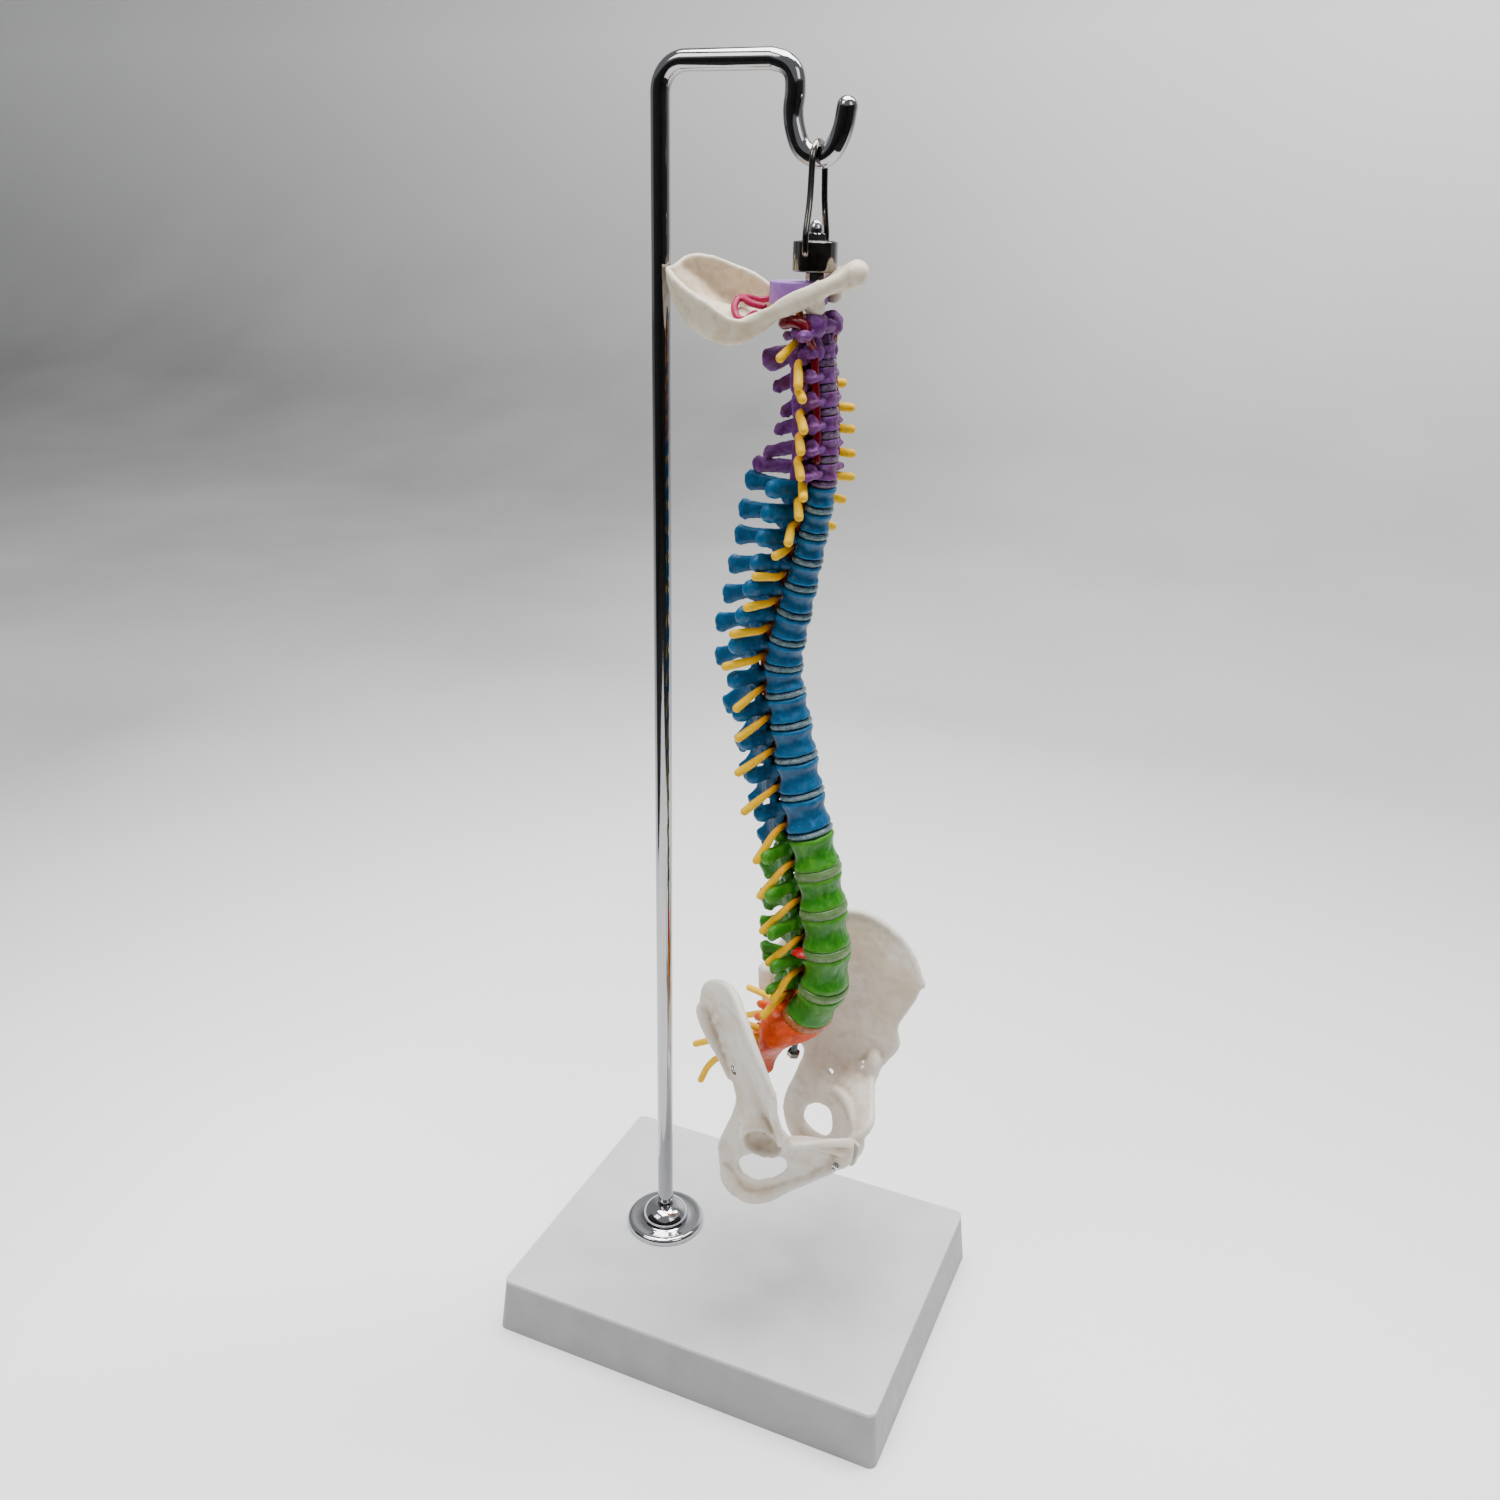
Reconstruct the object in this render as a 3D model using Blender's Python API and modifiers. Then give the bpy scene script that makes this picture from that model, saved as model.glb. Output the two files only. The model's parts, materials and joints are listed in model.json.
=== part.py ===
"""Half-size teaching model of the human spine with its pelvis, hung from a bench stand.

Metres, +Z up. The origin is the middle of the base's underside, +X runs along the base's long
edge from the rod towards the spine, and the spine looks along +X. Sizes are named in millimetres.
"""
import math

import bmesh
import bpy
from mathutils import Matrix, Vector

MM = 0.001
SEAT_GAP = 0.3 * MM

# Stand
BASE_LENGTH = 200 * MM
BASE_DEPTH = 149 * MM
BASE_HEIGHT = 30 * MM
BASE_DRAFT = 2.7 * MM
BASE_WALL = 2.6 * MM
BASE_CORNER = 5 * MM
BASE_EDGE = 1.6 * MM
BOSS_RADIUS = 13 * MM
BOSS_DEPTH = 19 * MM
RIB_THICKNESS = 2.4 * MM
RIB_DEPTH = 14 * MM

ROD_RADIUS = 4 * MM
ROD_X = -45.3 * MM
ROD_CLEARANCE = 0.5 * MM
ROD_HEIGHT = 593.8 * MM
ROD_BEND = 11 * MM
ROD_END_Z = 2 * MM

FLANGE_RADIUS = 20.5 * MM
FLANGE_RIM = 3.3 * MM
FLANGE_DOME_RADIUS = 12.5 * MM
FLANGE_DOME_RISE = 8 * MM
WASHER_RADIUS = 9 * MM
WASHER_THICKNESS = 1.6 * MM
ROD_NUT_WIDTH = 13 * MM
ROD_NUT_HEIGHT = 5.5 * MM

# Hanger
HANG_X = 21.8 * MM
HOOK_BOTTOM_Z = 560 * MM
HOOK_HALF_WIDTH = 10.6 * MM
# Hook centreline in millimetres: the neck from its start, the bowl from the hang axis,
# the rounded tip by share of radius
HOOK_NECK = [(-9.3, 593.8), (-3.6, 592.0), (-0.3, 588.4), (0.3, 582.5), (-0.3, 576.5), (0.6, 570.2)]
HOOK_BOWL = [(-7.2, 3.6), (-2.2, 0.4), (2.2, 0.2), (6.2, 3.6), (9.2, 10.0), (10.6, 17.5)]
HOOK_TIP = [(1.6, 0.92), (2.9, 0.70), (3.6, 0.42)]
BAIL_WIRE_RADIUS = 1.25 * MM
BAIL_TOP_RADIUS = 6.6 * MM
BAIL_PIVOT_Z = 526 * MM
BAIL_SIDE_GAP = 0.9 * MM
CUP_RADIUS = 8.75 * MM
CUP_WALL = 1.3 * MM
CUP_BOTTOM_Z = 519.3 * MM
CUP_TOP_Z = 530.5 * MM
CUP_FLOOR = 1.5 * MM
PIVOT_CLEARANCE = 0.4 * MM
STUD_RADIUS = 2 * MM
STUD_CLEARANCE = 0.4 * MM
LOCK_NUT_RADIUS = 3.6 * MM
LOCK_NUT_HEIGHT = 2.6 * MM
HANGER_WASHER_RADIUS = 4.6 * MM
HANGER_WASHER_THICKNESS = 0.9 * MM
DOME_NUT_WIDTH = 6.4 * MM
DOME_NUT_HEIGHT = 11 * MM
DOME_RADIUS = 2.8 * MM

# Whole hanging spine, moved a little on its axis so that it hangs in balance
BALANCE_X = 0 * MM
BALANCE_Y = 1.4 * MM

# Brain stem block and occiput
BLOCK_RADIUS = 11.6 * MM
BLOCK_BACK = 7 * MM
BLOCK_TOP_Z = 515.5 * MM
BLOCK_BOTTOM_Z = 507 * MM
OCCIPUT_WALL = 2.2 * MM
OCCIPUT_ROLL = math.radians(12)
SKULL_PIVOT_Z = 510 * MM
OCCIPUT_TRIANGLES = 360
CONDYLE = (3.5 * MM, 9.5 * MM, 508.8 * MM)
# Scoop stations, back to front: forward, half width, edge height,
# height of the side hollows and of the middle ridge
OCCIPUT = [(-60, 6, 522, 518, 518), (-58, 11, 521.5, 511, 511), (-52, 17, 518.5, 503.5, 506),
           (-45, 20.5, 515, 499, 504.5),
           (-36, 22.5, 511, 496.5, 503.5), (-27, 22.5, 505.5, 496, 502.5), (-19, 19.5, 505, 499, 501.5),
           (-12, 17, 509, 504.5, 505),
           (-6, 15.5, 513, 508, 508), (0, 13.5, 515.5, 510.5, 510.5), (6, 10, 518, 513, 513)]
CLIVUS = [(2, 512.0, 7.5, 2.2), (9, 515.0, 5.6, 2.6), (17, 519.5, 4.4, 3.6)]
BAND_ROUTES = [[(-33.5, 0), (-20.8, 0)], [(-33.5, 0), (-33.2, 0.16), (-30, 0.30), (-25, 0.38), (-20.5, 0.40)],
               [(-33.5, 0), (-33.2, -0.16), (-30, -0.30), (-26, -0.38), (-22.5, -0.42)]]
BAND_WIDTH = 2.2 * MM
BAND_CLEARANCE = 0.9 * MM
BAND_HEIGHT = 1.8 * MM

# Spine
TWIST = math.radians(-15.5)
TWIST_TOP_Z = 500 * MM
TWIST_BOTTOM_Z = 200 * MM
DISC_THICKNESS = 2.6 * MM
CORE_RADIUS = 1.5 * MM
CORE_CLEARANCE = 0.75 * MM
CORE_END_Z = 157 * MM
ARCH_WALL = 1.9 * MM
FACET_SETBACK = 2.3 * MM
FACET_THICKNESS = 1.7 * MM
FACET_GAP = 0.8 * MM
FACET_OVERLAP = 0.13
SHORT_JOINTS = {"l3": 0.07, "l4": -0.05, "l5": 0.03}
CORD_RADIUS = 1.6 * MM
NERVE_RADIUS = 1.5 * MM
ARTERY_RADIUS = 1.15 * MM
ARTERY_CLEARANCE = 0.7 * MM
ATLAS_Z = 498.2 * MM
AXIS_TOP_Z = 493.8 * MM
DENS = [(489, 3.0), (496, 2.8), (501.5, 2.8)]
PROCESS_TRIANGLES = 70
ATLAS_TRIANGLES = 190
BODY_SIDES = 9
CANAL_BORE = 3.3 * MM
SHORT_TIPS = {"l4": 3.4 * MM, "l5": 2.8 * MM}
CROWDED_SLANT = 0.72
TIP_HEIGHTS = {"c": 2.3 * MM, "t": 3.6 * MM, "l": 5.2 * MM}
TIP_WIDTHS = {"c": 2.3 * MM, "t": 2.1 * MM, "l": 2.0 * MM}
JOINT_WIDTHS = {"c": 1.6 * MM, "t": 1.5 * MM, "l": 2.1 * MM}
DENS_TRIANGLES = 60
HERNIA_TRIM = 1.03
ARTERY_FOOT = (0.2 * MM, 10.2 * MM, -4.4 * MM)
ARTERY_SIDE = 9.9 * MM
ARTERY_SIDE_TOP = 9.6 * MM
ARTERY_LOOP = [(-0.6, 12.8, -4.2), (-1.0, 13.6, -0.8), (-2.0, 13.6, 2.6), (-6.0, 13.0, 4.6),
               (-10.4, 11.0, 4.4), (-12.4, 7.6, 4.6)]

# How far the middle of the column lies in front of the hang axis, top to bottom: height, offset
COLUMN = [(507, 0.8), (497, 3.6), (480, 5.2), (462, 7.0), (440, 7.0), (416, 3.0), (394, -1.8), (356, -9.2),
          (330, -4.5), (298, 2.5), (262, 12.8), (228, 19.4), (204, 19.4), (187, 11.8), (176, 7.4),
          (166, 4.6), (155, 2.8)]

# Vertebrae, top to bottom: name, height with its disc, half depth and half width of the body, canal
# radius, reach and drop of the spinous process, reach of the transverse process, and where the
# nerve below it ends: forward and up from the disc
VERTEBRAE = [
    ("c2", 8.3, 4.6, 6.6, 3.5, 25.5, 3.5, 11.5, -3.4, -7.0),
    ("c3", 9.6, 4.8, 6.8, 3.4, 21.5, 4.5, 12.5, -2.0, -2.5),
    ("c4", 9.3, 4.8, 6.9, 3.4, 19.0, 4.5, 12.5, -2.0, -5.0),
    ("c5", 9.1, 4.9, 7.0, 3.4, 22.0, 3.5, 13.0, -3.0, -4.3),
    ("c6", 9.5, 5.0, 7.1, 3.4, 27.0, 4.5, 13.5, -2.5, -5.0),
    ("c7", 9.8, 5.2, 7.3, 3.4, 32.0, 2.5, 16.0, 0.0, -3.3),
    ("t1", 10.8, 5.6, 7.6, 3.3, 34.5, 2.5, 17.5, 0.0, -0.5),
    ("t2", 10.9, 6.0, 7.6, 3.2, 35.0, 6.0, 17.0, -2.0, -1.0),
    ("t3", 11.2, 6.5, 7.6, 3.1, 34.5, 7.0, 16.5, -6.0, 3.0),
    ("t4", 11.5, 7.0, 7.8, 3.1, 34.5, 9.5, 16.0, -12.5, 3.2),
    ("t5", 12.1, 7.6, 8.2, 3.1, 34.0, 12.0, 16.0, -13.0, 2.6),
    ("t6", 12.7, 8.2, 8.6, 3.1, 34.5, 13.5, 16.0, -16.5, 2.2),
    ("t7", 12.5, 8.6, 9.0, 3.1, 33.0, 13.5, 16.0, -18.0, 1.6),
    ("t8", 12.7, 8.9, 9.4, 3.1, 31.5, 15.5, 15.5, -14.0, 0.0),
    ("t9", 13.6, 9.1, 9.9, 3.1, 30.5, 16.5, 15.0, -16.0, 0.0),
    ("t10", 15.3, 9.4, 10.4, 3.2, 30.0, 17.0, 14.0, -19.0, -2.5),
    ("t11", 16.8, 9.6, 10.9, 3.4, 28.5, 15.0, 12.5, -19.5, -3.0),
    ("t12", 17.6, 9.9, 11.3, 3.6, 28.5, 13.0, 11.5, -19.0, -7.5),
    ("l1", 18.2, 10.1, 11.6, 3.7, 31.0, 10.0, 18.0, -20.5, -7.0),
    ("l2", 18.2, 10.3, 11.9, 3.8, 34.5, 9.0, 20.0, -22.0, -7.0),
    ("l3", 19.8, 10.5, 12.3, 3.9, 37.0, 7.0, 22.0, -19.5, -5.0),
    ("l4", 20.2, 10.9, 12.8, 4.0, 37.5, 3.2, 20.5, -13.5, -7.0),
    ("l5", 18.6, 11.3, 13.3, 4.0, 34.0, 3.4, 20.0, -12.0, -3.0),
]
NERVE_REACH = 19 * MM
NERVE_SLOT = 0.9 * MM
NERVE_NECK = 0.7
CORD_TRIANGLES = 1300
HERNIA_PLACE = (-6.5 * MM, -10.5 * MM, 0)
HERNIA_SIZE = (5.0 * MM, 4.2 * MM, 1.9 * MM)
CORD_END = [(-2.4, 0, 181), (-6.4, 0, 174)]
SACRAL_CREST = [(-6, 178, 13, 2.8), (-10.5, 170, 10, 2.8), (-13.5, 161.5, 7, 2.2)]
SACRAL_JOINT_ROOT = (-6, 7, 174)
SACRAL_JOINT_SIDE = 5.4 * MM
# Sacral nerves, from their holes in the back of the sacrum outwards: forward, to the side and up
SACRAL_NERVES = {
    "s1": [(-8.5, 10, 172), (-14, 11.5, 172.6), (-24, 13.5, 173), (-38, 16, 171)],
    "s2": [(-9.5, 9, 166.5), (-15, 10.8, 166), (-24, 13, 163.5), (-46, 16, 150)],
    "s3": [(-10, 8, 161.5), (-15.5, 10, 160.5), (-31, 14.5, 148.5), (-38, 15.5, 140), (-42.5, 16, 130)],
}
SACRAL_NERVE_RADIUS = 1.35 * MM
SACRAL_NERVE_CLEARANCE = 0.45 * MM

# Pelvis, in a frame turned with the end of the column: forward, left and up, from the hang axis
PELVIS_WALL = 3.2 * MM
CREST_RADIUS = 2.3 * MM
CREST = [(-35, 24, 178), (-27, 31, 197), (-12, 41, 211), (3, 48, 216.5), (16, 55, 211), (28, 60, 199),
         (37.5, 60, 183)]
UPPER_BLADE = [(-33, 21.5, 168), (-24, 25, 180), (-11, 33, 191), (3, 40, 195), (16, 47, 192), (27, 52, 184),
               (36, 57, 175)]
LOWER_BLADE = [(-24, 21, 156), (-17, 24, 162), (-6, 30, 168), (6, 36, 170), (17, 42, 169), (26, 46, 166),
               (31, 50, 161)]
HIP_WAIST = [(-10, 26, 144), (-3, 28.5, 148), (6, 32.5, 151), (15, 37, 152), (23, 41, 152), (30, 45, 152),
             (34, 48, 151)]
SOCKET_ROW = [(-13, 26, 128), (-4, 28, 131), (4, 31, 133), (12, 34, 134), (19, 35.5, 135), (25, 36, 136),
              (29, 36, 137)]
RAMUS_ROW = [(-20, 27, 110), (-11, 27.5, 114), (0, 27, 118), (11, 24.5, 121), (21, 20.5, 125), (33, 16, 130),
             (45, 11, 133)]
RING_ROW = [(-20, 26, 97), (-9, 26, 96), (0, 25, 98), (11, 21, 103), (22, 15.5, 109), (33, 8, 118),
            (43, 2.4, 125)]
SEAT_ROW = [(-15, 27, 87), (-5, 26.5, 81), (5, 23.5, 84), (14, 18.5, 91), (23, 12, 98), (32, 6, 105),
            (40, 2.4, 112)]
FORAMEN_CENTRE = (4.5, 24, 106)
FORAMEN_HALF_LENGTH = 12 * MM
FORAMEN_HALF_HEIGHT = 8.5 * MM
SOCKET_CENTRE = (16.5, 36, 141)
SOCKET_FACING = (0.35, 0.88, -0.3)
SOCKET_RADIUS = 10 * MM
SOCKET_WALL = 2.6 * MM
SOCKET_HOLE_CENTRE = (5, 31.5, 132)
SOCKET_HOLE_WIDTH = 3.4 * MM
HIP_TRIANGLES = 280
SACRUM_TRIANGLES = 260
SYMPHYSIS_SCREW_PLACE = (37.5, 0, 113.5)
SYMPHYSIS_SCREW_ENDS = (8.0 * MM, -8.6 * MM)
SACRAL_SCREW_PLACE = (-12, 25.4, 156)
SCREW_LENGTH = 19 * MM
CORE_NUT_WIDTH = 5.5 * MM
CORE_NUT_HEIGHT = 2.6 * MM
SYMPHYSIS_CENTRE = (40.2, 0, 118.5)
SYMPHYSIS_THICKNESS = 1.8 * MM
SYMPHYSIS_LEAN = math.radians(13)
PUBIC_BODY_CENTRE = (39.5, 4.6, 119)
SCREW_RADIUS = 1.1 * MM
SCREW_HEAD_RADIUS = 2.0 * MM
SCREW_HEAD_HEIGHT = 1.4 * MM
SCREW_CLEARANCE = 0.35 * MM
SCREW_SLOT_REACH = 1.25 * MM
SCREW_SLOT_WIDTH = 0.6 * MM
SCREW_SLOT_DEPTH = 0.7 * MM
SCREW_SLOT_TURN = math.radians(20)

# Sacrum rings, top to bottom: forward, up, half width, half depth in front, half depth behind
SACRUM = [(8.0, 179.0, 17.5, 9.4, 17.5), (1.5, 171.0, 18.0, 6.6, 16.5), (-5.0, 162.5, 15.0, 4.8, 9.0),
          (-9.5, 154.5, 11.0, 3.6, 6.5), (-12.0, 147.5, 6.5, 2.8, 4.0), (-11.5, 140.5, 2.6, 1.6, 2.0)]

# Colours and finish: base colour, roughness, metallic
PAINTS = {
    "base_plastic": ((0.62, 0.62, 0.63), 0.45, 0.0),
    "chrome_steel": ((0.80, 0.80, 0.82), 0.12, 1.0),
    "dark_nickel": ((0.30, 0.29, 0.28), 0.18, 1.0),
    "bone_plastic": ((0.80, 0.74, 0.62), 0.40, 0.0),
    "hip_plastic": ((0.72, 0.69, 0.62), 0.42, 0.0),
    "cervical_purple": ((0.20, 0.07, 0.26), 0.30, 0.0),
    "block_purple": ((0.34, 0.17, 0.46), 0.35, 0.0),
    "thoracic_blue": ((0.01, 0.09, 0.24), 0.28, 0.0),
    "lumbar_green": ((0.05, 0.26, 0.03), 0.28, 0.0),
    "sacral_orange": ((0.70, 0.12, 0.02), 0.32, 0.0),
    "disc_clear": ((0.26, 0.32, 0.27), 0.25, 0.0),
    "nerve_yellow": ((0.80, 0.45, 0.02), 0.30, 0.0),
    "artery_red": ((0.28, 0.01, 0.02), 0.25, 0.0),
    "sinus_magenta": ((0.58, 0.02, 0.16), 0.30, 0.0),
    "hernia_crimson": ((0.36, 0.01, 0.02), 0.28, 0.0),
}


def clear_scene():
    for obj in list(bpy.data.objects):
        bpy.data.objects.remove(obj, do_unlink=True)


def new_collection(name):
    collection = bpy.data.collections.new(name)
    bpy.context.scene.collection.children.link(collection)
    return collection


clear_scene()
MODEL = new_collection("spine_anatomy_model")
MATERIALS = {}


def paint(name):
    """The named finish, made once."""
    if name not in MATERIALS:
        colour, roughness, metallic = PAINTS[name]
        material = bpy.data.materials.new(name)
        material.use_nodes = True
        shader = material.node_tree.nodes["Principled BSDF"]
        shader.inputs["Base Color"].default_value = (*colour, 1)
        shader.inputs["Roughness"].default_value = roughness
        shader.inputs["Metallic"].default_value = metallic
        material.diffuse_color = (*colour, 1)
        MATERIALS[name] = material
    return MATERIALS[name]


def mesh_object(name, bm):
    """A bmesh turned into an object of the model, with its faces pointing out."""
    bmesh.ops.recalc_face_normals(bm, faces=bm.faces)
    mesh = bpy.data.meshes.new(name)
    bm.to_mesh(mesh)
    bm.free()
    obj = bpy.data.objects.new(name, mesh)
    MODEL.objects.link(obj)
    return obj


def finish_object(obj, name, finish):
    """Name, colour and smooth shading of a finished piece."""
    obj.name = name
    obj.data.name = name
    obj.data.materials.clear()
    obj.data.materials.append(paint(finish))
    obj.data.shade_smooth()
    obj.data.set_sharp_from_angle(angle=math.radians(40))
    return obj


def freeze(obj):
    """Replace an object's mesh by its evaluated one, modifiers applied."""
    depsgraph = bpy.context.evaluated_depsgraph_get()
    mesh = bpy.data.meshes.new_from_object(obj.evaluated_get(depsgraph), depsgraph=depsgraph)
    if obj.type == "MESH":
        obj.modifiers.clear()
        obj.data = mesh
        return obj
    solid = bpy.data.objects.new(obj.name, mesh)
    MODEL.objects.link(solid)
    solid.matrix_world = obj.matrix_world
    bpy.data.objects.remove(obj, do_unlink=True)
    weld(solid)
    return solid


def weld(obj):
    """Join the loose caps of a swept curve to its tube."""
    bm = bmesh.new()
    bm.from_mesh(obj.data)
    bmesh.ops.remove_doubles(bm, verts=bm.verts, dist=0.01 * MM)
    bmesh.ops.recalc_face_normals(bm, faces=bm.faces)
    bm.to_mesh(obj.data)
    bm.free()


def boolean(target, tool, operation, own_overlaps=False):
    """Cut or join one solid with another, which is used up."""
    modifier = target.modifiers.new(operation.lower(), "BOOLEAN")
    modifier.operation = operation
    modifier.solver = "EXACT"
    modifier.use_self = own_overlaps
    modifier.object = tool
    bpy.context.view_layer.update()
    freeze(target)
    bpy.data.objects.remove(tool, do_unlink=True)
    return target


def merged(name, bm):
    """One closed solid from overlapping closed shapes in one mesh."""
    return boolean(mesh_object(name, bm),
                   ellipsoid("speck", Matrix.Diagonal((0.01 * MM, 0.01 * MM, 0.01 * MM, 1)), 4, 3),
                   "DIFFERENCE", True)


def shells(mesh):
    """How many separate closed bodies a mesh holds, or none if any edge is open."""
    bm = bmesh.new()
    bm.from_mesh(mesh)
    if not all(edge.is_manifold for edge in bm.edges):
        bm.free()
        return 0
    count = 0
    seen = set()
    for start in bm.verts:
        count += start not in seen
        waiting = [start]
        while waiting:
            vert = waiting.pop()
            if vert not in seen:
                seen.add(vert)
                waiting.extend(edge.other_vert(vert) for edge in vert.link_edges)
    bm.free()
    return count


def loft(bm, rings, closed=False):
    """A solid through rings of points, each with as many points; the ends are capped."""
    rows = [[bm.verts.new(point) for point in ring] for ring in rings]
    if closed:
        rows.append(rows[0])
    for lower, upper in zip(rows, rows[1:]):
        for i in range(len(lower)):
            j = (i + 1) % len(lower)
            bm.faces.new((lower[i], lower[j], upper[j], upper[i]))
    if not closed:
        bm.faces.new(rows[0])
        bm.faces.new(rows[-1])


def oval(centre, across, along, half_across, half_along, sides, turn=0.5):
    """A ring of points on an ellipse in the plane of two directions."""
    points = []
    for i in range(sides):
        angle = 2 * math.pi * (i + turn) / sides
        spot = across * (half_across * math.cos(angle)) + along * (half_along * math.sin(angle))
        points.append(centre + spot)
    return points


def limb(bm, stations, sides=4, up=Vector((0, 0, 1))):
    """A tapering bar through stations of centre, half width and half height."""
    rings = []
    for i, (centre, half_width, half_height) in enumerate(stations):
        before = stations[max(i - 1, 0)][0]
        after = stations[min(i + 1, len(stations) - 1)][0]
        ahead = (after - before).normalized()
        side = ahead.cross(up).normalized()
        rise = side.cross(ahead).normalized()
        rings.append(oval(centre, side, rise, half_width, half_height, sides))
    loft(bm, rings)


def tube(name, points, radius, bevel_resolution=2, radii=None):
    """A round bar along points, as a curve with a bevel and filled ends."""
    curve = bpy.data.curves.new(name, "CURVE")
    curve.dimensions = "3D"
    spline = curve.splines.new("POLY")
    spline.points.add(len(points) - 1)
    for i, point in enumerate(points):
        spline.points[i].co = (*point, 1)
        if radii:
            spline.points[i].radius = radii[i]
    curve.bevel_depth = radius
    curve.bevel_resolution = bevel_resolution
    curve.use_fill_caps = True
    obj = bpy.data.objects.new(name, curve)
    MODEL.objects.link(obj)
    return obj


def cylinder(name, centre, radius, height, sides=16, axis=Vector((0, 0, 1))):
    """A cylinder about an axis through its centre."""
    bm = bmesh.new()
    turn = Vector((0, 0, 1)).rotation_difference(axis).to_matrix().to_4x4()
    bmesh.ops.create_cone(bm, cap_ends=True, segments=sides, radius1=radius, radius2=radius, depth=height,
                          matrix=Matrix.Translation(centre) @ turn)
    return mesh_object(name, bm)


def lighten(obj, triangles):
    """Collapse the flattest edges until about so many triangles are left, and keep the mesh closed."""
    whole = obj.data
    now = sum(len(face.vertices) - 2 for face in whole.polygons)
    target = triangles
    bodies = shells(whole)
    while target < now:
        modifier = obj.modifiers.new("lighten", "DECIMATE")
        modifier.ratio = target / now
        modifier.use_collapse_triangulate = True
        bpy.context.view_layer.update()
        freeze(obj)
        if shells(obj.data) == bodies:
            return obj
        obj.data = whole
        target += 5
    return obj


def ellipsoid(name, matrix, segments=10, rings=6):
    """A unit ball placed and stretched by a matrix."""
    bm = bmesh.new()
    bmesh.ops.create_uvsphere(bm, u_segments=segments, v_segments=rings, radius=1, matrix=matrix)
    return mesh_object(name, bm)


def box(name, centre, size, turn=None):
    """A box of a size about its centre."""
    bm = bmesh.new()
    matrix = Matrix.Translation(centre) @ (turn.to_4x4() if turn else Matrix.Identity(4))
    bmesh.ops.create_cube(bm, size=1, matrix=matrix @ Matrix.Diagonal((*size, 1)))
    return mesh_object(name, bm)


def turned(name, profile, sides, place, finish):
    """A turned piece: a closed or axis-ended profile of radius and height, run by a Screw modifier."""
    mesh = bpy.data.meshes.new(name)
    points = [(radius, 0, height) for radius, height in profile]
    edges = [(i, i + 1) for i in range(len(points) - 1)]
    if profile[0][0] > 0:
        edges.append((len(points) - 1, 0))
    mesh.from_pydata(points, edges, [])
    obj = bpy.data.objects.new(name, mesh)
    MODEL.objects.link(obj)
    obj.location = place
    screw = obj.modifiers.new("turn", "SCREW")
    screw.steps = sides
    screw.render_steps = sides
    screw.use_merge_vertices = True
    screw.merge_threshold = 0.00001
    bpy.context.view_layer.update()
    freeze(obj)
    return finish_object(obj, name, finish)


def arc(centre, radius, start, end, steps):
    """Points of an arc in the XZ plane, from one angle to another in degrees."""
    points = []
    for i in range(steps + 1):
        angle = math.radians(start + (end - start) * i / steps)
        points.append(Vector((centre[0] + radius * math.cos(angle), 0, centre[1] + radius * math.sin(angle))))
    return points


def smooth_path(points, steps):
    """Points read from a smooth curve through the given ones."""
    path = []
    for i in range(len(points) - 1):
        before = points[max(i - 1, 0)]
        after = points[min(i + 2, len(points) - 1)]
        for k in range(steps):
            t = k / steps
            a, b = points[i], points[i + 1]
            path.append(0.5 * (2 * a + (b - before) * t + (2 * before - 5 * a + 4 * b - after) * t ** 2
                               + (3 * a - before - 3 * b + after) * t ** 3))
    path.append(points[-1])
    return path


# Stand


def tapered_block(name, length, depth, bottom, top, draft, corner):
    """A block that narrows upwards, with rounded upright corners."""
    bm = bmesh.new()
    bmesh.ops.create_cube(bm, size=1)
    for vert in bm.verts:
        grow = draft * (top - (bottom if vert.co.z < 0 else top)) / BASE_HEIGHT
        vert.co.x = math.copysign(length / 2 + grow, vert.co.x)
        vert.co.y = math.copysign(depth / 2 + grow, vert.co.y)
        vert.co.z = bottom if vert.co.z < 0 else top
    upright = [e for e in bm.edges if abs(e.verts[0].co.z - e.verts[1].co.z) > 1 * MM]
    bmesh.ops.bevel(bm, geom=upright, offset=corner, segments=2, affect="EDGES", profile=0.5)
    return mesh_object(name, bm)


def make_base():
    """The moulded base: an open-bottomed tray with a boss and ribs under the rod."""
    base = tapered_block("base", BASE_LENGTH, BASE_DEPTH, 0, BASE_HEIGHT, BASE_DRAFT, BASE_CORNER)
    bm = bmesh.new()
    bm.from_mesh(base.data)
    rim = [e for e in bm.edges if all(v.co.z > BASE_HEIGHT - 0.1 * MM for v in e.verts)]
    bmesh.ops.bevel(bm, geom=rim, offset=BASE_EDGE, segments=2, affect="EDGES", profile=0.5)
    bm.to_mesh(base.data)
    bm.free()
    ceiling = BASE_HEIGHT - BASE_WALL
    hollow = tapered_block("hollow", BASE_LENGTH - 2 * BASE_WALL, BASE_DEPTH - 2 * BASE_WALL, -5 * MM,
                           ceiling,
                           BASE_DRAFT, BASE_CORNER - BASE_WALL)
    boss = cylinder("boss", Vector((ROD_X, 0, ceiling)), BOSS_RADIUS, 2 * BOSS_DEPTH - 2 * BASE_WALL, 20)
    boolean(hollow, boss, "DIFFERENCE")
    for length, depth in ((3 * BASE_LENGTH, RIB_THICKNESS), (RIB_THICKNESS, 3 * BASE_DEPTH)):
        rib = box("rib", Vector((ROD_X, 0, ceiling)), (length, depth, 2 * RIB_DEPTH))
        boolean(hollow, rib, "DIFFERENCE")
    boolean(base, hollow, "DIFFERENCE")
    bore = cylinder("bore", Vector((ROD_X, 0, BASE_HEIGHT / 2)), ROD_RADIUS + ROD_CLEARANCE, 2 * BASE_HEIGHT,
                    16)
    boolean(base, bore, "DIFFERENCE")
    finish_object(base, "base", "base_plastic")


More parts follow.
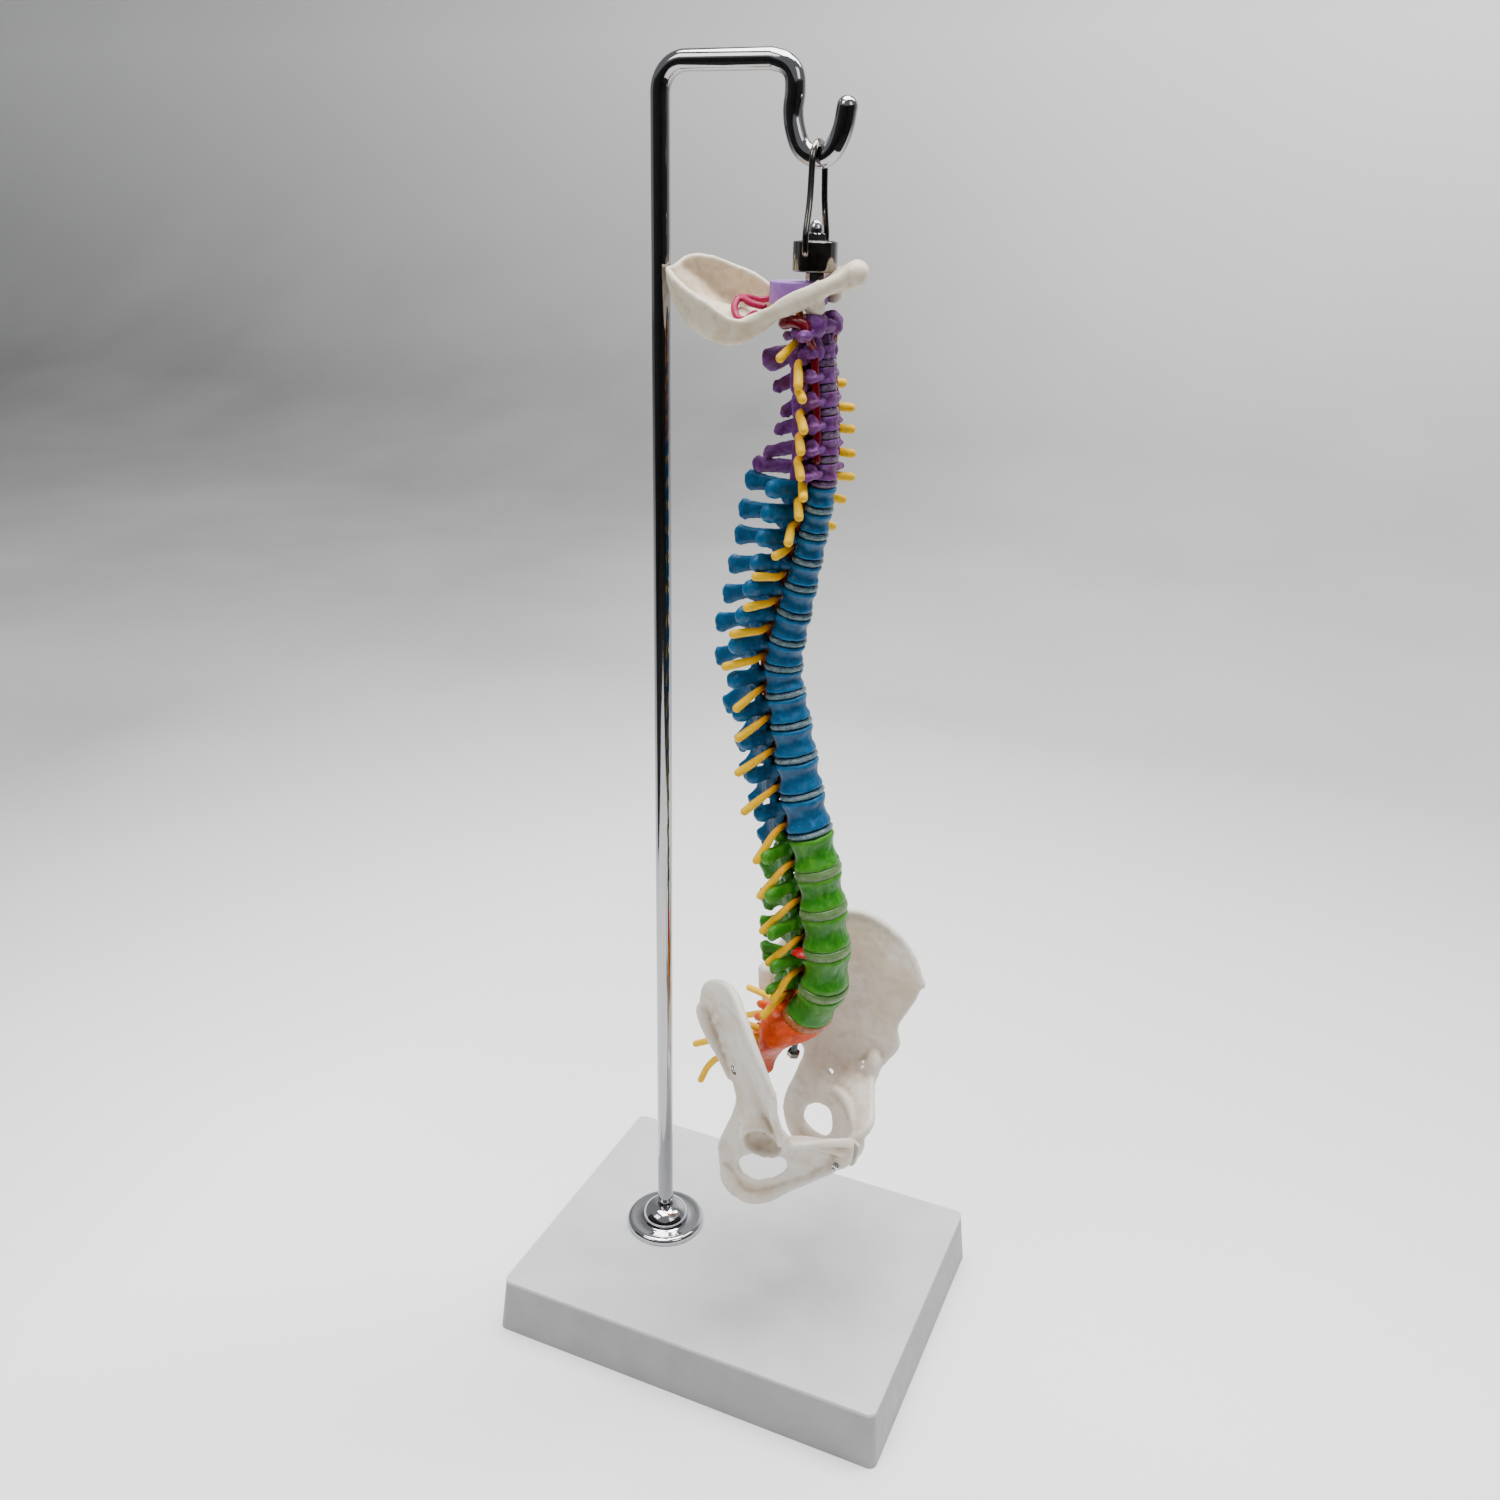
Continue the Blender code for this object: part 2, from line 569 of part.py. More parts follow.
def rod_path():
    """The rod's centreline: up, over in the arm, and down into the hook."""
    bend = arc((ROD_X + ROD_BEND, ROD_HEIGHT - ROD_BEND), ROD_BEND, 180, 90, 5)
    start = HANG_X - HOOK_HALF_WIDTH
    down = [Vector((start + dx * MM, 0, z * MM)) for dx, z in HOOK_NECK]
    down += [Vector((HANG_X + dx * MM, 0, HOOK_BOTTOM_Z + z * MM)) for dx, z in HOOK_BOWL]
    return [Vector((ROD_X, 0, ROD_END_Z))] + bend + smooth_path(down, 2)


def make_rod():
    points = rod_path()
    radii = [1.0] * len(points)
    end = points[-1]
    tip_way = (end - points[-2]).normalized()
    for along, share in HOOK_TIP:
        points.append(end + tip_way * (along * MM))
        radii.append(share)
    rod = freeze(tube("stand_rod", points, ROD_RADIUS, 2, radii))
    finish_object(rod, "stand_rod", "chrome_steel")


def make_rod_fittings():
    bore = ROD_RADIUS + ROD_CLEARANCE
    seat = BASE_HEIGHT + SEAT_GAP
    profile = [(bore, seat + FLANGE_RIM + FLANGE_DOME_RISE)]
    for i in range(1, 4):
        angle = math.radians(30 * i)
        radius = bore + (FLANGE_DOME_RADIUS - bore) * math.sin(angle)
        profile.append((radius, seat + FLANGE_RIM + FLANGE_DOME_RISE * math.cos(angle)))
    profile += [(FLANGE_RADIUS - 1 * MM, seat + FLANGE_RIM), (FLANGE_RADIUS, seat + FLANGE_RIM - 1 * MM),
                (FLANGE_RADIUS, seat), (bore, seat)]
    turned("rod_flange", profile, 20, (ROD_X, 0, 0), "chrome_steel")
    under = BASE_HEIGHT - BOSS_DEPTH - SEAT_GAP
    washer = [(WASHER_RADIUS, under), (WASHER_RADIUS, under - WASHER_THICKNESS),
              (bore, under - WASHER_THICKNESS), (bore, under)]
    turned("rod_washer", washer, 14, (ROD_X, 0, 0), "chrome_steel")
    nut_top = under - WASHER_THICKNESS - SEAT_GAP
    nut = cylinder("nut", Vector((ROD_X, 0, nut_top - ROD_NUT_HEIGHT / 2)), ROD_NUT_WIDTH / math.sqrt(3),
                   ROD_NUT_HEIGHT, 6)
    hole = cylinder("hole", Vector((ROD_X, 0, nut_top)), bore, 4 * ROD_NUT_HEIGHT, 16)
    finish_object(boolean(nut, hole, "DIFFERENCE"), "rod_nut", "chrome_steel")


# Hanger


def make_bail():
    """The wire loop over the hook, whose turned-in ends are the cup's pivot."""
    top_z = HOOK_BOTTOM_Z + ROD_RADIUS + BAIL_WIRE_RADIUS + SEAT_GAP
    arc_z = top_z - BAIL_TOP_RADIUS
    leg_y = CUP_RADIUS + BAIL_WIRE_RADIUS + BAIL_SIDE_GAP
    inner_y = CUP_RADIUS - CUP_WALL - 1 * MM
    corner = 1.3 * MM
    half = [Vector((HANG_X, inner_y, BAIL_PIVOT_Z)), Vector((HANG_X, leg_y - corner, BAIL_PIVOT_Z)),
            Vector((HANG_X, leg_y - 0.3 * corner, BAIL_PIVOT_Z + 0.3 * corner)),
            Vector((HANG_X, leg_y, BAIL_PIVOT_Z + corner)),
            Vector((HANG_X, leg_y, CUP_TOP_Z + 1.5 * MM)),
            Vector((HANG_X, BAIL_TOP_RADIUS + 0.6 * MM, arc_z - 10 * MM))]
    for i in range(5):
        angle = math.radians(90 * i / 4)
        half.append(Vector((HANG_X, BAIL_TOP_RADIUS * math.cos(angle),
                            arc_z + BAIL_TOP_RADIUS * math.sin(angle))))
    other = [Vector((p.x, -p.y, p.z)) for p in reversed(half[:-1])]
    bail = freeze(tube("hanger_bail", half + other, BAIL_WIRE_RADIUS, 1))
    finish_object(bail, "hanger_bail", "dark_nickel")


def make_hanger():
    """The cup on the bail, and the stud that swivels in it under a dome nut."""
    inner = CUP_RADIUS - CUP_WALL
    bore = STUD_RADIUS + STUD_CLEARANCE
    floor = CUP_BOTTOM_Z + CUP_FLOOR
    profile = [(CUP_RADIUS, CUP_TOP_Z), (CUP_RADIUS, CUP_BOTTOM_Z + 1.2 * MM),
               (CUP_RADIUS - 1.2 * MM, CUP_BOTTOM_Z), (bore, CUP_BOTTOM_Z), (bore, floor), (inner, floor),
               (inner, CUP_TOP_Z)]
    cup = turned("hanger_cup", profile, 18, (HANG_X, 0, 0), "dark_nickel")
    pivot = cylinder("pivot", Vector((HANG_X, 0, BAIL_PIVOT_Z)), BAIL_WIRE_RADIUS + PIVOT_CLEARANCE,
                     4 * CUP_RADIUS, 10,
                     Vector((0, 1, 0)))
    finish_object(boolean(cup, pivot, "DIFFERENCE"), "hanger_cup", "dark_nickel")
    washer_base = floor + SEAT_GAP
    washer_top = washer_base + HANGER_WASHER_THICKNESS
    turned("hanger_washer",
           [(HANGER_WASHER_RADIUS, washer_top), (HANGER_WASHER_RADIUS, washer_base), (bore, washer_base),
                             (bore, washer_top)], 14, (HANG_X, 0, 0), "dark_nickel")
    nut_base = washer_top + SEAT_GAP
    nut = cylinder("dome", Vector((HANG_X, 0, nut_base + DOME_NUT_HEIGHT / 2)),
                   DOME_NUT_WIDTH / math.sqrt(3), DOME_NUT_HEIGHT, 6)
    bm = bmesh.new()
    bmesh.ops.create_uvsphere(bm, u_segments=10, v_segments=6, radius=DOME_RADIUS,
                              matrix=Matrix.Translation((HANG_X, 0, nut_base + DOME_NUT_HEIGHT + 1.2 * MM))
                              @ Matrix.Diagonal((1, 1, 1.35, 1)))
    boolean(nut, mesh_object("ball", bm), "UNION")
    thread = cylinder("thread", Vector((HANG_X, 0, nut_base)), bore, 2 * (DOME_NUT_HEIGHT - 1 * MM), 12)
    finish_object(boolean(nut, thread, "DIFFERENCE"), "hanger_dome_nut", "dark_nickel")
    stud_top = nut_base + DOME_NUT_HEIGHT - 1.6 * MM
    collar_top = CUP_BOTTOM_Z - SEAT_GAP
    collar = BLOCK_TOP_Z + SEAT_GAP
    profile = [(0, stud_top), (STUD_RADIUS, stud_top), (STUD_RADIUS, collar_top),
               (LOCK_NUT_RADIUS, collar_top),
               (LOCK_NUT_RADIUS, collar), (STUD_RADIUS, collar), (STUD_RADIUS, BLOCK_BOTTOM_Z),
               (0, BLOCK_BOTTOM_Z)]
    turned("hanger_stud", profile, 12, (HANG_X, 0, 0), "dark_nickel")


# Column


def column_offset(height):
    """How far the column's middle lies in front of the hang axis at a height."""
    knots = [(z * MM, x * MM) for z, x in reversed(COLUMN)]
    for i in range(len(knots) - 1):
        if height <= knots[i + 1][0] or i == len(knots) - 2:
            break
    (z0, x0), (z1, x1) = knots[i], knots[i + 1]
    slope0 = (x1 - knots[max(i - 1, 0)][1]) / (z1 - knots[max(i - 1, 0)][0])
    last = min(i + 2, len(knots) - 1)
    slope1 = (knots[last][1] - x0) / (knots[last][0] - z0)
    t = (height - z0) / (z1 - z0)
    span = z1 - z0
    return ((2 * t ** 3 - 3 * t ** 2 + 1) * x0 + (t ** 3 - 2 * t ** 2 + t) * span * slope0
            + (3 * t ** 2 - 2 * t ** 3) * x1 + (t ** 3 - t ** 2) * span * slope1)


def column_frame(height):
    """Place and turn of the column at a height: forward is local x, left is local y."""
    share = min(max((TWIST_TOP_Z - height) / (TWIST_TOP_Z - TWIST_BOTTOM_Z), 0), 1)
    turn = Matrix.Rotation(TWIST * share, 4, "Z")
    step = 2 * MM
    lean = (column_offset(height + step) - column_offset(height - step)) / (2 * step)
    tilt = Matrix.Rotation(math.atan(lean), 4, "Y")
    place = Matrix.Translation((HANG_X + BALANCE_X, BALANCE_Y, height))
    return place @ turn @ Matrix.Translation((column_offset(height), 0, 0)) @ tilt


def body_back(depth):
    return -0.82 * depth


def canal_centre(depth, canal):
    """Middle of the vertebral canal, measured back from the middle of the body."""
    return body_back(depth) - 0.8 * canal


def body_ring(z, depth, width, sides):
    """An oval ring of a vertebral body, flattened at the back."""
    points = []
    for i in range(sides):
        angle = 2 * math.pi * (i + 0.5) / sides
        x = math.cos(angle)
        x = depth * x if x > 0 else body_back(depth) * abs(x) ** 0.6
        points.append(Vector((x, width * math.sin(angle), z)))
    return points


def disc_face(height, offset):
    """The frame of a disc's face, above or below its middle plane."""
    return column_frame(height) @ Matrix.Translation((0, 0, offset))


def vertebral_body(bm, row, sides):
    """A waisted oval drum between the faces of its two discs."""
    lift = DISC_THICKNESS / 2 + SEAT_GAP
    height = row["top"] - row["bottom"]
    frames = [disc_face(row["bottom"], lift), column_frame(row["bottom"] + 0.5 * height),
              disc_face(row["top"], -lift)]
    rings = []
    for frame, size in zip(frames, (1.0, 0.86, 1.0)):
        rings.append([frame @ p for p in body_ring(0, row["depth"] * size, row["width"] * size, sides)])
    loft(bm, rings)


def arch(bm, centre_x, canal, height, wall, slant):
    """The arch behind the body: pedicles, then laminae that slant down by a share of their full slant."""
    rings = []
    for angle, ahead, low, high in ((40, 2.2 * MM, 0.0, 0.40), (80, 0, -0.05, 0.40), (130, 0, -0.38, 0.34),
                                    (180, 0, -0.42, 0.26),
                                    (230, 0, -0.38, 0.34), (280, 0, -0.05, 0.40), (320, 2.2 * MM, 0.0, 0.40)):
        way = Vector((math.cos(math.radians(angle)), math.sin(math.radians(angle)), 0))
        inner = Vector((centre_x + ahead, 0, 0)) + way * canal
        outer = Vector((centre_x + ahead, 0, 0)) + way * (canal + wall)
        lift = Vector((0, 0, height))
        low *= slant
        rings.append([inner + lift * low, outer + lift * (low + 0.06), outer + lift * (high - 0.06),
                      inner + lift * high])
    loft(bm, rings)


def vertebra_parts(bm, row, above, below):
    """All processes of one vertebra, joined by overlap and still in one mesh."""
    region = row["name"][0]
    height = body_height(row)
    depth, width, canal, wing_reach = row["depth"], row["width"], row["canal"], row["wing"]
    frame = column_frame((row["top"] + row["bottom"]) / 2)
    centre_x = canal_centre(depth, canal)
    wall = ARCH_WALL
    own = bmesh.new()
    crowded = CROWDED_SLANT if row["name"] in SHORT_TIPS else 1
    arch(own, centre_x, canal, height, wall, crowded)
    tip_height = SHORT_TIPS.get(row["name"], TIP_HEIGHTS[region])
    tip_width = TIP_WIDTHS[region]
    root = Vector((centre_x - canal - wall / 2, 0, -0.06 * height))
    tip = Vector((-row["reach"], 0, -row["drop"]))
    waist_height = min(0.24 * height + 0.5 * MM, tip_height + 0.4 * MM)
    limb(own, [(root, 1.6 * MM, 0.30 * crowded * height), (root.lerp(tip, 0.55), 1.1 * MM, waist_height),
               (tip, tip_width, tip_height)], 4)
    for side in (1, -1):
        if region == "c":
            root = Vector((-0.1 * depth, side * 0.7 * width, -0.05 * height))
            knob = Vector((-0.25 * depth, side * wing_reach, -0.12 * height))
            limb(own, [(root, 2.4 * MM, 1.3 * MM), (root.lerp(knob, 0.6), 3.2 * MM, 1.3 * MM),
                       (knob, 2.0 * MM, 1.3 * MM)], 4)
        elif region == "t":
            root = Vector((centre_x - 0.3 * canal, side * canal, 0.16 * height))
            knob = Vector((centre_x - 0.9 * canal - 0.25 * wing_reach, side * wing_reach, 0.20 * height))
            limb(own, [(root, 1.6 * MM, 1.7 * MM), (root.lerp(knob, 0.6), 1.3 * MM, 1.4 * MM),
                       (knob, 1.9 * MM, 2.0 * MM)], 4)
        else:
            root = Vector((centre_x + 0.1 * canal, side * canal, 0.20 * height))
            knob = Vector((centre_x - 0.8 * canal, side * wing_reach, 0.16 * height))
            limb(own, [(root, 1.5 * MM, 2.2 * MM), (root.lerp(knob, 0.6), 1.1 * MM, 2.0 * MM),
                       (knob, 1.1 * MM, 2.2 * MM)], 4)
    own.transform(frame)
    spare = bpy.data.meshes.new("processes")
    own.to_mesh(spare)
    own.free()
    bm.from_mesh(spare)
    bpy.data.meshes.remove(spare)
    joint_width = JOINT_WIDTHS[region]
    for side in (1, -1):
        if above:
            joint = column_frame(row["top"])
            x = shared_canal(row, above) - FACET_SETBACK
            y = side * math.sqrt((canal + wall / 2) ** 2 - FACET_SETBACK ** 2)
            start = frame @ Vector((centre_x - FACET_SETBACK, y, 0))
            limb(bm, [(start, FACET_THICKNESS / 2, joint_width * 0.8),
                      (joint @ Vector((x, y, facet_overlap(above))), FACET_THICKNESS / 2, joint_width)],
                 4, frame.to_3x3() @ Vector((0, 1, 0)))
        joint = column_frame(row["bottom"])
        x = shared_canal(row, below) - FACET_SETBACK - FACET_THICKNESS - FACET_GAP
        y = side * 0.55 * canal
        start = frame @ Vector((centre_x - canal - 0.1 * wall, y, 0))
        limb(bm, [(start, FACET_THICKNESS / 2, joint_width * 0.8),
                  (joint @ Vector((x, y, -facet_overlap(row))), FACET_THICKNESS / 2, joint_width)],
             4, frame.to_3x3() @ Vector((0, 1, 0)))


def facet_overlap(upper):
    """How far the joint under a vertebra reaches past its disc's middle plane."""
    return SHORT_JOINTS.get(upper["name"], FACET_OVERLAP) * upper["pitch"]


def shared_canal(row, other):
    """Middle of the canal at the disc between two vertebrae."""
    other = other or row
    return (canal_centre(row["depth"], row["canal"]) + canal_centre(other["depth"], other["canal"])) / 2


def levels():
    """Each vertebra of the table with the heights of its disc faces, top to bottom."""
    top = AXIS_TOP_Z
    rows = []
    for name, pitch, depth, width, canal, reach, drop, wing, nerve_x, nerve_z in VERTEBRAE:
        bottom = top - pitch * MM
        rows.append(dict(name=name, top=top, bottom=bottom, pitch=pitch * MM, depth=depth * MM,
                         width=width * MM, canal=canal * MM,
                         reach=reach * MM, drop=drop * MM, wing=wing * MM,
                         nerve=(nerve_x * MM, nerve_z * MM)))
        top = bottom
    return rows


def body_height(row):
    return row["pitch"] - DISC_THICKNESS - 2 * SEAT_GAP


def core_points():
    """The flexible core's centreline, from under the stud into the sacrum."""
    heights = [503 * MM, 498 * MM, AXIS_TOP_Z]
    for row in levels():
        heights.append(row["bottom"])
    heights += [178 * MM, 168 * MM, CORE_END_Z]
    top = Vector((HANG_X, 0, BLOCK_BOTTOM_Z - SEAT_GAP))
    return [top, top - Vector((0, 0, 1.5 * MM))] + [column_frame(z).translation for z in heights]


def make_vertebra(row, above, below, arteries):
    """One vertebra: body, arch and processes joined, then bored for the core."""
    region = row["name"][0]
    bm = bmesh.new()
    vertebra_parts(bm, row, above, below)
    if row["name"] == "c2":
        add_dens(bm)
    processes = merged("processes", bm)
    lighten(processes, PROCESS_TRIANGLES + (DENS_TRIANGLES if row["name"] == "c2" else 0))
    bm = bmesh.new()
    vertebral_body(bm, row, BODY_SIDES)
    body = boolean(mesh_object("body", bm), processes, "UNION")
    middle = (row["top"] + row["bottom"]) / 2
    near = [p for p in core_points() if abs(p.z - middle) < row["pitch"] * 2.2 + 12 * MM]
    boolean(body, freeze(tube("bore", near, CORE_RADIUS + CORE_CLEARANCE, 0)), "DIFFERENCE")
    if region == "c" and row["name"] != "c7":
        for path in arteries:
            boolean(body, freeze(tube("channel", path, ARTERY_RADIUS + ARTERY_CLEARANCE, 0)), "DIFFERENCE")
    finish = {"c": "cervical_purple", "t": "thoracic_blue", "l": "lumbar_green"}[region]
    finish_object(body, "vertebra_" + row["name"], finish)


def add_dens(bm):
    """The second vertebra's upright tooth, and the shoulders that carry the first."""
    limb(bm, [(column_frame(z * MM).translation, radius * MM, radius * MM) for z, radius in DENS], 8,
         Vector((1, 0, 0)))
    frame = column_frame(AXIS_TOP_Z)
    for side in (1, -1):
        limb(bm, [(frame @ Vector((-0.5 * MM, side * 4.5 * MM, -4 * MM)), 2.4 * MM, 2.0 * MM),
                  (frame @ Vector((-0.5 * MM, side * 7.0 * MM, 1.2 * MM)), 2.8 * MM, 2.4 * MM)], 6,
             Vector((1, 0, 0)))


def make_atlas(arteries):
    """The ring-shaped first vertebra, with its side masses and long wings."""
    frame = column_frame(ATLAS_Z)
    bm = bmesh.new()
    rings = []
    steps = 10
    for i in range(steps):
        angle = 2 * math.pi * i / steps
        way = Vector((math.cos(angle), math.sin(angle), 0))
        centre = Vector((-4.6 * MM + 10 * MM * way.x, 8.6 * MM * way.y, -0.4 * MM))
        thick = 1.2 * MM
        tall = 1.9 * MM
        rings.append([centre - way * thick - Vector((0, 0, tall)),
                      centre + way * thick - Vector((0, 0, 0.7 * tall)),
                      centre + way * thick + Vector((0, 0, 0.7 * tall)),
                      centre - way * thick + Vector((0, 0, tall))])
    loft(bm, rings, True)
    bm.transform(frame)
    ring = mesh_object("ring", bm)
    bm = bmesh.new()
    for side in (1, -1):
        limb(bm, [(Vector((0.6 * MM, side * 7.6 * MM, -1.7 * MM)), 2.6 * MM, 3.0 * MM),
                  (Vector((-0.4 * MM, side * 7.6 * MM, 3.4 * MM)), 2.8 * MM, 3.4 * MM)], 6, Vector((1, 0, 0)))
        limb(bm, [(Vector((-0.4 * MM, side * 7.5 * MM, -0.6 * MM)), 2.8 * MM, 1.7 * MM),
                  (Vector((-1 * MM, side * 13 * MM, -1 * MM)), 3.2 * MM, 1.5 * MM),
                  (Vector((-1.2 * MM, side * 17 * MM, -1.4 * MM)), 2.2 * MM, 1.7 * MM),
                  (Vector((-1.2 * MM, side * 18.2 * MM, -1.5 * MM)), 1.2 * MM, 1.1 * MM)], 6)
    bm.transform(frame)
    boolean(ring, mesh_object("masses", bm), "UNION", True)
    lighten(ring, ATLAS_TRIANGLES)
    for path in arteries:
        boolean(ring, freeze(tube("channel", path, ARTERY_RADIUS + ARTERY_CLEARANCE, 0)), "DIFFERENCE")
    finish_object(ring, "vertebra_c1", "cervical_purple")


def artery_path(side):
    """One vertebral artery: up through the wings of the neck, round the atlas and in."""
    rows = {row["name"]: row for row in levels()}
    places = []
    for name in ("c6", "c5", "c4", "c3", "c2"):
        row = rows[name]
        frame = column_frame((row["top"] + row["bottom"]) / 2)
        if name == "c6":
            x, y, z = ARTERY_FOOT
            places.append(frame @ Vector((x, side * y, z)))
        places.append(frame @ Vector((0, side * (ARTERY_SIDE_TOP if name == "c2" else ARTERY_SIDE), 0)))
    atlas = column_frame(ATLAS_Z)
    for x, y, z in ARTERY_LOOP:
        places.append(atlas @ Vector((x * MM, side * y * MM, z * MM)))
    return places


def make_arteries(paths):
    for name, path in zip(("vertebral_artery_left", "vertebral_artery_right"), paths):
        finish_object(freeze(tube(name, path, ARTERY_RADIUS, 0)), name, "artery_red")


def make_core():
    """The flexible core with the discs moulded on it."""
    core = freeze(tube("core", core_points(), CORE_RADIUS, 0))
    bm = bmesh.new()
    rows = levels()
    half = DISC_THICKNESS / 2
    for i, row in enumerate(rows):
        below = rows[i + 1] if i + 1 < len(rows) else row
        depth = (row["depth"] + below["depth"]) / 2
        width = (row["width"] + below["width"]) / 2
        outline = body_ring(0, depth, width, BODY_SIDES)
        loft(bm, [[disc_face(row["bottom"], rise) @ p for p in outline] for rise in (-half, half)])
    discs = mesh_object("discs", bm)
    finish_object(boolean(discs, core, "UNION", True), "flexible_core_and_discs", "disc_clear")


def cord_points():
    """The cord's centreline, from the brain stem block into the sacrum."""
    rows = levels()
    top = Vector((HANG_X + BALANCE_X - BLOCK_BACK, BALANCE_Y, BLOCK_BOTTOM_Z - SEAT_GAP))
    path = [top, top - Vector((0, 0, 1.5 * MM)), column_frame(ATLAS_Z) @ Vector((-7.8 * MM, 0, 1 * MM))]
    path.append(column_frame(AXIS_TOP_Z) @ Vector((canal_centre(rows[0]["depth"], rows[0]["canal"]), 0, 0)))
    for row, below in zip(rows, rows[1:] + [None]):
        path.append(column_frame(row["bottom"]) @ Vector((shared_canal(row, below), 0, 0)))
    return path + [pelvis_point(*spot) for spot in CORD_END]


def make_cord():
    """The spinal cord with its pairs of nerve roots, moulded as one."""
    rows = levels()
    cord = freeze(tube("cord", cord_points(), CORD_RADIUS, 1))
    first = column_frame(AXIS_TOP_Z)
    fine = NERVE_RADIUS * NERVE_NECK
    bm = bmesh.new()
    for side in (1, -1):
        limb(bm, [(first @ Vector((-7.4 * MM, side * 0.5 * MM, 0.2 * MM)), fine, fine),
                  (first @ Vector((-8.4 * MM, side * 9 * MM, 0)), fine, fine),
                  (first @ Vector((-11 * MM, side * 18.5 * MM, -4.5 * MM)), NERVE_RADIUS, NERVE_RADIUS)], 4)
        for row, below in zip(rows, rows[1:] + [None]):
            neck = row["name"][0] == "c"
            frame = column_frame(row["bottom"])
            rise = 0.7 * MM if neck else 0.12 * row["pitch"] + 0.3 * MM
            middle = shared_canal(row, below)
            gate_y = row["wing"] + 0.8 * MM if neck and row["name"] != "c7" else row["width"] + 0.6 * MM
            start = frame @ Vector((middle, side * 0.5 * MM, rise + 0.4 * MM))
            gate = frame @ Vector((middle + NERVE_SLOT, side * gate_y, rise))
            end = frame @ Vector((row["nerve"][0], side * NERVE_REACH, row["nerve"][1]))
            limb(bm, [(start, fine, fine), (gate, fine, fine), (end, NERVE_RADIUS, NERVE_RADIUS)], 4)
    boolean(cord, mesh_object("roots", bm), "UNION", True)
    lighten(cord, CORD_TRIANGLES)
    finish_object(cord, "spinal_cord_and_nerves", "nerve_yellow")


def make_herniation():
    """The bulge of the worn disc between the third and fourth lumbar vertebrae, on its right side."""
    rows = {row["name"]: row for row in levels()}
    upper, lower = rows["l3"], rows["l4"]
    frame = column_frame(upper["bottom"])
    bulge = ellipsoid("bulge", frame @ Matrix.Translation(HERNIA_PLACE) @ Matrix.Diagonal((*HERNIA_SIZE, 1)),
                      10, 6)
    depth = (upper["depth"] + lower["depth"]) / 2 + SEAT_GAP
    width = (upper["width"] + lower["width"]) / 2 + SEAT_GAP
    bm = bmesh.new()
    loft(bm, [[frame @ p for p in body_ring(rise, depth * HERNIA_TRIM, width * HERNIA_TRIM,
                                            BODY_SIDES)] for rise in (-8 * MM, 8 * MM)])
    boolean(bulge, mesh_object("clearance", bm), "DIFFERENCE")
    finish_object(bulge, "disc_herniation", "hernia_crimson")


# Pelvis


def pelvis_point(forward, left, up):
    """A point of the pelvis, from its frame in millimetres."""
    turn = Matrix.Rotation(TWIST, 4, "Z")
    return Matrix.Translation((HANG_X + BALANCE_X, BALANCE_Y, 0)) @ turn @ Vector((forward * MM, left * MM,
                                                                                   up * MM))


def pelvis_way(forward, left, up):
    return Matrix.Rotation(TWIST, 3, "Z") @ Vector((forward, left, up))


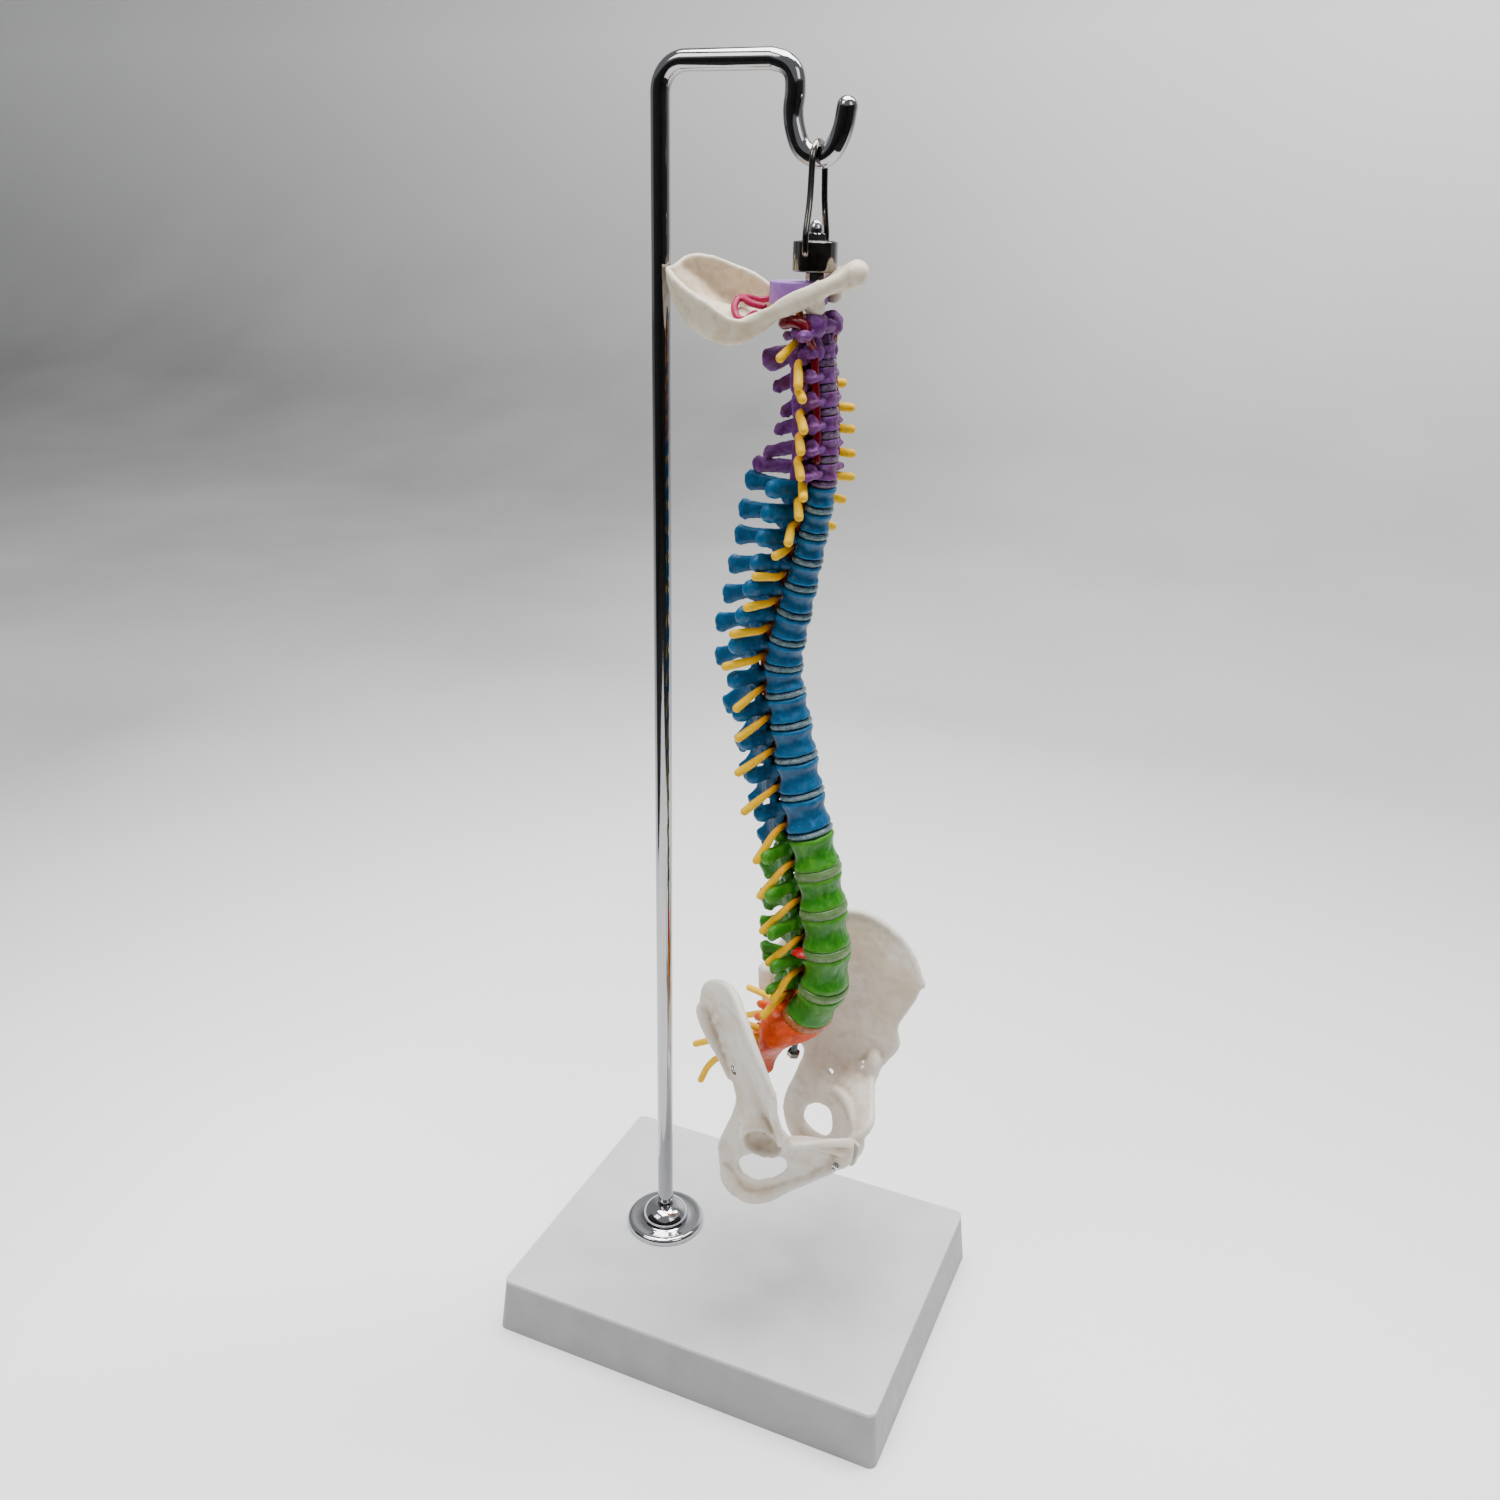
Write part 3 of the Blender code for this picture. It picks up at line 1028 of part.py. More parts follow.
def make_hip(name, side):
    """One hip bone: a curved plate with a thick crest, a socket and two openings."""
    rows = [CREST, UPPER_BLADE, LOWER_BLADE, HIP_WAIST, SOCKET_ROW, RAMUS_ROW, RING_ROW, SEAT_ROW]
    bm = bmesh.new()
    grid = [[bm.verts.new(pelvis_point(x, side * y, z)) for x, y, z in row] for row in rows]
    for upper, lower in zip(grid, grid[1:]):
        for i in range(len(upper) - 1):
            bm.faces.new((upper[i], lower[i], lower[i + 1], upper[i + 1]))
    plate = mesh_object("plate", bm)
    solid = plate.modifiers.new("wall", "SOLIDIFY")
    solid.thickness = PELVIS_WALL
    solid.offset = 0
    bpy.context.view_layer.update()
    freeze(plate)
    edge = smooth_path([pelvis_point(x, side * y, z) for x, y, z in CREST], 2)
    boolean(plate, freeze(tube("crest", edge, CREST_RADIUS, 1)), "UNION")
    facing = pelvis_way(SOCKET_FACING[0], side * SOCKET_FACING[1], SOCKET_FACING[2]).normalized()
    socket = pelvis_point(SOCKET_CENTRE[0], side * SOCKET_CENTRE[1], SOCKET_CENTRE[2])
    cup = cylinder("cup", socket + facing * 2.5 * MM, SOCKET_RADIUS + SOCKET_WALL, 9 * MM, 14, facing)
    boolean(plate, cup, "UNION")
    bm = bmesh.new()
    bmesh.ops.create_uvsphere(bm, u_segments=14, v_segments=8, radius=SOCKET_RADIUS,
                              matrix=Matrix.Translation(socket + facing * 8.5 * MM))
    boolean(plate, mesh_object("ball", bm), "DIFFERENCE")
    swing = Matrix.Rotation(TWIST, 4, "Z")
    seat = Matrix.Translation(pelvis_point(-12, side * 27, 90)) @ swing @ Matrix.Rotation(math.radians(-38),
                                                                                          4, "Y")
    boolean(plate, ellipsoid("seat", seat @ Matrix.Diagonal((5.6 * MM, 4.4 * MM, 9.5 * MM, 1)), 8), "UNION")
    pubis = Matrix.Translation(pelvis_point(PUBIC_BODY_CENTRE[0], side * PUBIC_BODY_CENTRE[1],
                                            PUBIC_BODY_CENTRE[2]))
    pubis = pubis @ swing @ Matrix.Rotation(SYMPHYSIS_LEAN, 4,
                                            "Y") @ Matrix.Diagonal((4.6 * MM, 4.2 * MM, 9 * MM, 1))
    boolean(plate, ellipsoid("pubis", pubis, 8), "UNION")
    lighten(plate, HIP_TRIANGLES)
    slab = box("slab", pelvis_point(*SYMPHYSIS_CENTRE),
               (40 * MM, SYMPHYSIS_THICKNESS + 2 * SEAT_GAP, 50 * MM), swing.to_3x3())
    boolean(plate, slab, "DIFFERENCE")
    boolean(plate, sacral_screw_tool(side, SCREW_RADIUS + SCREW_CLEARANCE, 12 * MM), "DIFFERENCE")
    way = pelvis_way(0, side, 0)
    head_seat = pelvis_point(SACRAL_SCREW_PLACE[0], side * SACRAL_SCREW_PLACE[1],
                             SACRAL_SCREW_PLACE[2]) - way * SEAT_GAP
    boolean(plate, cylinder("sink", head_seat + way * 5 * MM, SCREW_HEAD_RADIUS + SCREW_CLEARANCE, 10 * MM,
                            8, way), "DIFFERENCE")
    centre = pelvis_point(FORAMEN_CENTRE[0], side * FORAMEN_CENTRE[1], FORAMEN_CENTRE[2])
    through = pelvis_way(0.32, side * 0.95, -0.1).normalized()
    along = pelvis_way(0.80, side * -0.22, 0.50)
    along = (along - through * along.dot(through)).normalized()
    across = through.cross(along)
    opening = bmesh.new()
    loft(opening, [oval(centre + through * reach, along, across, FORAMEN_HALF_LENGTH, FORAMEN_HALF_HEIGHT, 10)
                   for reach in (-14 * MM, 14 * MM)])
    boolean(plate, mesh_object("opening", opening), "DIFFERENCE")
    small = pelvis_point(SOCKET_HOLE_CENTRE[0], side * SOCKET_HOLE_CENTRE[1], SOCKET_HOLE_CENTRE[2])
    hole = cylinder("hole", small, SOCKET_HOLE_WIDTH / 2, 16 * MM, 4, pelvis_way(0.1, side, 0).normalized())
    boolean(plate, hole, "DIFFERENCE")
    boolean(plate, symphysis_cylinder(SCREW_RADIUS + SCREW_CLEARANCE, 8 * MM), "DIFFERENCE")
    finish_object(plate, name, "hip_plastic")


def make_sacrum():
    """The sacrum with its tail: a curved wedge with a canal and a knobbly back."""
    sides = 12
    seat = disc_face(levels()[-1]["bottom"], -(DISC_THICKNESS / 2 + SEAT_GAP))
    last = levels()[-1]
    rings = [[seat @ p for p in body_ring(0, last["depth"], last["width"], sides)]]
    for i, (x, z, half_width, front, back) in enumerate(SACRUM):
        before = SACRUM[max(i - 1, 0)]
        after = SACRUM[min(i + 1, len(SACRUM) - 1)]
        down = Vector((after[0] - before[0], 0, after[1] - before[1])).normalized()
        ahead = Vector((-down.z, 0, down.x))
        ring = []
        for k in range(sides):
            angle = 2 * math.pi * (k + 0.5) / sides
            forward = math.cos(angle)
            reach = (front if forward > 0 else back) * forward
            spot = Vector((x, 0, z)) + ahead * reach + Vector((0, half_width * math.sin(angle), 0))
            ring.append(pelvis_point(spot.x, spot.y, spot.z))
        rings.append(ring)
    bm = bmesh.new()
    loft(bm, rings[::-1])
    sacrum = mesh_object("sacrum", bm)
    bm = bmesh.new()
    for x, z, reach, height in SACRAL_CREST:
        limb(bm, [(pelvis_point(x + 4, 0, z), 2.2 * MM, height * MM),
                  (pelvis_point(x - reach * 0.7, 0, z), 1.5 * MM, height * MM),
                  (pelvis_point(x - reach, 0, z - 1), 1.2 * MM, height * 0.8 * MM)], 6)
    for side in (1, -1):
        x = canal_centre(last["depth"], last["canal"]) - FACET_SETBACK
        root_x, root_y, root_z = SACRAL_JOINT_ROOT
        start = pelvis_point(root_x, side * root_y, root_z)
        end = column_frame(last["bottom"]) @ Vector((x, side * SACRAL_JOINT_SIDE, facet_overlap(last)))
        limb(bm, [(start, 2.0 * MM, 2.6 * MM), (end, FACET_THICKNESS / 2, 2.1 * MM)], 6, pelvis_way(0, 1, 0))
    boolean(sacrum, mesh_object("knobs", bm), "UNION", True)
    lighten(sacrum, SACRUM_TRIANGLES)
    path = cord_points()
    path.append(2 * path[-1] - path[-2])
    boolean(sacrum, freeze(tube("canal", path[-5:], CANAL_BORE, 1)), "DIFFERENCE")
    boolean(sacrum, freeze(tube("bore", core_points()[-6:], CORE_RADIUS + CORE_CLEARANCE, 0)), "DIFFERENCE")
    for side in (1, -1):
        boolean(sacrum, sacral_screw_tool(side, SCREW_RADIUS + SCREW_CLEARANCE, SCREW_LENGTH + 1 * MM),
                "DIFFERENCE")
        for spots in SACRAL_NERVES.values():
            hole = tube("hole", sacral_nerve_path(spots, side, 1 * MM),
                        SACRAL_NERVE_RADIUS + SACRAL_NERVE_CLEARANCE, 1)
            boolean(sacrum, freeze(hole), "DIFFERENCE")
    finish_object(sacrum, "sacrum_and_coccyx", "sacral_orange")


def sacral_nerve_path(spots, side, extra=0):
    """A sacral nerve's centreline; its hole starts a little deeper in the bone."""
    path = [pelvis_point(x, side * y, z) for x, y, z in spots]
    if extra:
        path[0] -= (path[1] - path[0]).normalized() * extra
    return path


def make_sacral_nerves():
    """Three nerves on each side that come out of the back of the sacrum."""
    for side_name, side in (("left", 1), ("right", -1)):
        for level, spots in SACRAL_NERVES.items():
            bm = bmesh.new()
            limb(bm, [(point, SACRAL_NERVE_RADIUS,
                       SACRAL_NERVE_RADIUS) for point in sacral_nerve_path(spots, side)], 5)
            name = "sacral_nerve_" + level + "_" + side_name
            finish_object(mesh_object(name, bm), name, "nerve_yellow")


def sacral_screw_tool(side, radius, length, sides=8):
    """A cylinder on the axis of a screw between hip bone and sacrum, from its head's seat inwards."""
    way = pelvis_way(0, side, 0)
    seat = pelvis_point(SACRAL_SCREW_PLACE[0], side * SACRAL_SCREW_PLACE[1], SACRAL_SCREW_PLACE[2])
    return cylinder("screw", seat - way * (length / 2), radius, length, sides, way)


def make_screw(name, seat, way, length):
    """A pan-headed screw with a crossed recess; its head's underside lies on the seat."""
    profile = [(0, SCREW_HEAD_HEIGHT), (0.72 * SCREW_HEAD_RADIUS, SCREW_HEAD_HEIGHT),
               (SCREW_HEAD_RADIUS, 0.5 * SCREW_HEAD_HEIGHT),
               (SCREW_HEAD_RADIUS, 0), (SCREW_RADIUS, 0), (SCREW_RADIUS, -length), (0, -length)]
    screw = turned(name, profile, 12, (0, 0, 0), "dark_nickel")
    reach, half = SCREW_SLOT_REACH, SCREW_SLOT_WIDTH / 2
    cross = [(reach, -half), (reach, half), (half, half), (half, reach), (-half, reach), (-half, half),
             (-reach, half), (-reach, -half),
             (-half, -half), (-half, -reach), (half, -reach), (half, -half)]
    bm = bmesh.new()
    loft(bm, [[Vector((x, y, z)) for x, y in cross] for z in (SCREW_HEAD_HEIGHT - SCREW_SLOT_DEPTH,
                                                              2 * SCREW_HEAD_HEIGHT)])
    slot = mesh_object("slot", bm)
    slot.rotation_euler.z = SCREW_SLOT_TURN
    boolean(screw, slot, "DIFFERENCE")
    finish_object(screw, name, "dark_nickel")
    turn = Vector((0, 0, 1)).rotation_difference(way).to_matrix().to_4x4()
    screw.matrix_world = Matrix.Translation(seat) @ turn


def make_sacral_screws():
    for name, side in (("sacral_screw_left", 1), ("sacral_screw_right", -1)):
        seat = pelvis_point(SACRAL_SCREW_PLACE[0], side * SACRAL_SCREW_PLACE[1], SACRAL_SCREW_PLACE[2])
        make_screw(name, seat, pelvis_way(0, side, 0), SCREW_LENGTH)


def make_core_nut():
    """The nut that holds the column on the core's lower end, under the sacrum."""
    points = core_points()
    way = (points[-2] - points[-1]).normalized()
    middle = points[-1] + way * (CORE_NUT_HEIGHT / 2 + 0.4 * MM)
    nut = cylinder("nut", middle, CORE_NUT_WIDTH / math.sqrt(3), CORE_NUT_HEIGHT, 6, way)
    hole = cylinder("hole", middle, CORE_RADIUS + CORE_CLEARANCE, 4 * CORE_NUT_HEIGHT, 10, way)
    finish_object(boolean(nut, hole, "DIFFERENCE"), "core_end_nut", "dark_nickel")


def symphysis_cylinder(radius, overrun, sides=8):
    """A cylinder on the axis of the screw through both pubic bones, longer than it at each end."""
    left, right = SYMPHYSIS_SCREW_ENDS
    x, y, z = SYMPHYSIS_SCREW_PLACE
    middle = pelvis_point(x, y, z) + pelvis_way(0, 1, 0) * ((left + right) / 2)
    return cylinder("screw", middle, radius, left - right + 2 * overrun, sides, pelvis_way(0, 1, 0))


def make_symphysis():
    """The pad between the two pubic bones, and the screw through them."""
    turn = Matrix.Rotation(TWIST, 3, "Z") @ Matrix.Rotation(SYMPHYSIS_LEAN, 3, "Y")
    pad = box("pubic_symphysis", pelvis_point(*SYMPHYSIS_CENTRE), (8 * MM, SYMPHYSIS_THICKNESS, 15 * MM),
              turn)
    bm = bmesh.new()
    bm.from_mesh(pad.data)
    across = pelvis_way(0, 1, 0)
    corners = [e for e in bm.edges if abs((e.verts[0].co - e.verts[1].co).normalized().dot(across)) > 0.9]
    bmesh.ops.bevel(bm, geom=corners, offset=2.5 * MM, segments=2, affect="EDGES", profile=0.5)
    bm.to_mesh(pad.data)
    bm.free()
    boolean(pad, symphysis_cylinder(SCREW_RADIUS + SCREW_CLEARANCE, 8 * MM), "DIFFERENCE")
    finish_object(pad, "pubic_symphysis", "disc_clear")
    left, right = SYMPHYSIS_SCREW_ENDS
    make_screw("symphysis_screw", pelvis_point(*SYMPHYSIS_SCREW_PLACE) + across * right, -across,
               left - right)


# Skull base


def occiput_point(x, across, inset=0):
    """A point of the scoop's middle surface: forward, share of the way from edge to edge, height above."""
    for low, high in zip(OCCIPUT, OCCIPUT[1:]):
        if x <= high[0] or high is OCCIPUT[-1]:
            break
    share = (x - low[0]) / (high[0] - low[0])
    half_width, rim, floor, ridge = (a + (b - a) * share for a, b in zip(low[1:], high[1:]))
    side = abs(across)
    if side > 0.5:
        rise = (side - 0.5) / 0.5
        z = floor + (rim - floor) * (1 - math.sqrt(max(1 - rise ** 2, 0)) * 1.0) * (0.4 + 0.6 * rise)
    else:
        z = floor + (ridge - floor) * (0.5 + 0.5 * math.cos(2 * math.pi * side))
    y = half_width * math.sin(math.pi / 2 * across)
    return skull_place() @ Vector((x * MM, y * MM, z * MM + inset))


def skull_place():
    pivot = Matrix.Translation((0, 0, SKULL_PIVOT_Z))
    roll = pivot @ Matrix.Rotation(OCCIPUT_ROLL, 4, "X") @ pivot.inverted()
    return Matrix.Translation((HANG_X + BALANCE_X, BALANCE_Y, 0)) @ roll


def make_occiput():
    """The back of the skull base: a rolled scoop with the large opening, two condyles and the clivus."""
    across = [-1, -0.8, -0.5, 0, 0.5, 0.8, 1]
    bm = bmesh.new()
    grid = [[bm.verts.new(occiput_point(station[0], share)) for share in across] for station in OCCIPUT]
    for a, b in zip(grid, grid[1:]):
        for i in range(len(across) - 1):
            bm.faces.new((a[i], b[i], b[i + 1], a[i + 1]))
    scoop = mesh_object("scoop", bm)
    solid = scoop.modifiers.new("wall", "SOLIDIFY")
    solid.thickness = OCCIPUT_WALL
    solid.offset = 0
    bpy.context.view_layer.update()
    freeze(scoop)
    bm = bmesh.new()
    place = skull_place()
    limb(bm, [(place @ Vector((x * MM, 0, z * MM)), wide * MM, tall * MM) for x, z, wide, tall in CLIVUS], 6)
    boolean(scoop, mesh_object("clivus", bm), "UNION", True)
    for side in (1, -1):
        spot = place @ Vector((CONDYLE[0], side * CONDYLE[1], CONDYLE[2]))
        boolean(scoop, ellipsoid("condyle",
                                 Matrix.Translation(spot) @ Matrix.Diagonal((4.6 * MM, 3.2 * MM, 4.0 * MM,
                                                                             1)), 6, 4), "UNION")
    lighten(scoop, OCCIPUT_TRIANGLES)
    hole = cylinder("hole", Vector((HANG_X + BALANCE_X - BLOCK_BACK, BALANCE_Y, BLOCK_TOP_Z)),
                    BLOCK_RADIUS + SEAT_GAP, 60 * MM, 16)
    boolean(scoop, hole, "DIFFERENCE")
    finish_object(scoop, "occiput", "bone_plastic")


def make_sinus_band():
    """The raised band inside the scoop: three prongs joined behind the large opening."""
    inset = OCCIPUT_WALL / 2 + BAND_CLEARANCE + BAND_HEIGHT / 2
    bm = bmesh.new()
    for route in BAND_ROUTES:
        limb(bm, [(occiput_point(x, share, inset), BAND_WIDTH / 2 * 1.3, BAND_HEIGHT / 2) for x,
                  share in route], 4)
    band = mesh_object("band", bm)
    bm = bmesh.new()
    knot = occiput_point(*BAND_ROUTES[0][0], inset)
    bmesh.ops.create_cone(bm, cap_ends=True, segments=8, radius1=BAND_WIDTH * 0.6, radius2=BAND_WIDTH * 0.6,
                          depth=BAND_HEIGHT,
                          matrix=Matrix.Translation(knot))
    boolean(band, mesh_object("knot", bm), "UNION", True)
    finish_object(band, "sinus_band", "sinus_magenta")


def make_block():
    block = cylinder("block", Vector((HANG_X + BALANCE_X - BLOCK_BACK, BALANCE_Y,
                                      (BLOCK_TOP_Z + BLOCK_BOTTOM_Z) / 2)), BLOCK_RADIUS,
                     BLOCK_TOP_Z - BLOCK_BOTTOM_Z, 16)
    bore = cylinder("bore", Vector((HANG_X, 0, BLOCK_TOP_Z)), STUD_RADIUS + SEAT_GAP, 40 * MM, 12)
    finish_object(boolean(block, bore, "DIFFERENCE"), "brainstem_block", "block_purple")


def carry(name, place, pieces, parent=None):
    """An empty on a joint's axis that carries the pieces which move about it."""
    pivot = bpy.data.objects.new(name, None)
    MODEL.objects.link(pivot)
    pivot.location = place
    if parent:
        pivot.parent = parent
        pivot.matrix_parent_inverse = parent.matrix_world.inverted()
    bpy.context.view_layer.update()
    for piece in pieces:
        piece.parent = pivot
        piece.matrix_parent_inverse = pivot.matrix_world.inverted()
    return pivot


def join_by_pivots():
    """Hang the cup on the bail's axis, and the spine on the swivel's axis under it."""
    fixed = {"base", "stand_rod", "rod_flange", "rod_washer", "rod_nut", "hanger_bail"}
    cup = {"hanger_cup", "hanger_washer"}
    pieces = {obj.name: obj for obj in MODEL.objects}
    bail = carry("bail_pivot", (HANG_X, 0, BAIL_PIVOT_Z), [pieces[name] for name in sorted(cup)])
    spine = [pieces[name] for name in sorted(set(pieces) - fixed - cup)]
    carry("spine_swivel", (HANG_X, 0, CUP_BOTTOM_Z + CUP_FLOOR), spine, bail)


def main():
    make_base()
    make_rod()
    make_rod_fittings()
    make_bail()
    make_hanger()
    make_block()
    make_occiput()
    make_sinus_band()
    arteries = [artery_path(1), artery_path(-1)]
    make_arteries(arteries)
    make_atlas(arteries)
    rows = levels()
    for i, row in enumerate(rows):
        make_vertebra(row, rows[i - 1] if i else None, rows[i + 1] if i + 1 < len(rows) else None, arteries)
    make_core()
    make_cord()
    make_herniation()
    make_sacrum()
    make_sacral_nerves()
    make_sacral_screws()
    make_core_nut()
    make_symphysis()
    make_hip("hip_left", 1)
    make_hip("hip_right", -1)
    join_by_pivots()


main()
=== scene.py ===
"""The looks of the half-size spine model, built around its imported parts, in metres and in their frame."""
import json
import math
from types import SimpleNamespace

import bpy
import numpy as np
from mathutils import Matrix, Vector

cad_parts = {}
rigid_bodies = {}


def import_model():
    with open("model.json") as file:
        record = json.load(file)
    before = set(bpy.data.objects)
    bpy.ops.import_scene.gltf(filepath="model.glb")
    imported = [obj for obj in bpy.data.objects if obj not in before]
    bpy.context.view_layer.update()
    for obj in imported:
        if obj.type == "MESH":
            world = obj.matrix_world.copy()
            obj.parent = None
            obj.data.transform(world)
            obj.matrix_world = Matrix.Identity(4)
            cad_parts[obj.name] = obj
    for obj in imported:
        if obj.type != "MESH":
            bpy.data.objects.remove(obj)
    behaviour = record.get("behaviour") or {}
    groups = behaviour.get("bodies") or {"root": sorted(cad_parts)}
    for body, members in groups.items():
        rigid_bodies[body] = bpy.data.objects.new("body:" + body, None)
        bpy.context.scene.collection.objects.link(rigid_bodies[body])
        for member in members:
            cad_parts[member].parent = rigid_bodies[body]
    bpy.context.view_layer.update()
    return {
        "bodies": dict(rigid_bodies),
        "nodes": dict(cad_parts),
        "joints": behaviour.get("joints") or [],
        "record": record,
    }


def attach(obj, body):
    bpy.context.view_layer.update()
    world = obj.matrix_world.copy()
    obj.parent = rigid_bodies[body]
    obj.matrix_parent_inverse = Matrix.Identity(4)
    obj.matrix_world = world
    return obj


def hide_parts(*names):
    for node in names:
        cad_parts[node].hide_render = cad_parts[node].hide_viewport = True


MM = 0.001
UP = (0, 0, 1)
FORWARD = (1, 0, 0)
LEFT = (0, 1, 0)
SIDES = (("left", 1), ("right", -1))

# Camera, fitted to the photograph: place in millimetres and angles in degrees
CAMERA_PLACE = (224.5, -520.7, 547.0)
CAMERA_YAW = 23.444
CAMERA_PITCH = 22.311
CAMERA_ROLL = 1.229
CAMERA_LENS = 32.553
CAMERA_SENSOR = 36

# Stand
BASE_LENGTH = 200 * MM
BASE_DEPTH = 149 * MM
BASE_HEIGHT = 30 * MM
BASE_DRAFT = 2.7 * MM
BASE_CORNER = 5 * MM
BASE_EDGE = 1.4 * MM
BASE_WALL = 2.6 * MM
BOSS_RADIUS = 13 * MM
BOSS_DEPTH = 19 * MM
RIB_THICKNESS = 2.4 * MM
RIB_DEPTH = 14 * MM
ROD_RADIUS = 4 * MM
ROD_X = -45.3 * MM
ROD_HEIGHT = 593.8 * MM
ROD_BEND = 11 * MM
ROD_END_Z = 2 * MM
ROD_CLEARANCE = 0.5 * MM
HANG_X = 21.8 * MM
HOOK_BOTTOM_Z = 560 * MM
HOOK_HALF_WIDTH = 10.6 * MM
# Hook centreline in millimetres: the neck from its start, the bowl from the hang axis
HOOK_NECK = [(-9.3, 593.8), (-3.6, 592.0), (-0.3, 588.4), (0.3, 582.5), (-0.3, 576.5), (0.6, 570.2)]
HOOK_BOWL = [(-7.2, 3.6), (-2.2, 0.4), (2.2, 0.2), (6.2, 3.6), (9.2, 10.0), (10.6, 17.5)]
FLANGE_RADIUS = 20.5 * MM
FLANGE_RIM = 3.3 * MM
FLANGE_EDGE = 2.2 * MM
FLANGE_DOME_RADIUS = 12.5 * MM
FLANGE_DOME_RISE = 8 * MM
BAIL_WIRE_RADIUS = 1.25 * MM
BAIL_TOP_RADIUS = 6.6 * MM
BAIL_PIVOT_Z = 526 * MM
BAIL_SIDE_GAP = 0.9 * MM
CUP_RADIUS = 8.75 * MM
CUP_WALL = 1.3 * MM
CUP_BOTTOM_Z = 519.3 * MM
CUP_TOP_Z = 530.5 * MM
SEAT_GAP = 0.3 * MM

# Column, as in the parts
TWIST = math.radians(-15.5)
TWIST_TOP_Z = 500 * MM
TWIST_BOTTOM_Z = 200 * MM
# Centre line in millimetres: height and offset in front of the hang axis
COLUMN = [(507, 0.8), (497, 3.6), (480, 5.2), (462, 7.0), (440, 7.0), (416, 3.0), (394, -1.8), (356, -9.2),
          (330, -4.5), (298, 2.5), (262, 12.8), (228, 19.4), (204, 19.4), (187, 11.8), (176, 7.4),
          (166, 4.6), (155, 2.8)]
AXIS_TOP_Z = 493.8 * MM
ATLAS_Z = 498.2 * MM
DISC_THICKNESS = 2.6 * MM
DISC_SIDES = 64
BACK_SHARE = 0.82
# Vertebrae, in millimetres: name, pitch, half depth, half width, canal radius, spinous reach and drop,
# wing reach, nerve end forward and up
VERTEBRAE = [
    ("c2", 8.3, 4.6, 6.6, 3.5, 25.5, 3.5, 11.5, -3.4, -7.0),
    ("c3", 9.6, 4.8, 6.8, 3.4, 21.5, 4.5, 12.5, -2.0, -2.5),
    ("c4", 9.3, 4.8, 6.9, 3.4, 19.0, 4.5, 12.5, -2.0, -5.0),
    ("c5", 9.1, 4.9, 7.0, 3.4, 22.0, 3.5, 13.0, -3.0, -4.3),
    ("c6", 9.5, 5.0, 7.1, 3.4, 27.0, 4.5, 13.5, -2.5, -5.0),
    ("c7", 9.8, 5.2, 7.3, 3.4, 32.0, 2.5, 16.0, 0.0, -3.3),
    ("t1", 10.8, 5.6, 7.6, 3.3, 34.5, 2.5, 17.5, 0.0, -0.5),
    ("t2", 10.9, 6.0, 7.6, 3.2, 35.0, 6.0, 17.0, -2.0, -1.0),
    ("t3", 11.2, 6.5, 7.6, 3.1, 34.5, 7.0, 16.5, -6.0, 3.0),
    ("t4", 11.5, 7.0, 7.8, 3.1, 34.5, 9.5, 16.0, -12.5, 3.2),
    ("t5", 12.1, 7.6, 8.2, 3.1, 34.0, 12.0, 16.0, -13.0, 2.6),
    ("t6", 12.7, 8.2, 8.6, 3.1, 34.5, 13.5, 16.0, -16.5, 2.2),
    ("t7", 12.5, 8.6, 9.0, 3.1, 33.0, 13.5, 16.0, -18.0, 1.6),
    ("t8", 12.7, 8.9, 9.4, 3.1, 31.5, 15.5, 15.5, -14.0, 0.0),
    ("t9", 13.6, 9.1, 9.9, 3.1, 30.5, 16.5, 15.0, -16.0, 0.0),
    ("t10", 15.3, 9.4, 10.4, 3.2, 30.0, 17.0, 14.0, -19.0, -2.5),
    ("t11", 16.8, 9.6, 10.9, 3.4, 28.5, 15.0, 12.5, -19.5, -3.0),
    ("t12", 17.6, 9.9, 11.3, 3.6, 28.5, 13.0, 11.5, -19.0, -7.5),
    ("l1", 18.2, 10.1, 11.6, 3.7, 31.0, 10.0, 18.0, -20.5, -7.0),
    ("l2", 18.2, 10.3, 11.9, 3.8, 34.5, 9.0, 20.0, -22.0, -7.0),
    ("l3", 19.8, 10.5, 12.3, 3.9, 37.0, 7.0, 22.0, -19.5, -5.0),
    ("l4", 20.2, 10.9, 12.8, 4.0, 37.5, 3.2, 20.5, -13.5, -7.0),
    ("l5", 18.6, 11.3, 13.3, 4.0, 34.0, 3.4, 20.0, -12.0, -3.0),
]
ARCH_WALL = 1.9 * MM
NERVE_REACH = 19 * MM
NERVE_RADIUS = 1.85 * MM
CORD_RADIUS = 1.6 * MM

FACET_SETBACK = 2.3 * MM
FACET_THICKNESS = 1.7 * MM
FACET_GAP = 0.8 * MM
FACET_OVERLAP = 0.13
SHORT_JOINTS = {"l3": 0.07, "l4": -0.05, "l5": 0.03}
CROWDED = ("l4", "l5")
TIP_HEIGHTS = {"c7": 3.9 * MM, "l4": 3.4 * MM, "l5": 2.8 * MM}
# Peg of the second neck vertebra in millimetres: height and radius
DENS = [(489, 3.0), (496, 2.8), (501.5, 2.8)]
CORE_RADIUS = 1.5 * MM
CORE_END_Z = 157 * MM
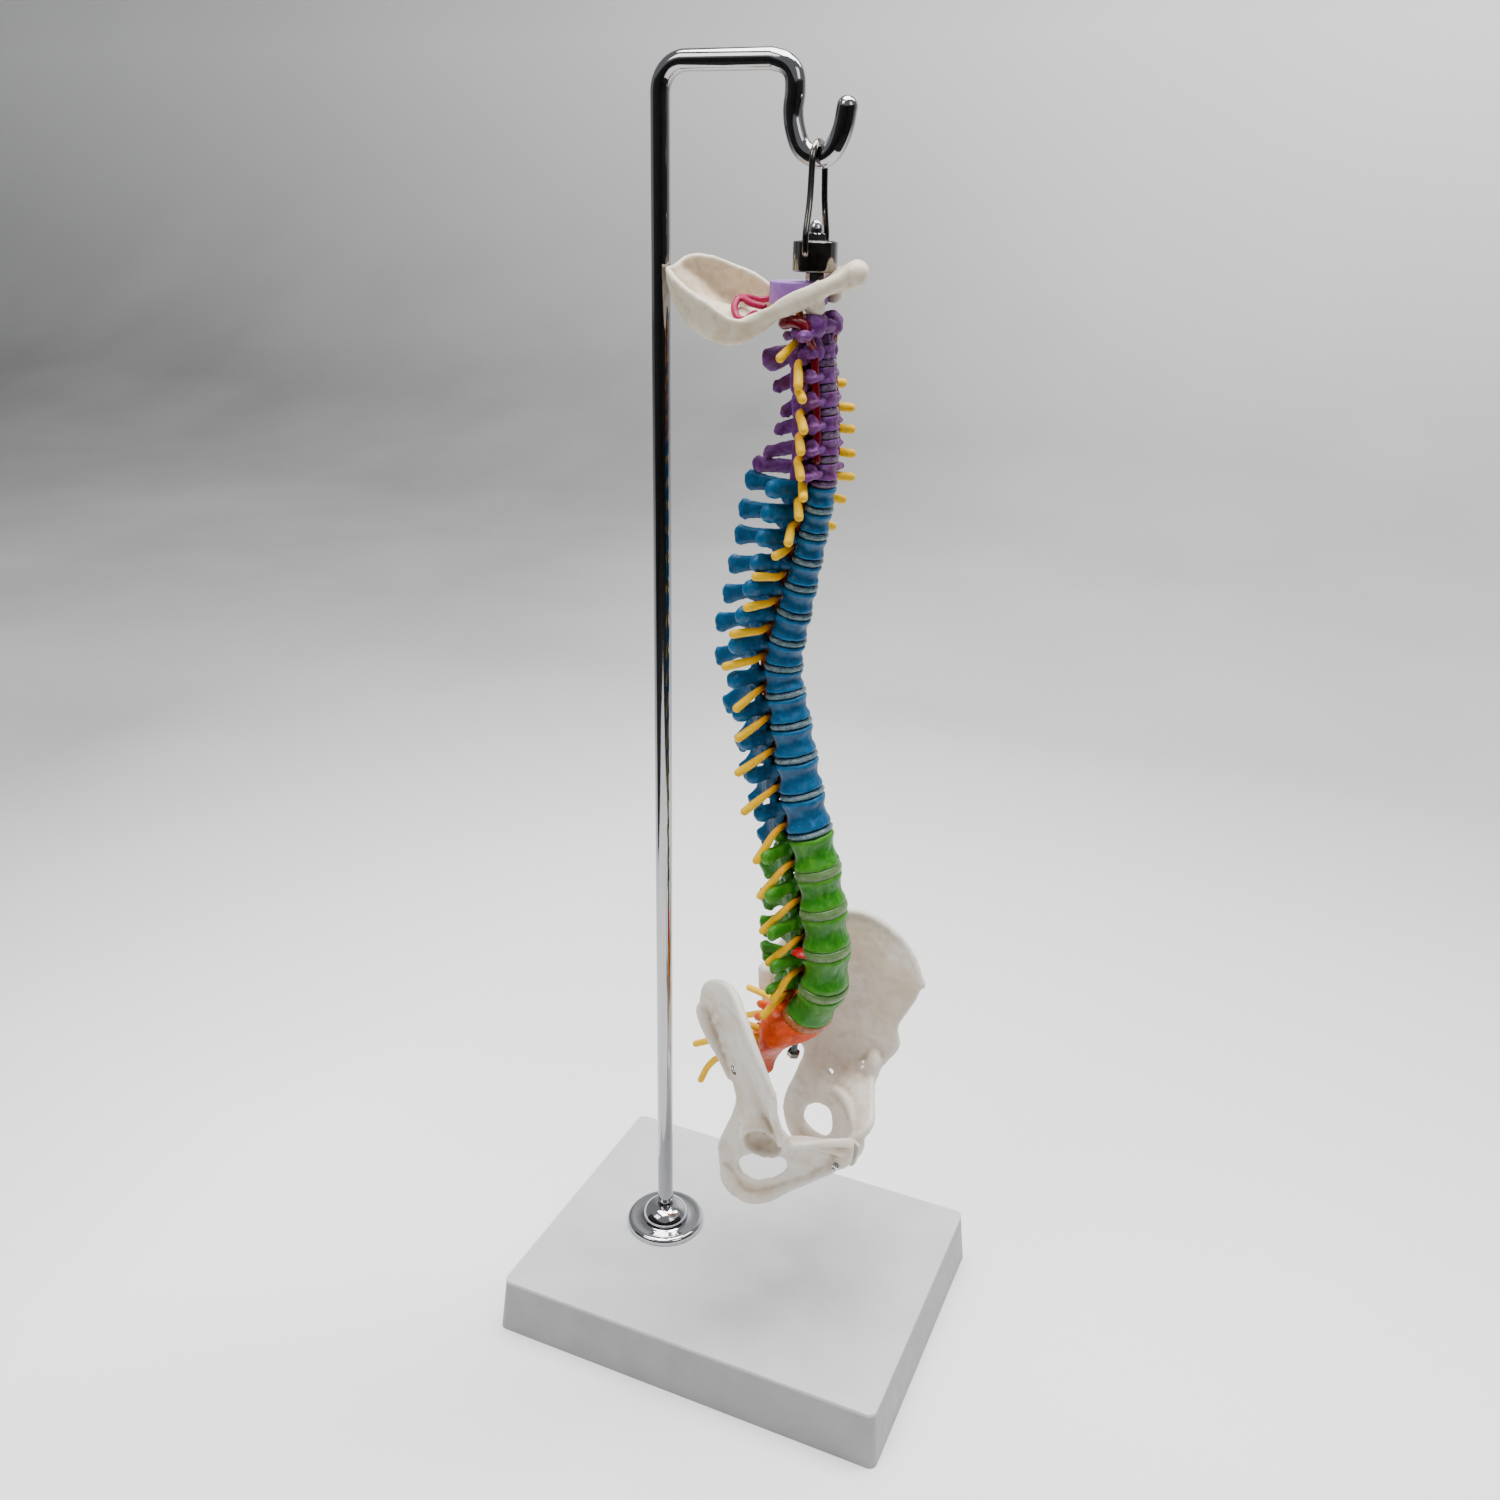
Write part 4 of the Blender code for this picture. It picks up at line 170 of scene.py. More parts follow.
# How much farther ahead and up the left nerves of the neck end
FAR_NERVES = {"c2": (0, 0), "c3": (2 * MM, 2 * MM), "c4": (5 * MM, 4.0 * MM), "c5": (6 * MM, 3.8 * MM),
              "c6": (6 * MM, 4.2 * MM),
              "c7": (4 * MM, 3 * MM), "t1": (2 * MM, 1 * MM)}
NERVE_SLOT = 0.9 * MM
NERVE_NECK = 0.72
DROOPING_NERVES = ("t5", "t6", "t7", "t8", "t9")
ARTERY_RADIUS = 1.6 * MM
ARTERY_NECK = (("c6", 9.9), ("c5", 9.9), ("c4", 9.9), ("c3", 9.9), ("c2", 9.6))
ARTERY_TOP = ((-0.6, 12.8, -4.2), (-1.0, 13.6, -0.8), (-2.0, 13.6, 2.6), (-6.0, 13.0, 4.6),
              (-10.4, 11.0, 4.4), (-12.4, 7.6, 4.6))
HERNIA_PLACE = (-6.5 * MM, -10.5 * MM, 0)
HERNIA_SIZE = (5.0 * MM, 4.2 * MM, 1.9 * MM)
CORD_END = [(-2.4, 0, 181), (-6.4, 0, 174)]
BALANCE_X = 0 * MM
BALANCE_Y = 1.4 * MM

# Forms of the neck, chest and loin: paint and slot; arch wall; the joint pillar's share of the pitch, way out
# and stoutness; the spinous process's tip height, half width, root's share of the height and sinking; half
# breadth of a joint; fineness, relief and grain of the skin; darkness of the painted shade on a disc's rims
REGIONS = {
    "c": dict(paint="cervical_paint", slot="cervical_purple", wall=2.6 * MM, pillar=0.50,
              pillar_out=2.6 * MM, stout=1.6,
              tip=3.0 * MM, wide=1.7 * MM, full=0.46, sink=0, broad=1.6 * MM, voxel=0.5 * MM, relief=0.8 * MM,
              grain=2.6 * MM, rim=0.8),
    "t": dict(paint="thoracic_paint", slot="thoracic_blue", wall=3.2 * MM, pillar=0.46, pillar_out=0.9 * MM,
              stout=1.25,
              tip=4.7 * MM, wide=2.0 * MM, full=0.66, sink=0.16, broad=1.5 * MM, voxel=0.58 * MM,
              relief=0.6 * MM,
              grain=3.0 * MM, rim=0.75),
    "l": dict(paint="lumbar_paint", slot="lumbar_green", wall=3.2 * MM, pillar=0.44, pillar_out=1.3 * MM,
              stout=1.3,
              tip=6.4 * MM, wide=2.3 * MM, full=0.58, sink=0.12, broad=2.1 * MM, voxel=0.66 * MM,
              relief=0.7 * MM,
              grain=3.6 * MM, rim=0.22),
}
# Body: share of the height and of the size
BODY_PROFILE = [(0.0, 0.90), (0.03, 0.975), (0.09, 1.0), (0.16, 0.985), (0.26, 0.92), (0.38, 0.87),
                (0.5, 0.855),
                (0.62, 0.87), (0.74, 0.92), (0.84, 0.985), (0.91, 1.0), (0.97, 0.975), (1.0, 0.90)]
# Arch: angle in degrees, way ahead in millimetres, lower and upper edge as shares of the height
ARCH = [(34, 2.4, 0.02, 0.42), (78, 0, -0.04, 0.42), (125, 0, -0.40, 0.38), (180, 0, -0.50, 0.26),
        (235, 0, -0.40, 0.38), (282, 0, -0.04, 0.42), (326, 2.4, 0.02, 0.42)]
# Knobs on the spinous tip: way ahead in millimetres, share of the tip height, half sizes
SPINE_KNOBS = {"c": [], "t": [(0.9, 0.45, (2.0, 2.3, 1.7)), (1.2, -0.5, (2.2, 2.2, 1.8))],
               "l": [(1.2, -0.45, (2.2, 2.7, 2.3))]}
# Transverse process: share of the way out, half width and half height in millimetres, then the squareness
WINGS = {
    "c": ([(0, 2.8, 1.6), (0.6, 3.4, 1.5), (1, 2.4, 1.6)], 2.4),
    "t": ([(0, 3.0, 3.9), (0.5, 2.7, 3.4), (0.85, 3.2, 4.2), (1, 3.0, 3.9)], 2.3),
    "l": ([(0, 2.6, 3.6), (0.5, 2.1, 3.1), (0.85, 2.3, 3.6), (1, 2.1, 3.3)], 2.3),
}
# Upper half of a disc: share of the half thickness and of the size
DISC_PROFILES = {
    "c": [(1.0, 0.93), (0.78, 0.94), (0.5, 0.97), (0.25, 0.995), (0, 1.0)],
    "t": [(1.0, 0.95), (0.78, 0.96), (0.5, 0.995), (0.25, 1.02), (0, 1.03)],
    "l": [(1.65, 0.985), (1.35, 1.0), (0.9, 1.025), (0.45, 1.04), (0, 1.045)],
}
# Atlas, in millimetres: lumps in the middle, lumps and bars of the left side
ATLAS_MIDDLE = [(-15.0, -0.2, (1.8, 2.6, 2.2)), (6.6, 0.2, (2.2, 3.0, 3.2))]
ATLAS_LUMPS = [(0.8, 9.2, 1.6, (5.0, 4.0, 5.0)), (-5.5, 10.5, 0.4, (3.4, 3.0, 3.0)),
               (-1.4, 16.4, -1.6, (3.4, 2.0, 2.5))]
ATLAS_BARS = [([(0.8, 9, 2, 1.6, 2.0), (5, 5.5, 1.4, 1.6, 2.0), (6.3, 0, 0, 1.5, 2.0)], UP, 14, 2.0),
              ([(0.6, 7.6, -1.5, 2.5, 3.0), (-0.4, 7.6, 3.0, 2.6, 3.3)], FORWARD, 16, 2.0),
              ([(-0.4, 7.5, -0.6, 2.8, 1.7), (-1, 13, -1, 3.1, 1.5), (-1.2, 16.6, -1.4, 2.1, 1.7),
                (-1.2, 17.9, -1.5, 1.3, 1.2)], UP, 16, 2.4)]

# Pelvis, in a frame turned with the end of the column: forward, left and up, from the hang axis
CREST_RADIUS = 2.3 * MM
CREST = [(-35, 24, 178), (-27, 31, 197), (-12, 41, 211), (3, 48, 216.5), (16, 55, 211), (28, 60, 199),
         (37.5, 60, 183)]
UPPER_BLADE = [(-33, 21.5, 168), (-24, 25, 180), (-11, 33, 191), (3, 40, 195), (16, 47, 192), (27, 52, 184),
               (36, 57, 175)]
LOWER_BLADE = [(-24, 21, 156), (-17, 24, 162), (-6, 30, 168), (6, 36, 170), (17, 42, 169), (26, 46, 166),
               (31, 50, 161)]
HIP_WAIST = [(-10, 26, 144), (-3, 28.5, 148), (6, 32.5, 151), (15, 37, 152), (23, 41, 152), (30, 45, 152),
             (34, 48, 151)]
SOCKET_ROW = [(-13, 26, 128), (-4, 28, 131), (4, 31, 133), (12, 34, 134), (19, 35.5, 135), (25, 36, 136),
              (29, 36, 137)]
RAMUS_ROW = [(-20, 27, 110), (-11, 27.5, 114), (0, 27, 118), (11, 24.5, 121), (21, 20.5, 125), (33, 16, 130),
             (45, 11, 133)]
RING_ROW = [(-20, 26, 97), (-9, 26, 96), (0, 25, 98), (11, 21, 103), (22, 15.5, 109), (33, 8, 118),
            (43, 2.4, 125)]
SEAT_ROW = [(-15, 27, 87), (-5, 26.5, 81), (5, 23.5, 84), (14, 18.5, 91), (23, 12, 98), (32, 6, 105),
            (40, 2.4, 112)]
HIP_ROWS = [CREST, UPPER_BLADE, LOWER_BLADE, HIP_WAIST, SOCKET_ROW, RAMUS_ROW, RING_ROW, SEAT_ROW]
HIP_REAR = [(-33, 24, 180, 4.6, 5.2), (-30.5, 22.5, 170, 4.2, 5.2), (-24, 21.5, 158, 3.2, 4.0),
            (-16, 23.5, 149, 2.4, 3.0)]
FORAMEN_CENTRE = (4.5, 24, 106)
FORAMEN_HALF_LENGTH = 14.5 * MM
FORAMEN_HALF_HEIGHT = 8.4 * MM
SOCKET_CENTRE = (16.5, 36, 141)
SOCKET_FACING = (0.35, 0.88, -0.3)
SOCKET_RADIUS = 10 * MM
SOCKET_WALL = 2.6 * MM
SOCKET_FLARE = ((2.0, 0.12), (2.1, 0.7), (3.0, 0.95), (5.5, 0.98))
SOCKET_HOLE_CENTRE = (5, 31.5, 132)
SOCKET_HOLE_WIDTH = 3.4 * MM
# Rims of the hip's ring in millimetres: place and radius
HIP_RAMI = [[(6, 28, 124, 1.6), (16, 24.5, 127, 2.6), (26, 18.5, 128, 3.0), (35, 11.5, 126, 3.2),
             (40, 7, 124, 3.4)],
            [(-13, 27, 92, 3.8), (-4, 26, 85.5, 4.2), (6, 23, 88, 3.8), (15, 18.5, 95, 3.0),
             (24, 12.5, 102, 2.8), (33, 6.5, 109, 3.0)]]
# Raised lines of the blade: shares of the way along and down
HIP_LINES = [[(0.12, 0.16), (0.35, 0.12), (0.62, 0.16), (0.80, 0.26)],
             [(0.10, 0.28), (0.28, 0.30), (0.5, 0.36)]]
SYMPHYSIS_SCREW_PLACE = (37.5, 0, 113.5)
SYMPHYSIS_SCREW_ENDS = (8.0 * MM, -8.6 * MM)
SACRAL_SCREW_PLACE = (-12, 25.4, 156)
SCREW_LENGTH = 19 * MM
SYMPHYSIS_CENTRE = (40.2, 0, 118.5)
SYMPHYSIS_THICKNESS = 1.8 * MM
SYMPHYSIS_LEAN = math.radians(13)
PUBIC_BODY_CENTRE = (39.5, 4.6, 119)
SCREW_RADIUS = 1.1 * MM
SCREW_HEAD_RADIUS = 2.0 * MM
SCREW_HEAD_HEIGHT = 1.4 * MM
SCREW_CLEARANCE = 0.35 * MM
SCREW_PITCH = 0.9 * MM
SCREW_SLOT = (1.3 * MM, 0.27 * MM)
# Sacrum in millimetres, downwards: forward, height, half width, and depth in front and behind
SACRUM = [(8.0, 179.0, 17.5, 9.4, 17.5), (1.5, 171.0, 18.0, 6.6, 16.5), (-5.0, 162.5, 15.0, 4.8, 9.0),
          (-9.5, 154.5, 11.0, 3.6, 6.5), (-12.0, 147.5, 6.5, 2.8, 4.0), (-11.5, 140.5, 2.6, 1.6, 2.0)]
# Its crest in millimetres: forward, height, reach and half height; then the lumps beside it
SACRAL_CREST = [(-6, 178, 13, 2.8), (-10.5, 170, 10, 2.8), (-13.5, 161.5, 7, 2.2)]
SACRAL_LUMPS = [(-12, 9, 172), (-15, 7.5, 164.5), (-16.5, 6, 157.5)]
SACRAL_NERVES = {
    "s1": [(-8.5, 10, 172), (-14, 11.5, 172.6), (-24, 13.5, 173), (-38, 16, 171)],
    "s2": [(-9.5, 9, 166.5), (-15, 10.8, 166), (-24, 13, 163.5), (-46, 16, 150)],
    "s3": [(-10, 8, 161.5), (-15.5, 10, 160.5), (-31, 14.5, 148.5), (-38, 15.5, 140), (-42.5, 16, 130)],
}
SACRAL_NERVE_RADIUS = 1.7 * MM

# Skull base
BLOCK_RADIUS = 11.6 * MM
BLOCK_BACK = 7 * MM
BLOCK_TOP_Z = 515.5 * MM
BLOCK_BOTTOM_Z = 507 * MM
BLOCK_PLACE = (HANG_X + BALANCE_X - BLOCK_BACK, BALANCE_Y, 0)
STUD_RADIUS = 2 * MM
STUD_CLEARANCE = 0.4 * MM
STUD_PITCH = 0.65 * MM
LOCK_NUT_RADIUS = 3.6 * MM
CUP_FLOOR = 1.5 * MM
HANGER_WASHER_THICKNESS = 0.9 * MM
NUT_BASE_Z = CUP_BOTTOM_Z + CUP_FLOOR + SEAT_GAP + HANGER_WASHER_THICKNESS + SEAT_GAP
DOME_NUT_WIDTH = 6.4 * MM
DOME_NUT_HEIGHT = 11 * MM
DOME_RADIUS = 2.8 * MM
OCCIPUT_WALL = 2.2 * MM
OCCIPUT_ROLL = math.radians(12)
SKULL_PIVOT_Z = 510 * MM
CONDYLE = (3.5 * MM, 9.5 * MM, 508.8 * MM)
# Scoop in millimetres, back to front: forward, half width, and heights of the edge, side hollows and middle
OCCIPUT = [(-60.5, 3.5, 519.5, 519, 519), (-59.3, 8, 520.4, 516.5, 516.5), (-57.5, 11.5, 520.4, 513.5, 513.5),
           (-52, 17, 518.5, 506, 507.5), (-45, 20.5, 515, 500, 504.5),
           (-36, 22.5, 511, 496.5, 503.5), (-27, 22.5, 505.5, 496, 502.5), (-19, 19.5, 505, 499, 501.5),
           (-12, 17, 509, 504.5, 505),
           (-6, 15.5, 513, 508, 508), (0, 13.5, 515.5, 510.5, 510.5), (6, 10, 518, 513, 513)]
# Clivus in millimetres: forward, height, half width and half height
CLIVUS = [(2, 513.0, 7.5, 2.8), (10, 516.4, 6.0, 4.2), (15, 518.6, 5.7, 4.7), (17.2, 519.4, 6.2, 5.1)]
OCCIPUT_SHOULDER = [(-22, 19.0, 504.5, 1.5, 2.0), (-12, 17.3, 507.5, 2.0, 3.0), (-4, 15.6, 510.5, 2.4, 3.6),
                    (3, 12.2, 513.5, 2.6, 3.6), (9, 8, 516.5, 2.8, 3.4), (16, 3, 519.3, 2.6, 3.4)]
OCCIPUT_CREST = [(-57, 0, 514.5, 1.2, 1.0), (-48, 0, 504.2, 1.4, 1.2), (-30, 0, 501.6, 1.0, 0.9)]
# Band: forward in millimetres, share of the way across, lift in millimetres
BAND_ROUTES = [[(-33.5, 0.10, 2.0), (-27, -0.05, 1.5), (-20.8, -0.10, 2.0)],
               [(-33.5, 0, 1.5), (-33.2, 0.22, 3.0), (-30, 0.42, 4.5), (-25, 0.50, 5.0), (-20.5, 0.50, 5.0)],
               [(-33.5, 0, 1.5), (-33.0, -0.14, 1.0), (-30, -0.26, 1.0), (-26, -0.32, 2.0),
                (-21.5, -0.34, 4.0)]]
BAND_WIDTH = 2.2 * MM
BAND_CLEARANCE = 0.9 * MM
BAND_HEIGHT = 1.8 * MM

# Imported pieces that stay: name, material and width of the rounded edges in millimetres
SMALL_PARTS = (("hanger_washer", "nickel_plate", 0.15), ("rod_washer", "chrome_plate", 0.2),
               ("rod_nut", "chrome_plate", 0.35),
               ("core_end_nut", "nickel_plate", 0.25), ("pubic_symphysis", "pad_plastic", 0.45))

# Hand paints: screen colours of the body, of the painted shade in the hollows and of the painted highlight on
# the ridges (these two also tint random blotches), then what differs from the usual
PAINTS = {
    "cervical_paint": ((92, 38, 108), (36, 8, 40), (128, 74, 146), dict(wash=(86, 18, 54), gloss=0.44)),
    "thoracic_paint": ((0, 72, 112), (0, 24, 42), (6, 108, 160), dict(gloss=0.42)),
    "lumbar_paint": ((36, 112, 12), (10, 50, 10), (84, 150, 36), dict(streak=(1, 1, 0.25), gloss=0.38)),
    "sacral_paint": ((212, 68, 12), (120, 24, 4), (240, 116, 44), dict(wash=(178, 46, 12), gloss=0.38)),
    "bone_paint": ((217, 205, 181), (150, 118, 88), (230, 222, 203),
                   dict(wash=(198, 175, 142), gloss=0.42, blotch=9 * MM)),
    "hip_plastic": ((209, 202, 190), (160, 138, 114), (222, 218, 209),
                    dict(wash=(198, 178, 156), gloss=0.40, blotch=18 * MM, relief=0.06 * MM)),
    "artery_paint": ((150, 4, 32), (84, 0, 16), (184, 22, 46), dict(gloss=0.25, blotch=2 * MM)),
    "sinus_paint": ((142, 0, 62), (98, 0, 42), (158, 0, 72), dict(gloss=0.5)),
    "block_paint": ((146, 100, 178), (104, 62, 132), (166, 122, 196),
                    dict(gloss=0.42, blotch=9 * MM, relief=0.03 * MM)),
    "hernia_paint": ((172, 22, 30), (90, 4, 10), (210, 60, 50), dict(gloss=0.25)),
}
# Nerves: place along the nerve and screen colour
NERVE_COLOURS = ((0.16, (188, 78, 2)), (0.32, (222, 150, 0)), (0.6, (236, 186, 0)))
# Disc plastics: three tones, the colour of the painted shade where a disc meets the bone, and share of
# clearness
CLEAR_PLASTICS = (
    ("chest_disc_plastic", ((72, 100, 110), (102, 128, 134), (142, 160, 162)), (10, 46, 68), 0.2),
    ("neck_disc_plastic", ((84, 52, 92), (104, 76, 110), (136, 118, 142)), (48, 20, 52), 0.1),
    ("loin_disc_plastic", ((88, 116, 70), (104, 130, 84), (122, 146, 100)), (50, 92, 28), 0.06),
)
# Soft plastics: blotch size, two tones, roughness range, grain and its depth
SOFT_PLASTICS = (("pad_plastic", 2 * MM, (176, 172, 158), (206, 202, 190), (0.3, 0.45), 1.0 * MM, 0.05 * MM),
                 ("sacral_disc_plastic", 2.5 * MM, (120, 62, 28), (176, 104, 52), (0.2, 0.34), 0.9 * MM,
                  0.08 * MM))
# Platings: tint and roughness range
PLATINGS = (("chrome_plate", (196, 196, 199), 0.035, 0.085), ("bar_plate", (160, 160, 163), 0.05, 0.1),
            ("nickel_plate", (120, 116, 112), 0.10, 0.2))

# Studio, in metres: name, place, aim, width, height and power of each light
LIGHTS = [("key", (-0.8, -1.2, 1.7), (0.0, 0.0, 0.3), 0.8, 0.8, 11),
          ("fill", (1.3, -0.7, 1.3), (0, 0, 0.3), 0.7, 0.8, 5),
          ("top", (-0.1, 0.1, 2.0), (0.0, 0.0, 0), 1.3, 1.3, 86),
          ("wall", (0.9, 0.9, 2.3), (-0.6, 2.6, 0.8), 1.2, 1.0, 74)]
WORLD_COLOUR = (0.90, 0.92, 0.95, 1)
WORLD_STRENGTH = 0.33
# Black screen: corners on the floor, how much farther out it stands, its foot's lift and its height
SCREEN = [(-0.50, -0.20), (-0.36, -0.45), (-0.05, -0.85), (0.45, -0.95), (0.52, -0.45), (0.62, 0.18)]
SCREEN_DISTANCE = 2.2
SCREEN_LIFT = 0.002
SCREEN_HEIGHT = 0.85

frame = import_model()


# Shapes


def mm(*values):
    """Millimetres as metres."""
    return tuple(value * MM for value in values)


def at(frame, x, y, z):
    """A point given in a frame, in metres."""
    return tuple(frame @ Vector((x, y, z)))


def sided(spot, side):
    """A spot of the left side, or its mirror image."""
    return spot[0], side * spot[1], spot[2]


def lerp(a, b, t):
    """A point between two, at a share of the way."""
    return tuple(p + (q - p) * t for p, q in zip(a, b))


def rows_mm(rows, side=1):
    """Stations of a limb from rows of x, y, z, half width and half height in millimetres."""
    return [(mm(x, side * y, z), width * MM, height * MM) for x, y, z, width, height in rows]


def arc(centre, radii, start, end, steps):
    """Points of an arc between two angles in degrees."""
    return [(centre[0] + radii[0] * math.cos(a), centre[1] + radii[1] * math.sin(a))
            for a in np.radians(np.linspace(start, end, steps + 1))]


def placed(name, data):
    """A new object of the scene."""
    obj = bpy.data.objects.new(name, data)
    bpy.context.scene.collection.objects.link(obj)
    return obj


def soften(obj, degrees):
    """Smooth shading, with the edges kept that are sharper than an angle."""
    obj.data.shade_smooth()
    obj.data.set_sharp_from_angle(angle=math.radians(degrees))
    return obj


def store(mesh, name, values):
    """Store a number for each point, for the paint to read, in place of an older one."""
    if name in mesh.attributes:
        mesh.attributes.remove(mesh.attributes[name])
    attribute = mesh.attributes.new(name, "FLOAT", "POINT")
    attribute.data.foreach_set("value", np.array(values, np.float32))


class Clay:
    """Closed forms pushed together, to be melted into one smooth piece."""

    def __init__(self):
        self.points = []
        self.faces = []
        self.count = 0

    def add_rings(self, rings, closed=False):
        """A tube through rings of points; its ends are fans unless it closes on itself."""
        rings = np.asarray(rings, float)
        number, sides = rings.shape[:2]
        first = self.count
        self.points.append(rings.reshape(-1, 3))
        self.count += number * sides
        around = np.arange(sides)
        after = (around + 1) % sides
        rows = range(number if closed else number - 1)
        for row in rows:
            low = first + row * sides
            high = first + ((row + 1) % number) * sides
            self.faces.extend(zip((low + around).tolist(), (low + after).tolist(), (high + after).tolist(),
                                  (high + around).tolist()))
        if closed:
            return
        for row, turn in ((0, -1), (number - 1, 1)):
            self.points.append(rings[row].mean(0)[None])
            ring = (first + row * sides + around)[::turn]
            self.faces.extend((int(a), int(b), self.count) for a, b in zip(ring, np.roll(ring, -1)))
            self.count += 1

    def limb(self, stations, up=UP, sides=14, steps=4, power=2.0):
        """A bar with rounded ends through stations of centre, half width and half height."""
        rings = limb_rings(stations, up, sides, steps, power)
        self.add_rings(rings)
        return rings

    def ball(self, centre, size, turn=None, sides=16):
        """An ellipsoid."""
        rings = []
        turn = np.eye(3) if turn is None else np.array(turn)
        for i in range(1, sides // 2):
            polar = math.pi * i / (sides // 2)
            ring = [(size[0] * math.sin(polar) * math.cos(a), size[1] * math.sin(polar) * math.sin(a),
                     -size[2] * math.cos(polar))
                    for a in np.linspace(0, 2 * math.pi, sides, endpoint=False)]
            rings.append(np.array(ring) @ turn.T + np.array(centre))
        self.add_rings(rings)

    def place(self, matrix, start=0):
        """Move all points from a start index on by a matrix."""
        points = np.concatenate(self.points)
        m = np.array(matrix)
        points[start:] = points[start:] @ m[:3, :3].T + m[:3, 3]
        self.points = [points]

    def object(self, name):
        mesh = bpy.data.meshes.new(name)
        mesh.from_pydata(np.concatenate(self.points).tolist(), [], self.faces)
        mesh.update()
        return placed(name, mesh)


def spread(values, steps):
    """Rows of numbers read from a smooth curve through the given rows."""
    values = np.asarray(values, float)
    if steps < 2 or len(values) < 3:
        if len(values) == 2 and steps > 1:
            share = np.linspace(0, 1, steps + 1)[:, None]
            return values[0] * (1 - share) + values[1] * share
        return values
    padded = np.vstack([2 * values[0] - values[1], values, 2 * values[-1] - values[-2]])
    out = []
    for i in range(len(values) - 1):
        before, a, b, after = padded[i:i + 4]
        for t in np.arange(steps) / steps:
            out.append(0.5 * (2 * a + (b - before) * t + (2 * before - 5 * a + 4 * b - after) * t ** 2
                              + (3 * a - before - 3 * b + after) * t ** 3))
    out.append(values[-1])
    return np.array(out)


def unit(vectors):
    return vectors / np.maximum(np.linalg.norm(vectors, axis=-1, keepdims=True), 1e-12)


def limb_rings(stations, up, sides, steps, power, caps=4):
    """Rings round a smooth path, with rounded ends."""
    data = spread([[*centre, width, height] for centre, width, height in stations], steps)
    centres, widths, heights = data[:, :3], data[:, 3], data[:, 4]
    ahead = unit(np.gradient(centres, axis=0))
    side = unit(np.cross(ahead, np.array(up, float)))
    rise = np.cross(side, ahead)
    angle = np.linspace(0, 2 * math.pi, sides, endpoint=False) + math.pi / sides
    across = np.sign(np.cos(angle)) * np.abs(np.cos(angle)) ** (2 / power)
    along = np.sign(np.sin(angle)) * np.abs(np.sin(angle)) ** (2 / power)

    def ring(i, shift, scale):
        return (centres[i] + ahead[i] * shift + side[i] * widths[i] * scale * across[:, None]
                + rise[i] * heights[i] * scale * along[:, None])

    rings = []
    blunt = min(widths[0], heights[0])
    for k in range(caps, 0, -1):
        theta = math.pi / 2 * k / (caps + 0.4)
        rings.append(ring(0, -blunt * math.sin(theta), math.cos(theta)))
    rings += [ring(i, 0, 1) for i in range(len(centres))]
    blunt = min(widths[-1], heights[-1])
    for k in range(1, caps + 1):
        theta = math.pi / 2 * k / (caps + 0.4)
        rings.append(ring(len(centres) - 1, blunt * math.sin(theta), math.cos(theta)))
    return rings


def freeze(obj):
    """Replace an object's mesh by its evaluated one, modifiers applied."""
    bpy.context.view_layer.update()
    depsgraph = bpy.context.evaluated_depsgraph_get()
    mesh = bpy.data.meshes.new_from_object(obj.evaluated_get(depsgraph), depsgraph=depsgraph)
    obj.modifiers.clear()
    obj.data = mesh
    return obj


CLOUDS = {}


def clouds(scale, depth):
    """A procedural cloud texture for relief, of a feature size in metres."""
    key = (scale, depth)
    if key not in CLOUDS:
        texture = bpy.data.textures.new("relief", "CLOUDS")
        texture.noise_scale = scale
        texture.noise_depth = depth
        CLOUDS[key] = texture
    return CLOUDS[key]


def melt(obj, voxel, smoothing=5, relief=0.25 * MM, grain=3.0 * MM):
    """Melt overlapping forms into one skin, soften it and give it a little carved relief."""
    remesh = obj.modifiers.new("melt", "REMESH")
    remesh.mode = "VOXEL"
    remesh.voxel_size = voxel
    smooth = obj.modifiers.new("soften", "SMOOTH")
    smooth.factor = 0.5
    smooth.iterations = smoothing
    if relief:
        rough = obj.modifiers.new("relief", "DISPLACE")
        rough.texture = clouds(grain, 2)
        rough.texture_coords = "LOCAL"
        rough.strength = relief
        rough.mid_level = 0.5
    freeze(obj)
    obj.data.shade_smooth()
    mark_hollows(obj.data)
    return obj


def mark_hollows(mesh, rounds=3):
    """Store how hollow or proud each point lies, for painted shade in the hollows and painted highlight on
    the ridges.
    """
    count = len(mesh.vertices)

    def read(what):
        values = np.zeros(count * 3)
        mesh.vertices.foreach_get(what, values)
        return values.reshape(-1, 3)

    points, normals = read("co"), read("normal")
    ends = np.zeros(len(mesh.edges) * 2, int)
    mesh.edges.foreach_get("vertices", ends)
    a, b = ends.reshape(-1, 2).T
    degree = np.bincount(a, minlength=count) + np.bincount(b, minlength=count)

    def neighbours(values):
        totals = [np.bincount(a, column[b], count) + np.bincount(b, column[a], count) for column in values.T]
        return np.stack(totals, 1) / np.maximum(degree, 1)[:, None]

    blurred = points
    for _ in range(4):
        blurred = neighbours(blurred)
    hollow = ((blurred - points) * normals).sum(1)[:, None]
    for _ in range(rounds):
        hollow = neighbours(hollow)
    store(mesh, "hollow", np.clip(hollow[:, 0] / (0.25 * MM), -1, 1))



def turned(name, profile, steps=96, place=(0, 0, 0)):
    """A turned piece from a profile of radius and height, closed on the axis or on itself."""
    mesh = bpy.data.meshes.new(name)
    edges = [(i, i + 1) for i in range(len(profile) - 1)]
    if profile[0][0] > 0:
        edges.append((len(profile) - 1, 0))
    mesh.from_pydata([(radius, 0, height) for radius, height in profile], edges, [])
    obj = placed(name, mesh)
    screw = obj.modifiers.new("turn", "SCREW")
    screw.steps = steps
    screw.render_steps = steps
    screw.use_merge_vertices = True
    screw.merge_threshold = 1e-6
    freeze(obj)
    obj.data.transform(Matrix.Translation(place))
    return soften(obj, 38)


